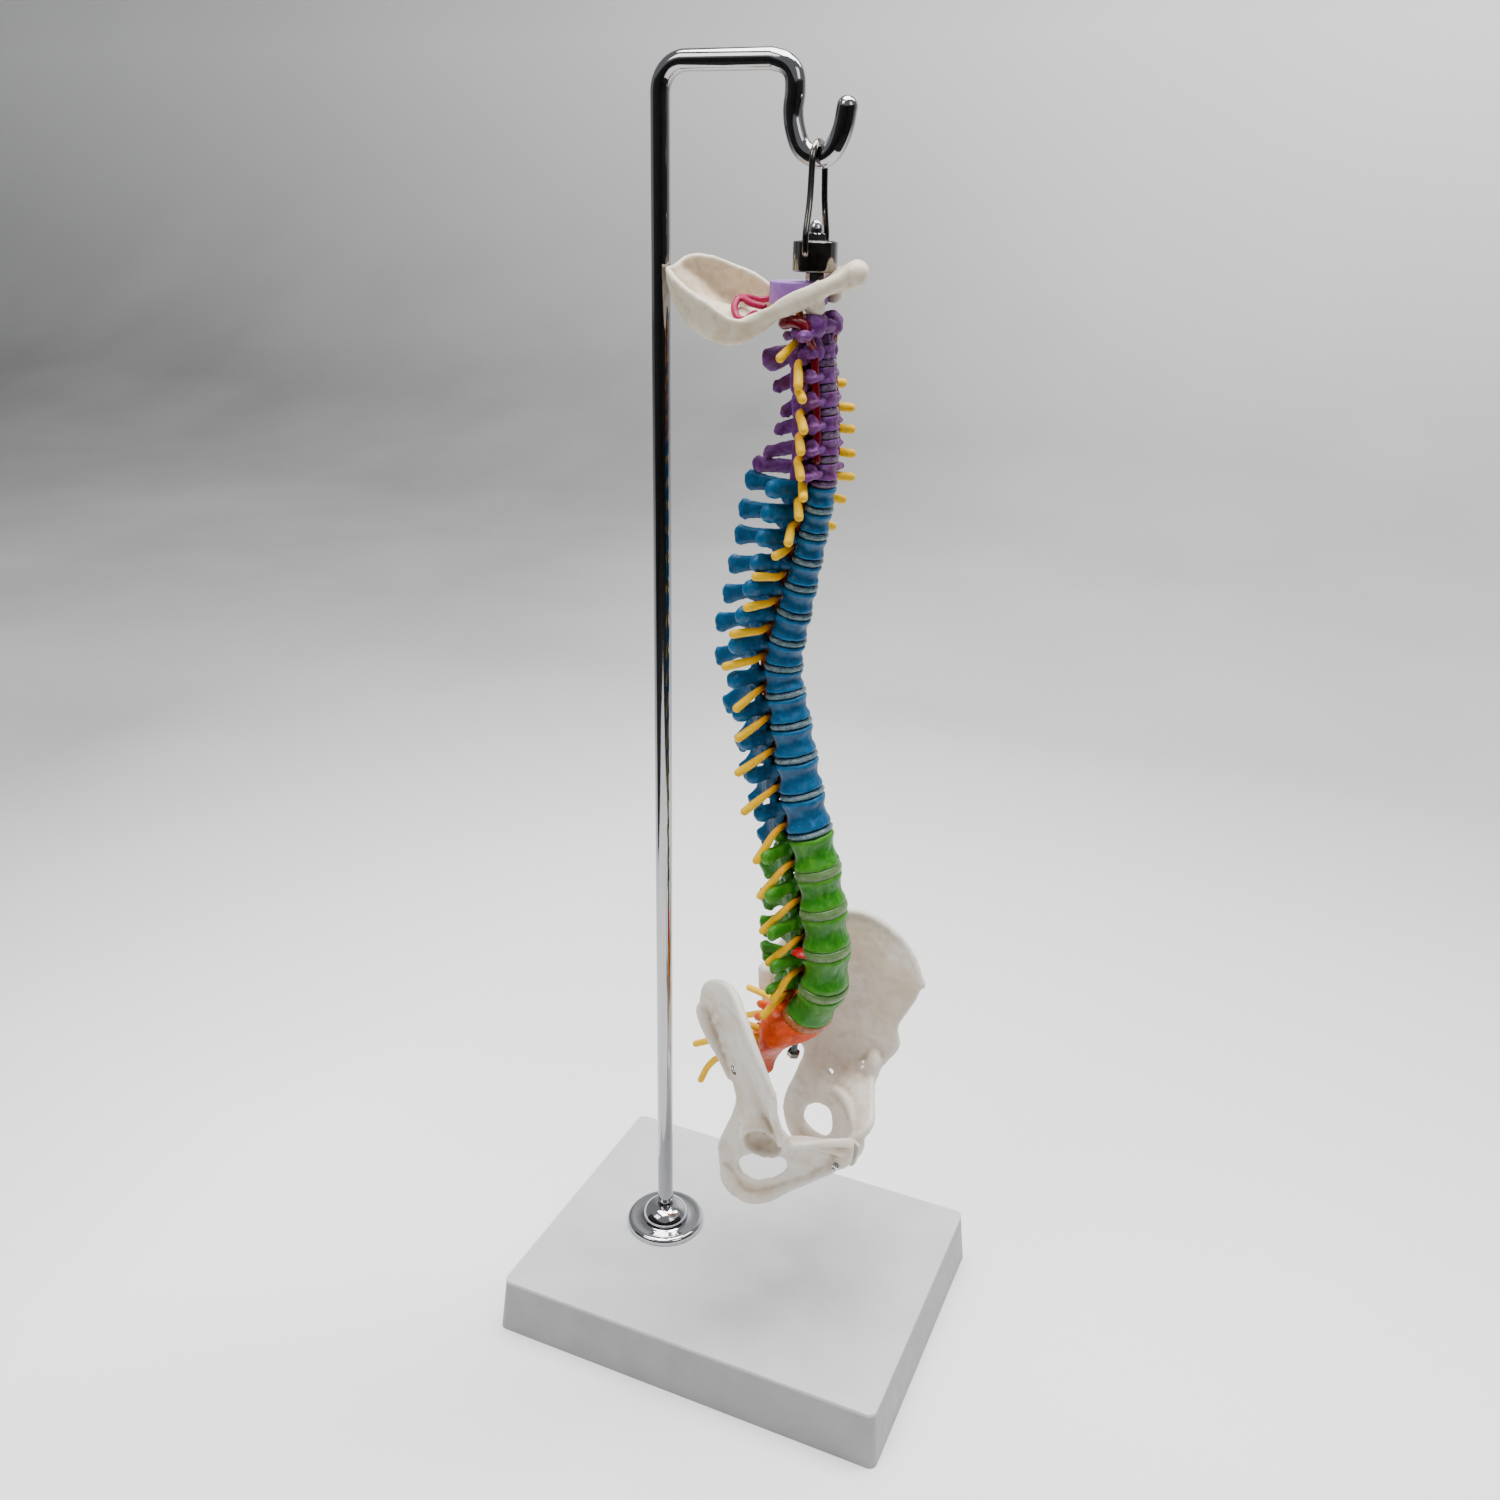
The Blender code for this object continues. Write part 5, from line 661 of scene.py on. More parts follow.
def drum(name, radius, low, high, steps, place):
    """A plain upright cylinder."""
    return turned(name, [(0, high), (radius, high), (radius, low), (0, low)], steps, place)


def box(name, low, high, matrix=None):
    """A block between two corners, turned by a matrix if there is one."""
    clay = Clay()
    clay.add_rings([[(low[0], low[1], z), (high[0], low[1], z), (high[0], high[1], z), (low[0], high[1], z)]
                    for z in (low[2], high[2])])
    if matrix is not None:
        clay.place(matrix)
    return clay.object(name)


def rounded(profile, radius, steps=4):
    """A profile with its inner corners rounded."""
    points = [Vector(p) for p in profile]
    out = [points[0]]
    for before, corner, after in zip(points, points[1:], points[2:]):
        reach = min(radius, (before - corner).length * 0.45, (after - corner).length * 0.45)
        start = corner + (before - corner).normalized() * reach
        end = corner + (after - corner).normalized() * reach
        for k in range(steps + 1):
            t = k / steps
            out.append((1 - t) ** 2 * start + 2 * t * (1 - t) * corner + t ** 2 * end)
    out.append(points[-1])
    return [(max(p.x, 0), p.y) for p in out]


def wire(name, points, radius, radii=None, sides=24):
    """A round bar along points."""
    clay = Clay()
    radii = radii or [1] * len(points)
    centres = np.array([tuple(p) for p in points])
    ahead = unit(np.gradient(centres, axis=0))
    side = unit(np.cross(ahead[0], (0, 1, 0.01)))
    rings = []
    angle = np.linspace(0, 2 * math.pi, sides, endpoint=False)[:, None]
    for centre, way, share in zip(centres, ahead, radii):
        side = unit(side - way * (side @ way))
        rise = np.cross(way, side)
        rings.append(centre + radius * share * (np.cos(angle) * side + np.sin(angle) * rise))
    clay.add_rings(rings)
    return soften(clay.object(name), 45)


def join(name, objects):
    """Several mesh objects made one."""
    with bpy.context.temp_override(active_object=objects[0], selected_editable_objects=objects,
                                   object=objects[0]):
        bpy.ops.object.join()
    objects[0].name = name
    return objects[0]


def cut(obj, tool, operation="DIFFERENCE", solver="EXACT"):
    """Cut a piece by another, or add or keep what both share, and remove the other."""
    modifier = obj.modifiers.new("cut", "BOOLEAN")
    modifier.operation = operation
    modifier.solver = solver
    modifier.object = tool
    freeze(obj)
    bpy.data.objects.remove(tool, do_unlink=True)
    return obj


def carve(obj, tool):
    """Cut a closed piece by another, fast."""
    return cut(obj, tool, solver="MANIFOLD")


def finish(obj, material):
    """Give a piece one material."""
    obj.data.materials.clear()
    obj.data.materials.append(MATERIALS[material])


def show(obj, body, node, material):
    """Put a piece on its body in place of a CAD node, with its finish."""
    finish(obj, material)
    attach(obj, body)
    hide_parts(node)
    return obj


# Materials


def rgb(red, green, blue):
    """A screen colour of 0 to 255 as linear light."""
    def linear(value):
        value /= 255
        return value / 12.92 if value <= 0.04045 else ((value + 0.055) / 1.055) ** 2.4
    return (linear(red), linear(green), linear(blue), 1)


class Paint:
    """A node material under construction."""

    def __init__(self, name):
        self.material = bpy.data.materials.new(name)
        self.material.use_nodes = True
        self.tree = self.material.node_tree
        self.shader = self.tree.nodes["Principled BSDF"]
        self.space = self.node("ShaderNodeTexCoord").outputs["Object"]

    def node(self, kind, **values):
        node = self.tree.nodes.new(kind)
        for key, value in values.items():
            setattr(node, key, value)
        return node

    def feed(self, node, values):
        """Set inputs of a node, each to a value or from another node."""
        for socket, value in values.items():
            if isinstance(value, bpy.types.NodeSocket):
                self.tree.links.new(value, node.inputs[socket])
            else:
                node.inputs[socket].default_value = value
        return node

    def set(self, **values):
        """Set the shader's own sockets."""
        self.feed(self.shader,
                  {key.replace("_", " ").title().replace("Ior", "IOR"): value for key,
                   value in values.items()})

    def noise(self, size, detail=4, roughness=0.55, stretch=(1, 1, 1), distortion=0):
        """Noise of a feature size in metres, from 0 to 1."""
        scales = [s / size for s in stretch]
        mapping = self.feed(self.node("ShaderNodeMapping"), {"Scale": scales, "Vector": self.space})
        values = {"Scale": 1, "Detail": detail, "Roughness": roughness, "Distortion": distortion}
        noise = self.feed(self.node("ShaderNodeTexNoise"), {**values, "Vector": mapping.outputs[0]})
        return noise.outputs["Fac"]

    def ramp(self, source, stops):
        """A colour ramp of position and colour."""
        node = self.feed(self.node("ShaderNodeValToRGB"), {"Fac": source})
        elements = node.color_ramp.elements
        while len(elements) < len(stops):
            elements.new(0.5)
        for element, (place, colour) in zip(elements, stops):
            element.position = place
            element.color = colour
        return node.outputs["Color"]

    def blotches(self, size, low, high, detail=4):
        """Two screen colours in soft blotches of a size in metres."""
        return self.ramp(self.noise(size, detail), [(0.3, rgb(*low)), (0.7, rgb(*high))])

    def span(self, source, low, high, start=0, end=1):
        """A value moved from one range to another, clamped."""
        values = {"From Min": low, "From Max": high, "To Min": start, "To Max": end, "Value": source}
        node = self.feed(self.node("ShaderNodeMapRange"), values)
        return node.outputs["Result"]

    def mix(self, share, a, b):
        """Two colours mixed; each is a socket or a colour."""
        node = self.node("ShaderNodeMix", data_type="RGBA", blend_type="MIX")
        return self.feed(node, {0: share, 6: a, 7: b}).outputs[2]

    def math(self, operation, a, b):
        return self.feed(self.node("ShaderNodeMath", operation=operation), {0: a, 1: b}).outputs[0]

    def attribute(self, name):
        return self.node("ShaderNodeAttribute", attribute_name=name).outputs["Fac"]

    def place(self, axis):
        """The place along an axis of the object, in metres."""
        return self.feed(self.node("ShaderNodeSeparateXYZ"), {"Vector": self.space}).outputs[axis]

    def finish(self, colour, size, low, high, detail=4, edge=0.3):
        """Give the shader its colour, and a roughness that wanders between two values."""
        roughness = self.span(self.noise(size, detail), edge, 0.7, low, high)
        self.feed(self.shader, {"Base Color": colour, "Roughness": roughness})

    def bump(self, height, strength, distance):
        node = self.feed(self.node("ShaderNodeBump"),
                         {"Strength": strength, "Distance": distance, "Height": height})
        self.feed(self.shader, {"Normal": node.outputs[0]})


def painted(name, base, dark, light, wash=None, streak=(1, 1, 1), gloss=0.3, blotch=4 * MM, relief=0.12 * MM):
    """Glossy hand paint: blotches and brush marks, with painted shade darkening the hollows and painted
    highlight lightening the ridges.
    """
    paint = Paint(name)
    base, dark, light = rgb(*base), rgb(*dark), rgb(*light)
    body = paint.ramp(paint.noise(blotch, 5, 0.6, streak), [(0.30, base), (0.52, base), (0.72, light)])
    shade = paint.ramp(paint.noise(blotch * 0.45, 4, 0.6, streak, 0.6),
                       [(0.32, dark), (0.5, base), (0.66, base)])
    body = paint.mix(0.35, body, shade)
    if wash:
        body = paint.mix(paint.span(paint.noise(blotch * 1.6, 3, 0.5), 0.50, 0.68, 0, 0.8), body, rgb(*wash))
    hollow = paint.attribute("hollow")
    # Painted shade: the dark colour gathers in the hollows; painted highlight: the light colour lies on the
    # proud ridges.
    body = paint.mix(paint.span(hollow, 0.04, 0.55, 0, 0.85), body, dark)
    body = paint.mix(paint.span(hollow, -0.15, -0.7, 0, 0.45), body, light)
    paint.finish(body, 2.0 * MM, gloss * 0.75, gloss * 1.35, 3)
    fine = paint.math("MULTIPLY", paint.noise(0.5 * MM, 3, 0.5, streak), 0.25)
    paint.bump(paint.math("ADD", paint.noise(1.6 * MM, 4, 0.55, streak), fine), 0.8, relief)
    paint.set(specular_ior_level=0.24, coat_weight=0.06, coat_roughness=0.2)
    return paint.material


def clear_plastic(name, tones, edge, clear):
    """Cloudy soft plastic, with painted shade where it meets the bone."""
    paint = Paint(name)
    body = paint.ramp(paint.noise(3 * MM, 4),
                      [(place, rgb(*tone)) for place, tone in zip((0.3, 0.55, 0.75), tones)])
    # Painted shade: the edge colour darkens the disc towards the bone.
    body = paint.mix(paint.span(paint.attribute("hollow"), 0.0, 0.35, 0, 0.9), body, rgb(*edge))
    paint.finish(body, 1.2 * MM, 0.22, 0.36)
    paint.bump(paint.noise(2.2 * MM, 2), 0.25, 0.05 * MM)
    paint.set(transmission_weight=clear, coat_weight=0.08, coat_roughness=0.2, ior=1.42,
              specular_ior_level=0.3)
    return paint.material


def plated(name, tint, low, high):
    """Polished plating with faint clouds and wear."""
    metal = Paint(name)
    colour, dull = rgb(*tint), tuple(0.8 * c for c in rgb(*tint)[:3]) + (1,)
    metal.finish(metal.mix(metal.span(metal.noise(12 * MM, 3), 0.4, 0.7, 0, 0.25), colour, dull), 3 * MM,
                 low, high, 4, 0.35)
    metal.bump(metal.noise(0.6 * MM, 2), 0.15, 0.02 * MM)
    metal.set(metallic=1.0)
    return metal.material


def soft_plastic(name, size, low, high, gloss, grain, depth):
    """Blotched soft plastic."""
    paint = Paint(name)
    paint.finish(paint.blotches(size, low, high), 1.5 * MM, *gloss)
    paint.bump(paint.noise(grain, 3), 0.4, depth)
    return paint.material


def nerve_paint():
    """Yellow gloss, orange towards the cord."""
    paint = Paint("nerve_paint")
    body = paint.ramp(paint.attribute("along"), [(place, rgb(*colour)) for place, colour in NERVE_COLOURS])
    body = paint.mix(paint.span(paint.noise(2.5 * MM), 0.45, 0.75, 0, 0.35), body, rgb(196, 116, 0))
    paint.finish(body, 1.5 * MM, 0.38, 0.52)
    paint.bump(paint.noise(1.2 * MM, 3), 0.6, 0.08 * MM)
    paint.set(specular_ior_level=0.14)
    return paint.material


def base_plastic():
    """Light grey plastic, with painted shade making its sides darker than its top."""
    paint = Paint("base_plastic")
    upper = paint.blotches(25 * MM, (184, 185, 186), (193, 194, 195), 3)
    painted_shade_sides = paint.blotches(18 * MM, (134, 135, 135), (144, 145, 145), 3)
    # Painted shade: the sides below the top edge are darker than the top.
    colour = paint.mix(paint.span(paint.place("Z"), BASE_HEIGHT - 2.2 * MM, BASE_HEIGHT - 0.8 * MM), painted_shade_sides,
                       upper)
    paint.finish(colour, 6 * MM, 0.42, 0.54)
    paint.bump(paint.noise(0.35 * MM, 2), 0.25, 0.03 * MM)
    return paint.material


def make_materials():
    made = {name: painted(name, *colours, **values) for name, (*colours, values) in PAINTS.items()}
    for make, table in ((clear_plastic, CLEAR_PLASTICS), (soft_plastic, SOFT_PLASTICS), (plated, PLATINGS)):
        made.update({name: make(name, *row) for name, *row in table})
    made["nerve_paint"] = nerve_paint()
    made["base_plastic"] = base_plastic()
    return made


MATERIALS = make_materials()


# Stand


def base_block(name, length, depth, bottom, top, corner, sides=8):
    """A block that narrows upwards, with round upright corners."""
    rings = []
    for z in (bottom, top):
        grow = BASE_DRAFT * (BASE_HEIGHT - z) / BASE_HEIGHT
        ring = []
        for turn, (sx, sy) in enumerate(((1, 1), (-1, 1), (-1, -1), (1, -1))):
            for k in range(sides + 1):
                angle = math.pi / 2 * (turn + k / sides)
                ring.append((sx * (length / 2 + grow - corner) + corner * math.cos(angle),
                             sy * (depth / 2 + grow - corner) + corner * math.sin(angle), z))
        rings.append(ring)
    clay = Clay()
    clay.add_rings(rings)
    return clay.object(name)


def make_base():
    base = base_block("stand_base", BASE_LENGTH, BASE_DEPTH, 0, BASE_HEIGHT, BASE_CORNER - 1.2 * MM)
    ceiling = BASE_HEIGHT - BASE_WALL
    hollow = base_block("hollow", BASE_LENGTH - 2 * BASE_WALL, BASE_DEPTH - 2 * BASE_WALL, -5 * MM, ceiling,
                        BASE_CORNER - BASE_WALL)
    for x, y in ((BASE_LENGTH, RIB_THICKNESS / 2), (RIB_THICKNESS / 2, BASE_LENGTH)):
        cut(hollow, box("rib", (ROD_X - x, -y, ceiling - RIB_DEPTH), (ROD_X + x, y, BASE_HEIGHT)))
    cut(hollow, drum("boss", BOSS_RADIUS, BASE_HEIGHT - BOSS_DEPTH, BASE_HEIGHT, 48, (ROD_X, 0, 0)))
    cut(base, hollow)
    cut(base, drum("bore", ROD_RADIUS + ROD_CLEARANCE, -1 * MM, 2 * BASE_HEIGHT, 48, (ROD_X, 0, 0)))
    edge = base.modifiers.new("edges", "BEVEL")
    edge.width = BASE_EDGE
    edge.segments = 4
    edge.limit_method = "ANGLE"
    edge.angle_limit = math.radians(50)
    show(soften(freeze(base), 35), "stand", "base", "base_plastic")


def make_rod():
    """The rod: up, over in the arm, down into the hook and on to its rounded tip."""
    path = [(ROD_X, ROD_END_Z), (ROD_X, ROD_HEIGHT / 2), (ROD_X, ROD_HEIGHT - ROD_BEND - 6 * MM)]
    path += arc((ROD_X + ROD_BEND, ROD_HEIGHT - ROD_BEND), (ROD_BEND, ROD_BEND), 180, 90, 12)
    start = HANG_X - HOOK_HALF_WIDTH
    knots = [(start + dx * MM, z * MM) for dx, z in HOOK_NECK]
    knots += [(HANG_X + dx * MM, HOOK_BOTTOM_Z + z * MM) for dx, z in HOOK_BOWL]
    path += [tuple(p) for p in spread(knots, 8)]
    points = [Vector((x, 0, z)) for x, z in path]
    radii = [1.0] * len(points)
    end = points[-1]
    way = (end - points[-2]).normalized()
    for k in range(1, 8):
        angle = math.pi / 2 * k / 7.4
        points.append(end + way * (ROD_RADIUS * 0.95 * math.sin(angle)))
        radii.append(math.cos(angle))
    show(wire("chrome_rod", points, ROD_RADIUS, radii, 48), "stand", "stand_rod", "bar_plate")


def make_flange():
    seat = BASE_HEIGHT + SEAT_GAP
    rim = seat + FLANGE_RIM
    bore = ROD_RADIUS + 0.15 * MM
    profile = arc((bore, rim), (FLANGE_DOME_RADIUS - bore, FLANGE_DOME_RISE), 90, 0, 16)
    profile += [(FLANGE_DOME_RADIUS + 1.4 * MM, rim - 0.5 * MM), (FLANGE_RADIUS - 3.6 * MM, rim - 0.1 * MM)]
    profile += arc((FLANGE_RADIUS - FLANGE_EDGE, rim - FLANGE_EDGE), (FLANGE_EDGE, FLANGE_EDGE), 90, 0, 8)
    profile += [(FLANGE_RADIUS, seat), (bore, seat)]
    flange = turned("chrome_flange", profile, 128, (ROD_X, 0, 0))
    show(flange, "stand", "rod_flange", "chrome_plate")


def make_bail():
    arc_z = HOOK_BOTTOM_Z + ROD_RADIUS + BAIL_WIRE_RADIUS + SEAT_GAP - BAIL_TOP_RADIUS
    leg_y = CUP_RADIUS + BAIL_WIRE_RADIUS + BAIL_SIDE_GAP
    corner = 1.3 * MM
    half = [(CUP_RADIUS - CUP_WALL - 1 * MM, BAIL_PIVOT_Z), (leg_y - corner - 0.4 * MM, BAIL_PIVOT_Z)]
    half += arc((leg_y - corner, BAIL_PIVOT_Z + corner), (corner, corner), -90, 0, 6)[1:-1]
    half.append((leg_y, CUP_TOP_Z + 1.5 * MM))
    leg = [(leg_y - 0.1 * MM, CUP_TOP_Z + 3 * MM), (BAIL_TOP_RADIUS + 1.2 * MM, arc_z - 14 * MM),
           (BAIL_TOP_RADIUS + 0.15 * MM, arc_z - 3 * MM)]
    half += [tuple(p) for p in spread(leg, 5)]
    half += arc((0, arc_z), (BAIL_TOP_RADIUS, BAIL_TOP_RADIUS), 0, 90, 12)
    path = half + [(-y, z) for y, z in reversed(half[:-1])]
    bail = wire("bail_wire", [Vector((HANG_X, y, z)) for y, z in path], BAIL_WIRE_RADIUS)
    show(bail, "stand", "hanger_bail", "nickel_plate")


def make_swivel():
    inner = CUP_RADIUS - CUP_WALL
    floor = CUP_BOTTOM_Z + CUP_FLOOR
    bore = STUD_RADIUS + STUD_CLEARANCE
    outline = [(inner, floor), (inner, CUP_TOP_Z), (CUP_RADIUS, CUP_TOP_Z), (CUP_RADIUS, CUP_BOTTOM_Z),
               (bore, CUP_BOTTOM_Z), (bore, floor)]
    cup = turned("swivel_cup", rounded(outline, 0.7 * MM)[::-1], 96, (HANG_X, 0, 0))
    ends = [Vector((HANG_X, y, BAIL_PIVOT_Z)) for y in (-20 * MM, 20 * MM)]
    cut(cup, wire("pin", ends, BAIL_WIRE_RADIUS + 0.35 * MM))
    show(soften(cup, 38), "swivel_cup", "hanger_cup", "nickel_plate")


# Column


def column_offset(height):
    """How far the column's middle lies in front of the hang axis at a height."""
    knots = [(z * MM, x * MM) for z, x in reversed(COLUMN)]
    for i in range(len(knots) - 1):
        if height <= knots[i + 1][0] or i == len(knots) - 2:
            break
    (z0, x0), (z1, x1) = knots[i], knots[i + 1]
    slope0 = (x1 - knots[max(i - 1, 0)][1]) / (z1 - knots[max(i - 1, 0)][0])
    last = min(i + 2, len(knots) - 1)
    slope1 = (knots[last][1] - x0) / (knots[last][0] - z0)
    t = (height - z0) / (z1 - z0)
    span = z1 - z0
    return ((2 * t ** 3 - 3 * t ** 2 + 1) * x0 + (t ** 3 - 2 * t ** 2 + t) * span * slope0
            + (3 * t ** 2 - 2 * t ** 3) * x1 + (t ** 3 - t ** 2) * span * slope1)


def column_frame(height):
    """Place and turn of the column at a height: forward is local x, left is local y."""
    share = min(max((TWIST_TOP_Z - height) / (TWIST_TOP_Z - TWIST_BOTTOM_Z), 0), 1)
    step = 2 * MM
    lean = (column_offset(height + step) - column_offset(height - step)) / (2 * step)
    turned = Matrix.Rotation(TWIST * share, 4, "Z")
    axis = Matrix.Translation((HANG_X + BALANCE_X, BALANCE_Y, height)) @ turned
    return axis @ Matrix.Translation((column_offset(height), 0, 0)) @ Matrix.Rotation(math.atan(lean), 4, "Y")


def body_ring(frame, depth, width, sides):
    """An oval ring of a vertebral body, flattened at the back."""
    points = []
    for i in range(sides):
        angle = 2 * math.pi * i / sides
        x = math.cos(angle)
        x = depth * x if x > 0 else -BACK_SHARE * depth * abs(x) ** 0.6
        points.append(at(frame, x, width * math.sin(angle), 0))
    return points


def levels():
    """Each vertebra with its sizes, its neighbours and the heights of its disc faces, top to bottom."""
    top = AXIS_TOP_Z
    rows = []
    for name, *sizes in VERTEBRAE:
        row = SimpleNamespace(name=name, region=name[0], crowded=name in CROWDED, top=top, **REGIONS[name[0]])
        (row.pitch, row.depth, row.width, row.canal, row.reach, row.drop, row.wing, row.nerve_x,
         row.nerve_z) = mm(*sizes)
        row.bottom = top = top - row.pitch
        row.frame = column_frame((row.top + row.bottom) / 2)
        row.disc = column_frame(row.bottom)
        row.height = row.pitch - DISC_THICKNESS - 2 * SEAT_GAP
        row.centre = -BACK_SHARE * row.depth - 0.8 * row.canal
        row.overlap = SHORT_JOINTS.get(name, FACET_OVERLAP) * row.pitch
        rows.append(row)
    for row, above, below in zip(rows, [None] + rows, rows[1:] + rows[-1:]):
        row.above, row.below = above, below
        row.gap_centre = (row.centre + below.centre) / 2
    return rows


ROWS = levels()
NAMED = {row.name: row for row in ROWS}


def add_body(clay, row):
    """A waisted drum with a lip round each face."""
    lift = DISC_THICKNESS / 2 + SEAT_GAP
    low, high = row.bottom + lift, row.top - lift
    clay.add_rings([body_ring(column_frame(low + (high - low) * t), row.depth * size, row.width * size, 40)
                    for t, size in BODY_PROFILE])


def add_arch(clay, row):
    """The arch behind the body, from one pedicle round to the other, with a joint pillar on each side."""
    middle = row.canal + row.wall / 2
    slant = 0.8 if row.crowded else 1
    stations = []
    for angle, ahead, low, high in ARCH:
        a = math.radians(angle)
        low *= slant
        spot = (row.centre + ahead * MM + middle * math.cos(a), middle * math.sin(a),
                row.height * (low + high) / 2)
        stations.append((spot, row.wall / 2, row.height * (high - low) / 2))
    clay.limb(stations, UP, 16, 5, 3.0)
    reach = row.pillar * row.pitch * slant
    thick, broad = 1.5 * row.stout * MM, 1.9 * row.stout * MM
    for side in (1, -1):
        top = (row.centre - 1.6 * MM, side * (row.canal + row.pillar_out), reach)
        low = (row.centre - 3.4 * MM, side * (row.canal + 0.6 * row.pillar_out), -reach)
        clay.limb([(top, thick, broad), (lerp(top, low, 0.5), broad, 1.7 * row.stout * MM),
                   (low, thick, broad)],
                  LEFT, 16, 5, 2.6)


def add_spine(clay, row):
    """The spinous process: a thick flat bar that flares to a blunt end, forked in the neck."""
    crowded = 0.72 if row.crowded else 1
    tall = TIP_HEIGHTS.get(row.name, row.tip)
    root = (row.centre - row.canal - ARCH_WALL / 2, 0, -0.08 * row.height)
    tip = (-row.reach + 0.6 * MM, 0, -row.drop)
    waist = {"c": min(0.36 * row.height + 0.7 * MM, tall + 1.0 * MM), "t": 0.74 * tall,
             "l": 0.92 * tall}[row.region]
    full = row.full * crowded * row.height
    sink = row.sink * row.height
    first, second = lerp(root, tip, 0.02), lerp(root, tip, 0.26)
    clay.limb([((first[0], 0, first[2] - sink), row.wide * 1.6, full),
               ((second[0], 0, second[2] - 0.8 * sink), row.wide * 1.1, max(waist, 0.88 * full)),
               (lerp(root, tip, 0.56), row.wide * 0.75, waist),
               (lerp(root, tip, 0.84), row.wide * 0.95, tall * 0.86),
               (lerp(root, tip, 0.95), row.wide * 1.1, tall),
               ((tip[0] - 0.5 * MM, 0, tip[2] - 0.2 * MM), row.wide * 0.7, tall * 0.72)], UP, 16, 5, 2.6)
    for side in (1, -1):
        if row.region != "c":
            high = (row.centre - 0.8 * row.canal, side * (0.8 * row.canal + 1.2 * MM), 0.10 * row.height)
            low = (row.centre - 1.5 * row.canal - 2.0 * MM, side * 0.75 * row.canal,
                   -0.60 * crowded * row.pitch)
            clay.limb([(high, *mm(1.8, 3.0)), (lerp(high, low, 0.5), *mm(1.6, 3.0)), (low, *mm(1.2, 2.4))],
                      FORWARD, 16, 5, 2.6)
        elif row.name != "c7":
            knob = (tip[0] + 0.2 * MM, side * 1.9 * MM, tip[2] - 0.5 * MM)
            clay.limb([(lerp(root, tip, 0.68), *mm(1.1, 1.3)), (knob, *mm(1.4, 1.7))], UP, 12)
    for ahead, share, size in SPINE_KNOBS[row.region]:
        clay.ball((tip[0] + ahead * MM, 0, tip[2] + share * tall), mm(*size))


def add_wings(clay, row):
    """The transverse processes, with a rounded knob at each end."""
    height, canal, centre, wing = row.height, row.canal, row.centre, row.wing
    for side in (1, -1):
        if row.region == "c":
            root = (-0.1 * row.depth, side * 0.7 * row.width, -0.05 * height)
            knob = (-0.25 * row.depth, side * wing, -0.12 * height)
            uneven = 0.1 * math.sin(5 * row.pitch / MM + 40 * row.top)
            lumps = [((-1.4 * MM, side * 10.9 * MM, 0.1 * height),
                      (*mm(3.0, 1.9), (0.40 + uneven) * row.pitch)),
                     ((-4.6 * MM, side * 10.2 * MM, -0.25 * height),
                      (*mm(2.4, 2.0), (0.34 - uneven) * row.pitch))]
            lumps += [((knob[0] + x * MM, side * (wing - 0.8 * MM), knob[2] + 0.4 * MM), mm(1.3, 1.5, 1.3))
                      for x in (-2.2, 2.0)]
        elif row.region == "t":
            root = (centre - 0.3 * canal, side * canal, 0.16 * height)
            knob = (centre - 0.9 * canal - 0.25 * wing, side * wing, 0.20 * height)
            lumps = [((knob[0] + 1.2 * MM, side * (wing - 0.9 * MM), knob[2] + 2.0 * MM), mm(2.2, 1.8, 2.2))]
        else:
            root = (centre + 0.1 * canal, side * canal, 0.20 * height)
            knob = (centre - 0.8 * canal, side * wing, 0.16 * height)
            low = -0.50 * height * (0.8 if row.crowded else 1)
            lumps = [((centre - 3.6 * MM, side * (canal + 2.0 * MM), 0.52 * height), mm(2.0, 1.8, 2.6)),
                     ((centre - 4.6 * MM, side * (canal + 0.9 * MM), low), mm(1.9, 1.8, 2.6))]
        sizes, power = WINGS[row.region]
        clay.limb([(lerp(root, knob, share) if share < 1 else knob, *mm(wide, high)) for share, wide,
                   high in sizes],
                  UP, 16, 5, power)
        for spot, size in lumps:
            clay.ball(spot, size)


def add_joints(clay, row):
    """The four joint processes; those that point down lie behind those that point up."""
    half = FACET_THICKNESS / 2
    up = tuple(row.frame.to_3x3() @ Vector(LEFT))

    def process(start, end):
        clay.limb([(tuple(start), half * 1.2, row.broad * 0.85),
                   (tuple(start.lerp(end, 0.6)), half * 1.1, row.broad),
                   (tuple(end), half, row.broad * 0.95)], up, 16, 4, 2.6)

    for side in (1, -1):
        if row.above:
            y = side * math.sqrt((row.canal + ARCH_WALL / 2) ** 2 - FACET_SETBACK ** 2)
            process(row.frame @ Vector((row.centre - FACET_SETBACK, y, 0)),
                    row.above.disc @ Vector((row.above.gap_centre - FACET_SETBACK, y, row.above.overlap)))
        y = side * 0.55 * row.canal
        process(row.frame @ Vector((row.centre - row.canal - 0.1 * ARCH_WALL, y, 0)),
                row.disc @ Vector((row.gap_centre - FACET_SETBACK - FACET_THICKNESS - FACET_GAP, y,
                                   -row.overlap)))


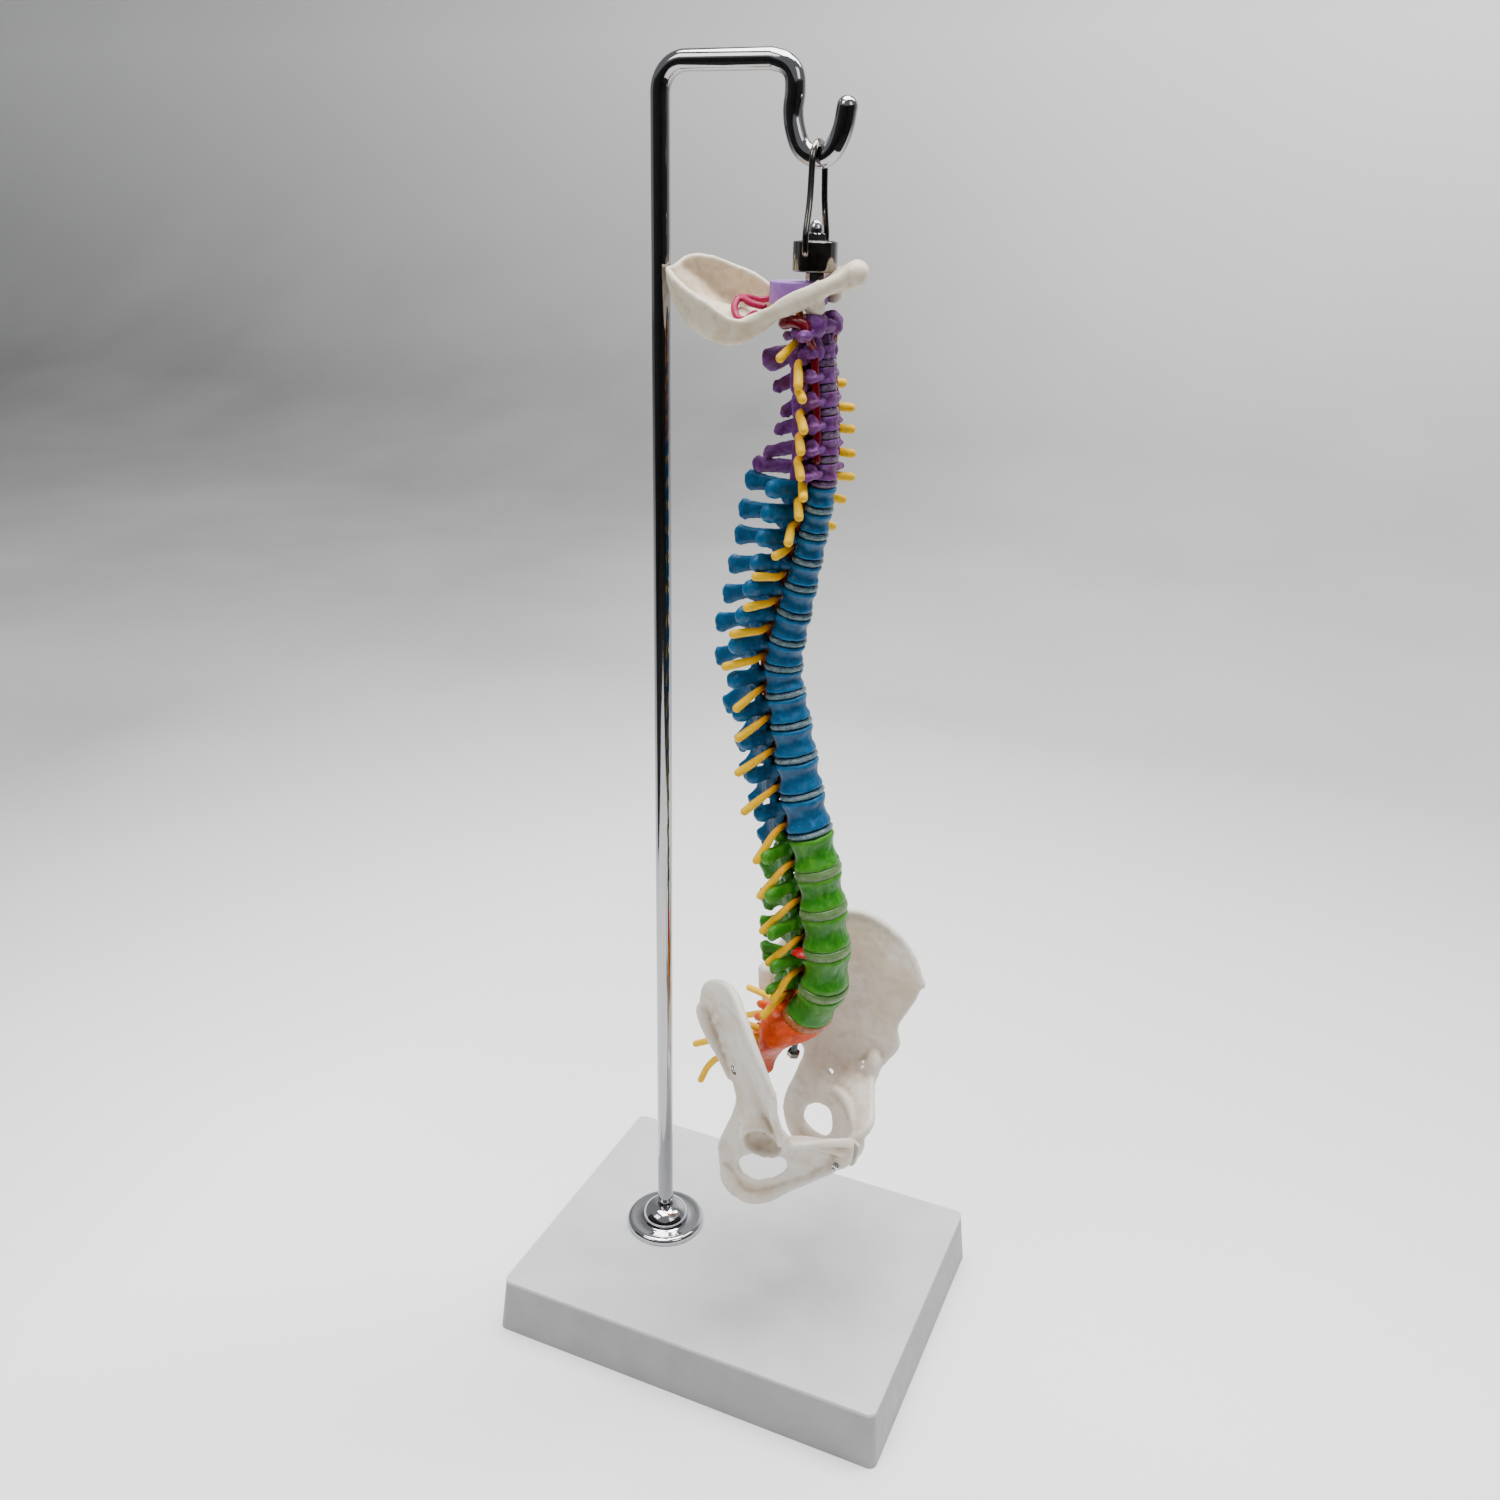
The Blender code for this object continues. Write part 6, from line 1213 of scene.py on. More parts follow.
def add_axis_forms(clay, row):
    """The second neck vertebra's forked end, broad shoulders and peg."""
    for side in (1, -1):
        tip = row.frame @ Vector((-row.reach + 2.2 * MM, side * 1.7 * MM, -row.drop + 0.6 * MM))
        root = row.frame @ Vector((-row.reach + 11 * MM, 0, -row.drop + 3.0 * MM))
        clay.limb([(tuple(root), *mm(2.2, 3.6)), (tuple(root.lerp(tip, 0.6)), *mm(2.6, 4.6)),
                   (tuple(tip), *mm(2.4, 4.9))], UP, 16, 5)
        clay.ball(at(row.frame, *mm(-1.5, side * 7.6, 0.2)), mm(4.8, 3.6, 4.2))
    clay.limb([(tuple(column_frame(z * MM).translation), radius * MM, radius * MM) for z, radius in DENS],
              FORWARD, 20, 5)
    top = column_frame(AXIS_TOP_Z)
    for side in (1, -1):
        clay.limb([(at(top, *mm(-0.5, side * 4.5, -4)), *mm(2.4, 2.0)),
                   (at(top, *mm(-0.5, side * 7.0, 1.0)), *mm(2.7, 2.2))], FORWARD, 16)


def make_vertebra(row):
    clay = Clay()
    add_arch(clay, row)
    add_spine(clay, row)
    add_wings(clay, row)
    clay.place(row.frame)
    add_body(clay, row)
    add_joints(clay, row)
    if row.name == "c2":
        add_axis_forms(clay, row)
    bone = melt(clay.object("painted_" + row.name), row.voxel, 4, row.relief, row.grain)
    show(bone, "hanging_spine", "vertebra_" + row.name, row.paint)


def make_atlas():
    clay = Clay()
    rings = []
    for angle in np.linspace(0, 2 * math.pi, 48, endpoint=False):
        way = np.array([math.cos(angle), math.sin(angle), 0])
        centre = np.array([-4.6 * MM + 10 * MM * way[0], 8.6 * MM * way[1], -0.4 * MM])
        rings.append([centre + way * 1.25 * MM * math.cos(a) + np.array([0, 0, 1.75 * MM * math.sin(a)])
                      for a in np.linspace(0, 2 * math.pi, 12, endpoint=False)])
    clay.add_rings(rings, True)
    for x, z, size in ATLAS_MIDDLE:
        clay.ball(mm(x, 0, z), mm(*size))
    for side in (1, -1):
        for x, y, z, size in ATLAS_LUMPS:
            clay.ball(mm(x, side * y, z), mm(*size))
        for rows, up, sides, power in ATLAS_BARS:
            clay.limb(rows_mm(rows, side), up, sides, 4, power)
    clay.place(column_frame(ATLAS_Z))
    atlas = melt(clay.object("painted_c1"), 0.5 * MM, 4, 1.1 * MM, 2.8 * MM)
    show(atlas, "hanging_spine", "vertebra_c1", "cervical_paint")


def core_points():
    """The core's way from the block down through the bodies to its end under the sacrum."""
    heights = [503 * MM, 498 * MM, AXIS_TOP_Z] + [row.bottom for row in ROWS]
    heights += [178 * MM, 168 * MM, CORE_END_Z]
    top = Vector((HANG_X, 0, BLOCK_BOTTOM_Z - SEAT_GAP))
    return [top, top - Vector((0, 0, 1.5 * MM))] + [column_frame(z).translation for z in heights]


def make_discs():
    """The discs on their core; the neck's, the loin's and the lowest are of other tints."""
    half = DISC_THICKNESS / 2
    pieces = []
    for row in ROWS:
        depth = (row.depth + row.below.depth) / 2
        width = (row.width + row.below.width) / 2
        upper = DISC_PROFILES[row.region]
        profile = [(-rise, size) for rise, size in upper[:-1]] + upper[::-1]
        clay = Clay()
        clay.add_rings([body_ring(row.disc @ Matrix.Translation((0, 0, rise * half)), depth * size,
                                  width * size, DISC_SIDES)
                        for rise, size in profile])
        disc = clay.object("disc_" + row.name)
        disc.data.shade_smooth()
        # Painted shade: the mark called hollow grows towards the disc's upper and lower faces, where it meets
        # the bone, and the disc plastic darkens there.
        edges = np.repeat([row.rim * max(0, abs(rise) - 0.35) for rise, size in profile], DISC_SIDES)
        store(disc.data, "hollow", np.append(edges, [0, 0]))
        pieces.append(disc)
    neck, chest, loin, last = pieces[:6], pieces[6:18], pieces[18:-1], pieces[-1]
    core = wire("core", [Vector(p) for p in spread([tuple(p) for p in core_points()], 4)], CORE_RADIUS)
    discs = join("clear_discs", [core] + chest)
    show(discs, "hanging_spine", "flexible_core_and_discs", "chest_disc_plastic")
    for piece, name, material in ((join("neck_discs", neck), "neck_discs", "neck_disc_plastic"),
                                  (join("loin_discs", loin), "loin_discs", "loin_disc_plastic"),
                                  (last, "lumbosacral_disc", "sacral_disc_plastic")):
        finish(piece, material)
        piece.name = name
        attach(piece, "hanging_spine")


def cord_points():
    """The cord's way from the block down through the canal."""
    top = Vector((HANG_X + BALANCE_X - BLOCK_BACK, BALANCE_Y, BLOCK_BOTTOM_Z - SEAT_GAP))
    path = [top, top - Vector((0, 0, 1.5 * MM)), column_frame(ATLAS_Z) @ Vector(mm(-7.8, 0, 1))]
    path.append(column_frame(AXIS_TOP_Z) @ Vector((ROWS[0].centre, 0, 0)))
    path += [row.disc @ Vector((row.gap_centre, 0, 0)) for row in ROWS]
    return path + [pelvis_point(*spot) for spot in CORD_END]


def make_cord():
    """The cord with its pairs of pill-ended nerves, redder towards the cord."""
    clay = Clay()
    marks = []

    def nerve(stations):
        rings = clay.limb(stations, UP, 14, 5)
        marks.extend(np.repeat(np.linspace(0, 1, len(rings)), 14).tolist() + [0, 1])

    path = spread([tuple(p) for p in cord_points()], 4)
    rings = limb_rings([(tuple(p), CORD_RADIUS, CORD_RADIUS) for p in path], FORWARD, 16, 1, 2.0)
    clay.add_rings(rings)
    marks.extend([0] * (len(rings) * 16 + 2))
    first = column_frame(AXIS_TOP_Z)
    fine = NERVE_RADIUS * NERVE_NECK
    for side in (1, -1):
        nerve([(at(first, *mm(-7.4, side * 0.5, 0.2)), fine, fine),
               (at(first, *mm(-8.4, side * 9, 0)), fine * 1.1, fine * 1.1),
               (at(first, *mm(-11, side * 18.5, -4.5)), NERVE_RADIUS, NERVE_RADIUS)])
        for row in ROWS:
            neck = row.region == "c"
            rise = 0.7 * MM if neck else 0.18 * row.pitch + 0.4 * MM
            gate_y = row.wing + 0.8 * MM if neck and row.name != "c7" else row.width + 0.6 * MM
            start = row.disc @ Vector((row.gap_centre, side * 0.5 * MM, rise + 0.4 * MM))
            gate = row.disc @ Vector((row.gap_centre + NERVE_SLOT, side * gate_y, rise))
            droop = 1.8 * MM if row.name in DROOPING_NERVES else 0
            ahead, lift = FAR_NERVES.get(row.name, (2.0 * MM, 0)) if side > 0 else (0, 0)
            end = row.disc @ Vector((row.nerve_x + ahead, side * NERVE_REACH, row.nerve_z + lift - droop))
            nerve([(tuple(start), fine, fine), (tuple(gate), fine * 1.15, fine * 1.15),
                   (tuple(gate.lerp(end, 0.5)), NERVE_RADIUS, NERVE_RADIUS),
                   (tuple(end), NERVE_RADIUS * 1.03, NERVE_RADIUS * 1.03)])
    cord = clay.object("cord_and_nerves")
    cord.data.shade_smooth()
    store(cord.data, "along", marks)
    show(cord, "hanging_spine", "spinal_cord_and_nerves", "nerve_paint")


def make_sacral_nerves():
    for side_name, side in SIDES:
        for level, spots in SACRAL_NERVES.items():
            clay = Clay()
            rings = clay.limb([(tuple(pelvis_point(*sided(spot, side))), SACRAL_NERVE_RADIUS,
                                SACRAL_NERVE_RADIUS)
                               for spot in spots], UP, 14, 6)
            nerve = clay.object("sacral_root_" + level + "_" + side_name)
            nerve.data.shade_smooth()
            store(nerve.data, "along", np.repeat(np.linspace(0.2, 1, len(rings)), 14).tolist() + [0.2, 1])
            show(nerve, "hanging_spine", "sacral_nerve_" + level + "_" + side_name,
                 "nerve_paint")


def make_arteries():
    for name, side in SIDES:
        places = [NAMED["c6"].frame @ Vector(mm(0.2, side * 10.2, -4.4))]
        places += [NAMED[level].frame @ Vector(mm(0, side * y, 0)) for level, y in ARTERY_NECK]
        places += [column_frame(ATLAS_Z) @ Vector(mm(*sided(spot, side))) for spot in ARTERY_TOP]
        path = spread([tuple(p) for p in places], 6)
        swell = ARTERY_RADIUS * (1 + 0.5 * np.clip((path[:, 2] - ATLAS_Z + 4 * MM) / (4 * MM), 0, 1))
        clay = Clay()
        clay.add_rings(limb_rings([(tuple(p), r, r) for p, r in zip(path, swell)], (1, 0, 0.01), 16, 1, 2.0))
        artery = clay.object("artery_" + name)
        artery.data.shade_smooth()
        mark_hollows(artery.data)
        show(artery, "hanging_spine", "vertebral_artery_" + name, "artery_paint")


def make_herniation():
    clay = Clay()
    x, y, z = HERNIA_SIZE
    clay.ball((0, 0, 0), (x, y, z))
    clay.ball((-0.45 * x, -0.3 * y, 0.05 * z), (0.45 * x, 0.6 * y, 0.8 * z))
    clay.ball((0.35 * x, -0.4 * y, -0.1 * z), (0.5 * x, 0.5 * y, 0.75 * z))
    clay.place(NAMED["l3"].disc @ Matrix.Translation(HERNIA_PLACE))
    bulge = melt(clay.object("red_bulge"), 0.35 * MM, 3, 0.4 * MM, 1.6 * MM)
    show(bulge, "hanging_spine", "disc_herniation", "hernia_paint")


# Pelvis


PELVIS = Matrix.Translation((HANG_X + BALANCE_X, BALANCE_Y, 0)) @ Matrix.Rotation(TWIST, 4, "Z")


def pelvis_point(forward, left, up):
    """A point of the pelvis, given in millimetres."""
    return PELVIS @ Vector(mm(forward, left, up))


def pelvis_way(forward, left, up):
    """A direction of the pelvis."""
    return Matrix.Rotation(TWIST, 3, "Z") @ Vector((forward, left, up))


def spread_grid(rows, steps):
    """A grid of points made finer both ways."""
    grid = np.array([spread(row, steps) for row in rows])
    return np.stack([spread(grid[:, i], steps) for i in range(grid.shape[1])], 1)


def grid_normals(grid):
    return unit(np.cross(np.gradient(grid, axis=0), np.gradient(grid, axis=1)))


def add_sheet(clay, grid, normals, half):
    """A curved plate of varying thickness round a middle surface."""
    rows, columns = grid.shape[:2]
    first = clay.count
    for sign in (1, -1):
        clay.points.append((grid + sign * normals * half[..., None]).reshape(-1, 3))
        clay.count += rows * columns
    top = first + np.arange(rows * columns).reshape(rows, columns)
    bottom = top + rows * columns
    for sheet, flip in ((top, 1), (bottom, -1)):
        quads = np.stack([sheet[:-1, :-1], sheet[1:, :-1], sheet[1:, 1:], sheet[:-1, 1:]],
                         -1).reshape(-1, 4)[:, ::flip]
        clay.faces.extend(map(tuple, quads.tolist()))
    loop = [(0, i) for i in range(columns - 1)] + [(j, columns - 1) for j in range(rows - 1)]
    loop += [(rows - 1, i) for i in range(columns - 1, 0, -1)] + [(j, 0) for j in range(rows - 1, 0, -1)]
    for (a, b), (c, d) in zip(loop, loop[1:] + loop[:1]):
        clay.faces.append((int(top[a, b]), int(top[c, d]), int(bottom[c, d]), int(bottom[a, b])))


def ball_tool(name, centre, radius, sides=32):
    clay = Clay()
    clay.ball(tuple(centre), (radius,) * 3, None, sides)
    return clay.object(name)


def bar_tool(name, start, end, radius, sides=24):
    return wire(name, [Vector(start), Vector(start).lerp(Vector(end), 0.5), Vector(end)], radius, None, sides)


def foramen_tool(side):
    """An oval prism through the lower part of a hip bone."""
    centre = pelvis_point(*sided(FORAMEN_CENTRE, side))
    through = pelvis_way(0.32, side * 0.95, -0.1).normalized()
    along = pelvis_way(0.80, side * -0.22, 0.50)
    along = (along - through * along.dot(through)).normalized()
    across = through.cross(along)
    angles = np.linspace(0, 2 * math.pi, 40, endpoint=False)
    clay = Clay()
    clay.add_rings([[tuple(centre + through * shift + along * (FORAMEN_HALF_LENGTH * math.cos(a))
                           + across * (FORAMEN_HALF_HEIGHT * math.sin(a))) for a in angles]
                    for shift in (-14 * MM, 14 * MM)])
    return clay.object("oval")


def hip_forms(side):
    """The blade and ring of a hip bone as one sheet, with its crest, socket, rims and lines."""
    mirror = np.array([1, side, 1])
    grid = spread_grid(np.array(HIP_ROWS, float) * mirror * MM, 6)
    normals = grid_normals(grid)
    u = np.linspace(0, 1, grid.shape[1])[None, :]
    v = np.linspace(0, 1, grid.shape[0])[:, None]
    edge = np.maximum(np.abs(2 * u - 1), 0) ** 4 * np.ones_like(v)
    blade = np.exp(-((v - 0.2) / 0.16) ** 2) * np.exp(-((u - 0.5) / 0.3) ** 2)
    half = (1.6 + 0.45 * edge - 0.35 * blade) * MM
    clay = Clay()
    add_sheet(clay, grid, normals, half)
    crest = spread(np.array(CREST, float) * mirror * MM, 5)
    swell = CREST_RADIUS * (0.95 + 0.10 * np.cos(np.linspace(-3, 3, len(crest))))
    clay.limb([(tuple(p), r, r) for p, r in zip(crest, swell)], UP, 16, 1)
    facing = Vector(sided(SOCKET_FACING, side)).normalized()
    socket = Vector(sided(SOCKET_CENTRE, side)) * MM
    outer = SOCKET_RADIUS + SOCKET_WALL
    clay.add_rings(limb_rings([(tuple(socket + facing * reach * MM), outer * scale, outer * scale)
                               for reach, scale in SOCKET_FLARE], UP, 40, 3, 2.0, 1))
    for route in HIP_RAMI:
        clay.limb(rows_mm([(x, y, z, r, r) for x, y, z, r in route], side), LEFT, 16, 5)
    clay.ball(mm(-12, side * 27, 90), mm(5.6, 4.4, 9.5), Matrix.Rotation(math.radians(-38), 3, "Y"))
    clay.ball(mm(*sided(PUBIC_BODY_CENTRE, side)), mm(4.6, 4.2, 9), Matrix.Rotation(SYMPHYSIS_LEAN, 3, "Y"))
    clay.limb(rows_mm(HIP_REAR, side), LEFT, 16, 5)
    outward = 1 if (normals[20, 18] * np.array([0, side, 0])).sum() > 0 else -1
    for line in HIP_LINES:
        spots = []
        for du, dv in line:
            i, j = int(dv * (grid.shape[0] - 1)), int(du * (grid.shape[1] - 1))
            spots.append((tuple(grid[i, j] + outward * normals[i, j] * (half[i, j] - 0.15 * MM)), 0.9 * MM,
                          0.7 * MM))
        clay.limb(spots, (0, side, 0), 10, 6)
    clay.place(PELVIS)
    return clay


def make_hip(name, side):
    hip = melt(hip_forms(side).object("hip_bone_" + name), 0.8 * MM, 3, 0)
    facing = Matrix.Rotation(TWIST, 3, "Z") @ Vector(sided(SOCKET_FACING, side)).normalized()
    socket = pelvis_point(*sided(SOCKET_CENTRE, side))
    carve(hip, ball_tool("ball", socket + facing * 11.6 * MM, SOCKET_RADIUS, 48))
    carve(hip, ball_tool("notch", socket + facing * 4.2 * MM, 3.4 * MM))
    carve(hip, foramen_tool(side))
    small = pelvis_point(*sided(SOCKET_HOLE_CENTRE, side))
    way = pelvis_way(0.1, side, 0).normalized()
    carve(hip, bar_tool("hole", small - way * 8 * MM, small + way * 8 * MM, SOCKET_HOLE_WIDTH / 2))
    x, y, z = mm(*SYMPHYSIS_CENTRE)
    reach = SYMPHYSIS_THICKNESS / 2 + SEAT_GAP
    carve(hip, box("slab", (x - 20 * MM, y - reach, z - 25 * MM), (x + 20 * MM, y + reach, z + 25 * MM),
                   PELVIS))
    melt(hip, 0.8 * MM, 4, 0.55 * MM, 5 * MM)
    way = pelvis_way(0, side, 0)
    seat = pelvis_point(*sided(SACRAL_SCREW_PLACE, side)) - way * SEAT_GAP
    carve(hip, bar_tool("sink", seat, seat + way * 10 * MM, SCREW_HEAD_RADIUS + SCREW_CLEARANCE, 32))
    middle = pelvis_point(*SYMPHYSIS_SCREW_PLACE)
    way = pelvis_way(0, 17 * MM, 0)
    carve(hip, bar_tool("screw", middle - way, middle + way, SCREW_RADIUS + SCREW_CLEARANCE))
    soften(hip, 60)
    mark_hollows(hip.data)
    show(hip, "hanging_spine", "hip_" + name, "hip_plastic")


def make_sacrum():
    sides = 40
    last = ROWS[-1]
    seat = last.disc @ Matrix.Translation((0, 0, -(DISC_THICKNESS / 2 + SEAT_GAP)))
    table = spread([list(row) for row in SACRUM], 4)
    rings = [body_ring(seat, last.depth * 0.96, last.width * 0.96, sides),
             body_ring(seat @ Matrix.Translation((0, 0, -0.6 * MM)), last.depth, last.width, sides)]
    for i, (x, z, half_width, front, back) in enumerate(table):
        before = table[max(i - 1, 0)]
        after = table[min(i + 1, len(table) - 1)]
        down = Vector((after[0] - before[0], 0, after[1] - before[1])).normalized()
        ahead = Vector((-down.z, 0, down.x))
        ring = []
        for k in range(sides):
            angle = 2 * math.pi * k / sides
            forward = math.cos(angle)
            reach = (front if forward > 0 else back) * forward
            spot = Vector((x, half_width * math.sin(angle), z)) + ahead * reach
            ring.append(tuple(pelvis_point(*spot)))
        rings.append(ring)
    clay = Clay()
    clay.add_rings(rings[::-1])
    for x, z, reach, height in SACRAL_CREST:
        clay.limb([(tuple(pelvis_point(x + 4, 0, z)), 2.2 * MM, height * MM),
                   (tuple(pelvis_point(x - reach * 0.7, 0, z)), 1.5 * MM, height * MM),
                   (tuple(pelvis_point(x - reach, 0, z - 1)), 1.3 * MM, height * 0.8 * MM)], UP, 16, 4, 2.4)
    for side in (1, -1):
        end = at(last.disc, last.centre - FACET_SETBACK, side * 5.4 * MM, last.overlap)
        clay.limb([(tuple(pelvis_point(-6, side * 7, 174)), *mm(2.0, 2.6)),
                   (end, FACET_THICKNESS / 2, 2.1 * MM)],
                  tuple(pelvis_way(0, 1, 0)), 16)
        for spot in SACRAL_LUMPS:
            clay.ball(tuple(pelvis_point(*sided(spot, side))), mm(1.7, 1.6, 2.6))
    sacrum = melt(clay.object("painted_sacrum"), 0.62 * MM, 3, 0)
    for side in (1, -1):
        for start, end, *_ in SACRAL_NERVES.values():
            carve(sacrum, bar_tool("hole", pelvis_point(*sided(start, side)),
                                   pelvis_point(*sided(end, side)), 2.1 * MM))
    melt(sacrum, 0.6 * MM, 4, 0.55 * MM, 3.0 * MM)
    show(sacrum, "hanging_spine", "sacrum_and_coccyx", "sacral_paint")


def screw_head(name, seat, way, length, node):
    """A pan-headed screw with a crossed recess, its head's underside on the seat."""
    top = SCREW_HEAD_HEIGHT
    profile = [(0, top)]
    for k in range(1, 9):
        angle = math.pi / 2 * k / 8
        profile.append((SCREW_HEAD_RADIUS * math.sin(angle) ** 0.8, top * (0.45 + 0.55 * math.cos(angle))))
    profile += [(SCREW_HEAD_RADIUS, 0.15 * MM), (SCREW_HEAD_RADIUS - 0.15 * MM, 0), (SCREW_RADIUS, 0)]
    depth = 0
    while depth > -length + 1.2 * MM:
        profile += [(SCREW_RADIUS, depth - 0.1 * MM), (SCREW_RADIUS * 0.78, depth - 0.45 * MM),
                    (SCREW_RADIUS, depth - 0.8 * MM)]
        depth -= SCREW_PITCH
    profile.append((0, -length))
    screw = turned(name, profile, 40)
    for x, y in (SCREW_SLOT, SCREW_SLOT[::-1]):
        cut(screw, box("slot", (-x, -y, top - 0.75 * MM), (x, y, top + 1 * MM)))
    turn = Vector(UP).rotation_difference(way).to_matrix().to_4x4()
    screw.data.transform(Matrix.Translation(seat) @ turn @ Matrix.Rotation(math.radians(20), 4, "Z"))
    show(soften(screw, 35), "hanging_spine", node, "chrome_plate")


def make_screws():
    for name, side in SIDES:
        screw_head("screw_" + name, pelvis_point(*sided(SACRAL_SCREW_PLACE, side)), pelvis_way(0, side, 0),
                   SCREW_LENGTH,
                   "sacral_screw_" + name)
    left, right = SYMPHYSIS_SCREW_ENDS
    seat = pelvis_point(*SYMPHYSIS_SCREW_PLACE) + pelvis_way(0, 1, 0) * right
    screw_head("pubic_screw", seat, pelvis_way(0, -1, 0), left - right, "symphysis_screw")


# Skull base


def skull_place():
    pivot = Matrix.Translation((0, 0, SKULL_PIVOT_Z))
    roll = pivot @ Matrix.Rotation(OCCIPUT_ROLL, 4, "X") @ pivot.inverted()
    return Matrix.Translation((HANG_X + BALANCE_X, BALANCE_Y, 0)) @ roll


OCCIPUT_FINE = spread([list(row) for row in OCCIPUT], 5)


def occiput_local(x, across, inset=0):
    """A point of the scoop's middle surface, before the skull's roll."""
    table = OCCIPUT_FINE
    x = min(max(x, table[0][0]), table[-1][0])
    half_width, rim, floor, ridge = (np.interp(x, table[:, 0], table[:, k]) for k in range(1, 5))
    side = abs(across)
    if side > 0.5:
        rise = (side - 0.5) / 0.5
        z = floor + (rim - floor) * (1 - math.sqrt(max(1 - rise ** 2, 0))) * (0.4 + 0.6 * rise)
    else:
        z = floor + (ridge - floor) * (0.5 + 0.5 * math.cos(2 * math.pi * side))
    return (x * MM, half_width * MM * math.sin(math.pi / 2 * across), z * MM + inset)


def make_occiput():
    across = np.sin(np.linspace(-math.pi / 2, math.pi / 2, 33))
    grid = np.array([[occiput_local(x, share) for share in across] for x in OCCIPUT_FINE[:, 0]])
    clay = Clay()
    add_sheet(clay, grid, grid_normals(grid), np.full(grid.shape[:2], OCCIPUT_WALL / 2))
    rim = [grid[i, 0] for i in range(len(grid) - 1, -1, -1)] + [grid[0, j] for j in range(1, grid.shape[1])]
    rim += [grid[i, -1] for i in range(1, len(grid))]
    clay.limb([(tuple(p), OCCIPUT_WALL * 0.66, OCCIPUT_WALL * 0.66) for p in rim[::2]], (0, 0.1, 1), 14, 1)
    clay.limb(rows_mm([(x, 0, z, wide, tall) for x, z, wide, tall in CLIVUS]), UP, 20, 5, 2.4)
    for side in (1, -1):
        clay.ball(sided(CONDYLE, side), mm(4.6, 3.2, 4.0))
        clay.limb(rows_mm(OCCIPUT_SHOULDER, side), UP, 14, 5)
    clay.limb(rows_mm(OCCIPUT_CREST), UP, 12, 6)
    clay.place(skull_place())
    scoop = melt(clay.object("skull_base"), 0.7 * MM, 3, 0)
    carve(scoop, drum("hole", BLOCK_RADIUS + SEAT_GAP, 470 * MM, 560 * MM, 64, BLOCK_PLACE))
    melt(scoop, 0.7 * MM, 5, 0.8 * MM, 7 * MM)
    show(scoop, "hanging_spine", "occiput", "bone_paint")


def make_band():
    inset = OCCIPUT_WALL / 2 + BAND_CLEARANCE + BAND_HEIGHT / 2
    clay = Clay()
    for route in BAND_ROUTES:
        clay.limb([(occiput_local(x, share, inset + lift * MM), BAND_WIDTH * 0.68, BAND_WIDTH * 0.62)
                   for x, share, lift in route], UP, 16, 5)
    clay.place(skull_place())
    band = melt(clay.object("magenta_band"), 0.35 * MM, 3, 0.15 * MM, 2 * MM)
    show(band, "hanging_spine", "sinus_band", "sinus_paint")


def make_block():
    edge = 0.5 * MM
    profile = [(0, BLOCK_TOP_Z), (BLOCK_RADIUS - 1.5 * MM, BLOCK_TOP_Z),
               (BLOCK_RADIUS - 1.3 * MM, BLOCK_TOP_Z - 0.25 * MM), (BLOCK_RADIUS - 1.0 * MM, BLOCK_TOP_Z)]
    profile += arc((BLOCK_RADIUS - edge, BLOCK_TOP_Z - edge), (edge, edge), 90, 0, 5)
    profile += [(BLOCK_RADIUS, BLOCK_BOTTOM_Z + edge), (BLOCK_RADIUS - edge, BLOCK_BOTTOM_Z),
                (0, BLOCK_BOTTOM_Z)]
    block = turned("lilac_block", profile, 96, BLOCK_PLACE)
    cut(block, drum("bore", STUD_RADIUS + SEAT_GAP, 490 * MM, 540 * MM, 40, (HANG_X, 0, 0)))
    show(soften(block, 38), "hanging_spine", "brainstem_block", "block_paint")


def hexagon(radius, z, x=0, turn=0):
    return [(x + radius * math.cos(a), radius * math.sin(a), z) for a in np.arange(6) * math.pi / 3 + turn]


def make_dome_nut():
    base = NUT_BASE_Z
    top = base + DOME_NUT_HEIGHT
    half = DOME_NUT_WIDTH / 2
    corner = DOME_NUT_WIDTH / math.sqrt(3)
    clay = Clay()
    clay.add_rings([hexagon(corner, z) for z in (base, top)])
    nut = clay.object("dome_nut")
    round_corner = corner + 0.1 * MM
    profile = [(0, top), (half, top), (round_corner, top - 0.6 * MM), (round_corner, base + 0.5 * MM),
               (half + 0.1 * MM, base), (0, base)]
    cut(nut, turned("chamfer", profile, 72), "INTERSECT")
    ball = Clay()
    ball.ball((0, 0, top + 1.2 * MM), (DOME_RADIUS, DOME_RADIUS, 1.35 * DOME_RADIUS), None, 40)
    cut(nut, ball.object("ball"), "UNION")
    nut.data.transform(Matrix.Translation((HANG_X, 0, 0)))
    show(soften(nut, 25), "hanging_spine", "hanger_dome_nut", "chrome_plate")


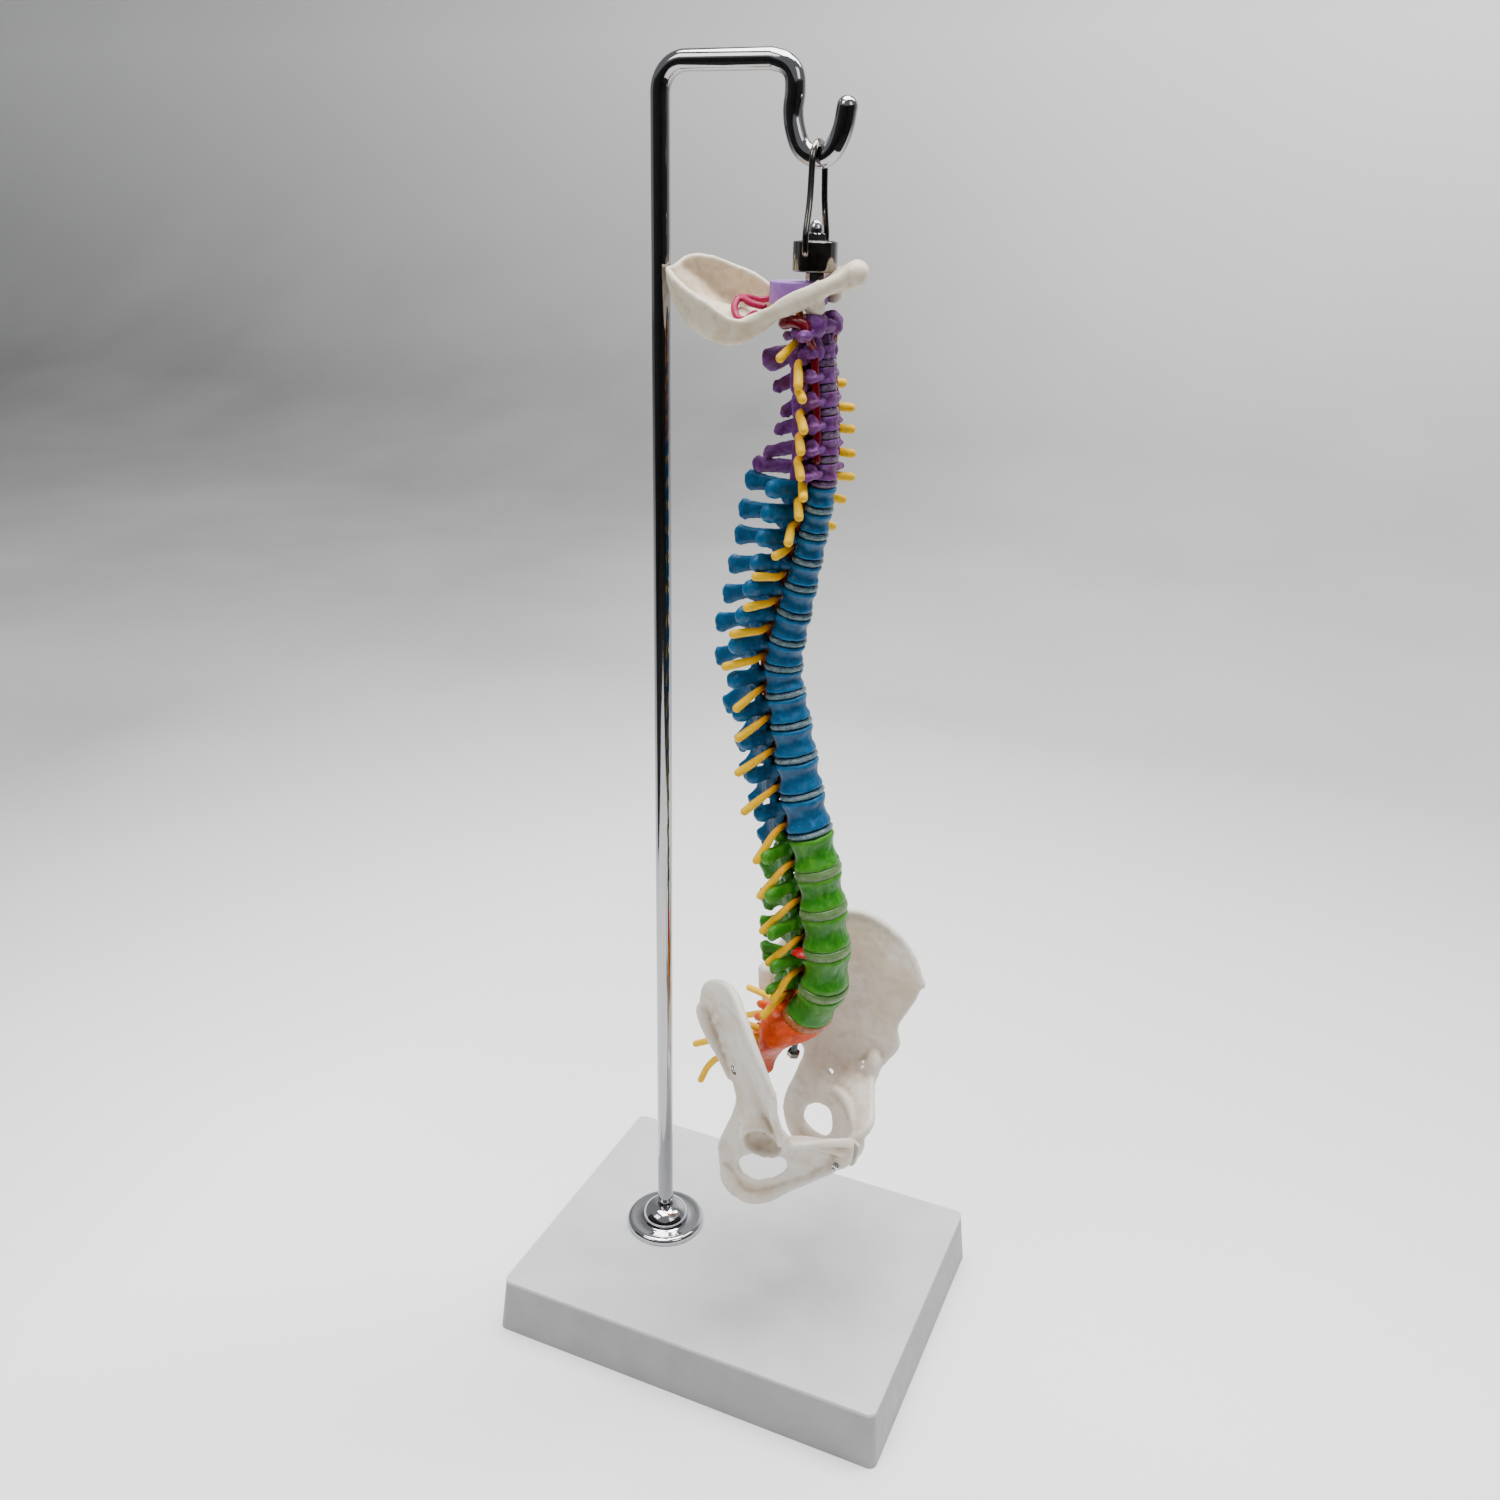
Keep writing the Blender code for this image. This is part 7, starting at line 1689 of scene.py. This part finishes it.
def make_stud():
    stud_top = NUT_BASE_Z + DOME_NUT_HEIGHT - 1.6 * MM
    collar_top = CUP_BOTTOM_Z - SEAT_GAP
    collar = BLOCK_TOP_Z + SEAT_GAP
    profile = [(0, stud_top), (STUD_RADIUS, stud_top)]
    z = stud_top - 0.4 * MM
    while z > BLOCK_BOTTOM_Z + 0.8 * MM:
        if not collar - 0.5 * MM < z < collar_top + 0.5 * MM:
            profile += [(STUD_RADIUS, z), (STUD_RADIUS - 0.25 * MM, z - 0.3 * MM),
                        (STUD_RADIUS, z - 0.6 * MM)]
        z -= STUD_PITCH
    profile += [(STUD_RADIUS, BLOCK_BOTTOM_Z), (0, BLOCK_BOTTOM_Z)]
    stud = turned("stud", profile, 40, (HANG_X, 0, 0))
    clay = Clay()
    edge = 0.35 * MM
    clay.add_rings([hexagon(LOCK_NUT_RADIUS * s, h, HANG_X, 0.3)
                    for h,
                    s in ((collar, 0.92), (collar + edge, 1), (collar_top - edge, 1), (collar_top, 0.92))])
    stud = join("swivel_stud", [stud, clay.object("lock_nut")])
    show(soften(stud, 25), "hanging_spine", "hanger_stud", "chrome_plate")


def finish_small_parts():
    """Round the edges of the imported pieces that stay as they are, and give them their finish."""
    for name, material, edge in SMALL_PARTS:
        obj = frame["nodes"][name]
        bevel = obj.modifiers.new("edges", "BEVEL")
        bevel.width = edge * MM
        bevel.segments = 3
        bevel.limit_method = "ANGLE"
        finish(obj, material)


# Studio


def make_screen():
    """A black folding screen behind and beside the camera, which the polished metal mirrors."""
    count = len(SCREEN)
    rows = ((1, SCREEN_LIFT), (SCREEN_DISTANCE, SCREEN_LIFT), (SCREEN_DISTANCE, SCREEN_HEIGHT))
    mesh = bpy.data.meshes.new("black_screen")
    mesh.from_pydata([(x * far, y * far, z) for far, z in rows for x, y in SCREEN], [],
                     [(row + i, row + i + 1, row + i + 1 + count, row + i + count)
                      for row in (0, count) for i in range(count - 1)])
    paint = Paint("black_screen_paper")
    paint.finish(paint.blotches(80 * MM, (10, 10, 10), (18, 18, 19), 3), 10 * MM, 0.8, 0.95, 3)
    mesh.materials.append(paint.material)
    return placed("black_screen", mesh)


def make_backdrop():
    """A paper sheet that runs from the floor up behind the object, with painted shade farther back and to the
    left and painted light higher up.
    """
    side = [(-2.4, 0)] + [(y, 0) for y in np.linspace(-2.0, 1.6, 10)]
    side += arc((1.6, 1.4), (1.4, 1.4), -90, 0, 12)[1:] + [(3.0, 4.0)]
    columns = (-6.0, -3.0, 0, 3.2)
    count = len(side)
    mesh = bpy.data.meshes.new("backdrop")
    mesh.from_pydata([(x, y, z) for x in columns for y, z in side], [],
                     [(i * count + j, (i + 1) * count + j, (i + 1) * count + j + 1, i * count + j + 1)
                      for i in range(len(columns) - 1) for j in range(count - 1)])
    mesh.shade_smooth()
    paint = Paint("backdrop_paper")
    # Painted shade and light: the paper darkens farther back and towards the left, and lightens higher up the
    # wall; the broad noise is the paper's own uneven tone.
    depth = paint.ramp(paint.span(paint.place("Y"), 0.0, 2.0),
                       [(0.0, rgb(246, 246, 245)), (0.14, rgb(226, 226, 225)), (0.45, rgb(168, 168, 167))])
    sheet = paint.mix(paint.span(paint.place("X"), -0.3, -0.95, 0, 0.9), depth, rgb(136, 136, 135))
    sheet = paint.mix(paint.span(paint.place("Z"), 0.1, 0.9, 0, 0.9), sheet, rgb(240, 240, 239))
    sheet = paint.mix(paint.span(paint.noise(400 * MM, 2), 0.3, 0.7, 0, 0.15), sheet, rgb(214, 214, 213))
    paint.finish(sheet, 20 * MM, 0.75, 0.9, 3)
    paint.bump(paint.noise(1.0 * MM, 2), 0.1, 0.02 * MM)
    mesh.materials.append(paint.material)
    return placed("backdrop", mesh)


def make_light(name, place, aim, width, height, power):
    light = bpy.data.lights.new(name, "AREA")
    light.shape = "RECTANGLE"
    light.size = width
    light.size_y = height
    light.energy = power
    obj = placed(name, light)
    obj.location = place
    obj.rotation_euler = (Vector(aim) - Vector(place)).to_track_quat("-Z", "Y").to_euler()
    return obj


def make_world():
    world = bpy.data.worlds.new("studio")
    bpy.context.scene.world = world
    world.use_nodes = True
    background = world.node_tree.nodes["Background"]
    background.inputs["Color"].default_value = WORLD_COLOUR
    background.inputs["Strength"].default_value = WORLD_STRENGTH


def make_camera():
    camera = bpy.data.cameras.new("camera")
    camera.lens = CAMERA_LENS
    camera.sensor_width = CAMERA_SENSOR
    camera.clip_start = 0.01
    yaw, pitch, roll = map(math.radians, (CAMERA_YAW, CAMERA_PITCH, CAMERA_ROLL))
    ahead = Vector((-math.sin(yaw) * math.cos(pitch), math.cos(yaw) * math.cos(pitch), -math.sin(pitch)))
    level = Vector((math.cos(yaw), math.sin(yaw), 0))
    above = level.cross(ahead)
    right = math.cos(roll) * level + math.sin(roll) * above
    up = -math.sin(roll) * level + math.cos(roll) * above
    matrix = Matrix((right, up, -ahead)).transposed().to_4x4()
    matrix.translation = Vector(CAMERA_PLACE) * MM
    obj = placed("camera", camera)
    obj.matrix_world = matrix
    bpy.context.scene.camera = obj
    return obj


def main():
    for make in (make_base, make_rod, make_flange, make_bail, make_swivel, make_dome_nut, make_stud,
                 make_block,
                 make_occiput, make_band, make_atlas):
        make()
    for row in ROWS:
        make_vertebra(row)
    for make in (make_discs, make_cord, make_arteries, make_herniation, make_sacrum, make_sacral_nerves,
                 make_screws):
        make()
    for name, side in SIDES:
        make_hip(name, side)
    finish_small_parts()
    staged = [make_backdrop(), make_screen()] + [make_light(*row) for row in LIGHTS]
    make_world()
    make_camera()


main()
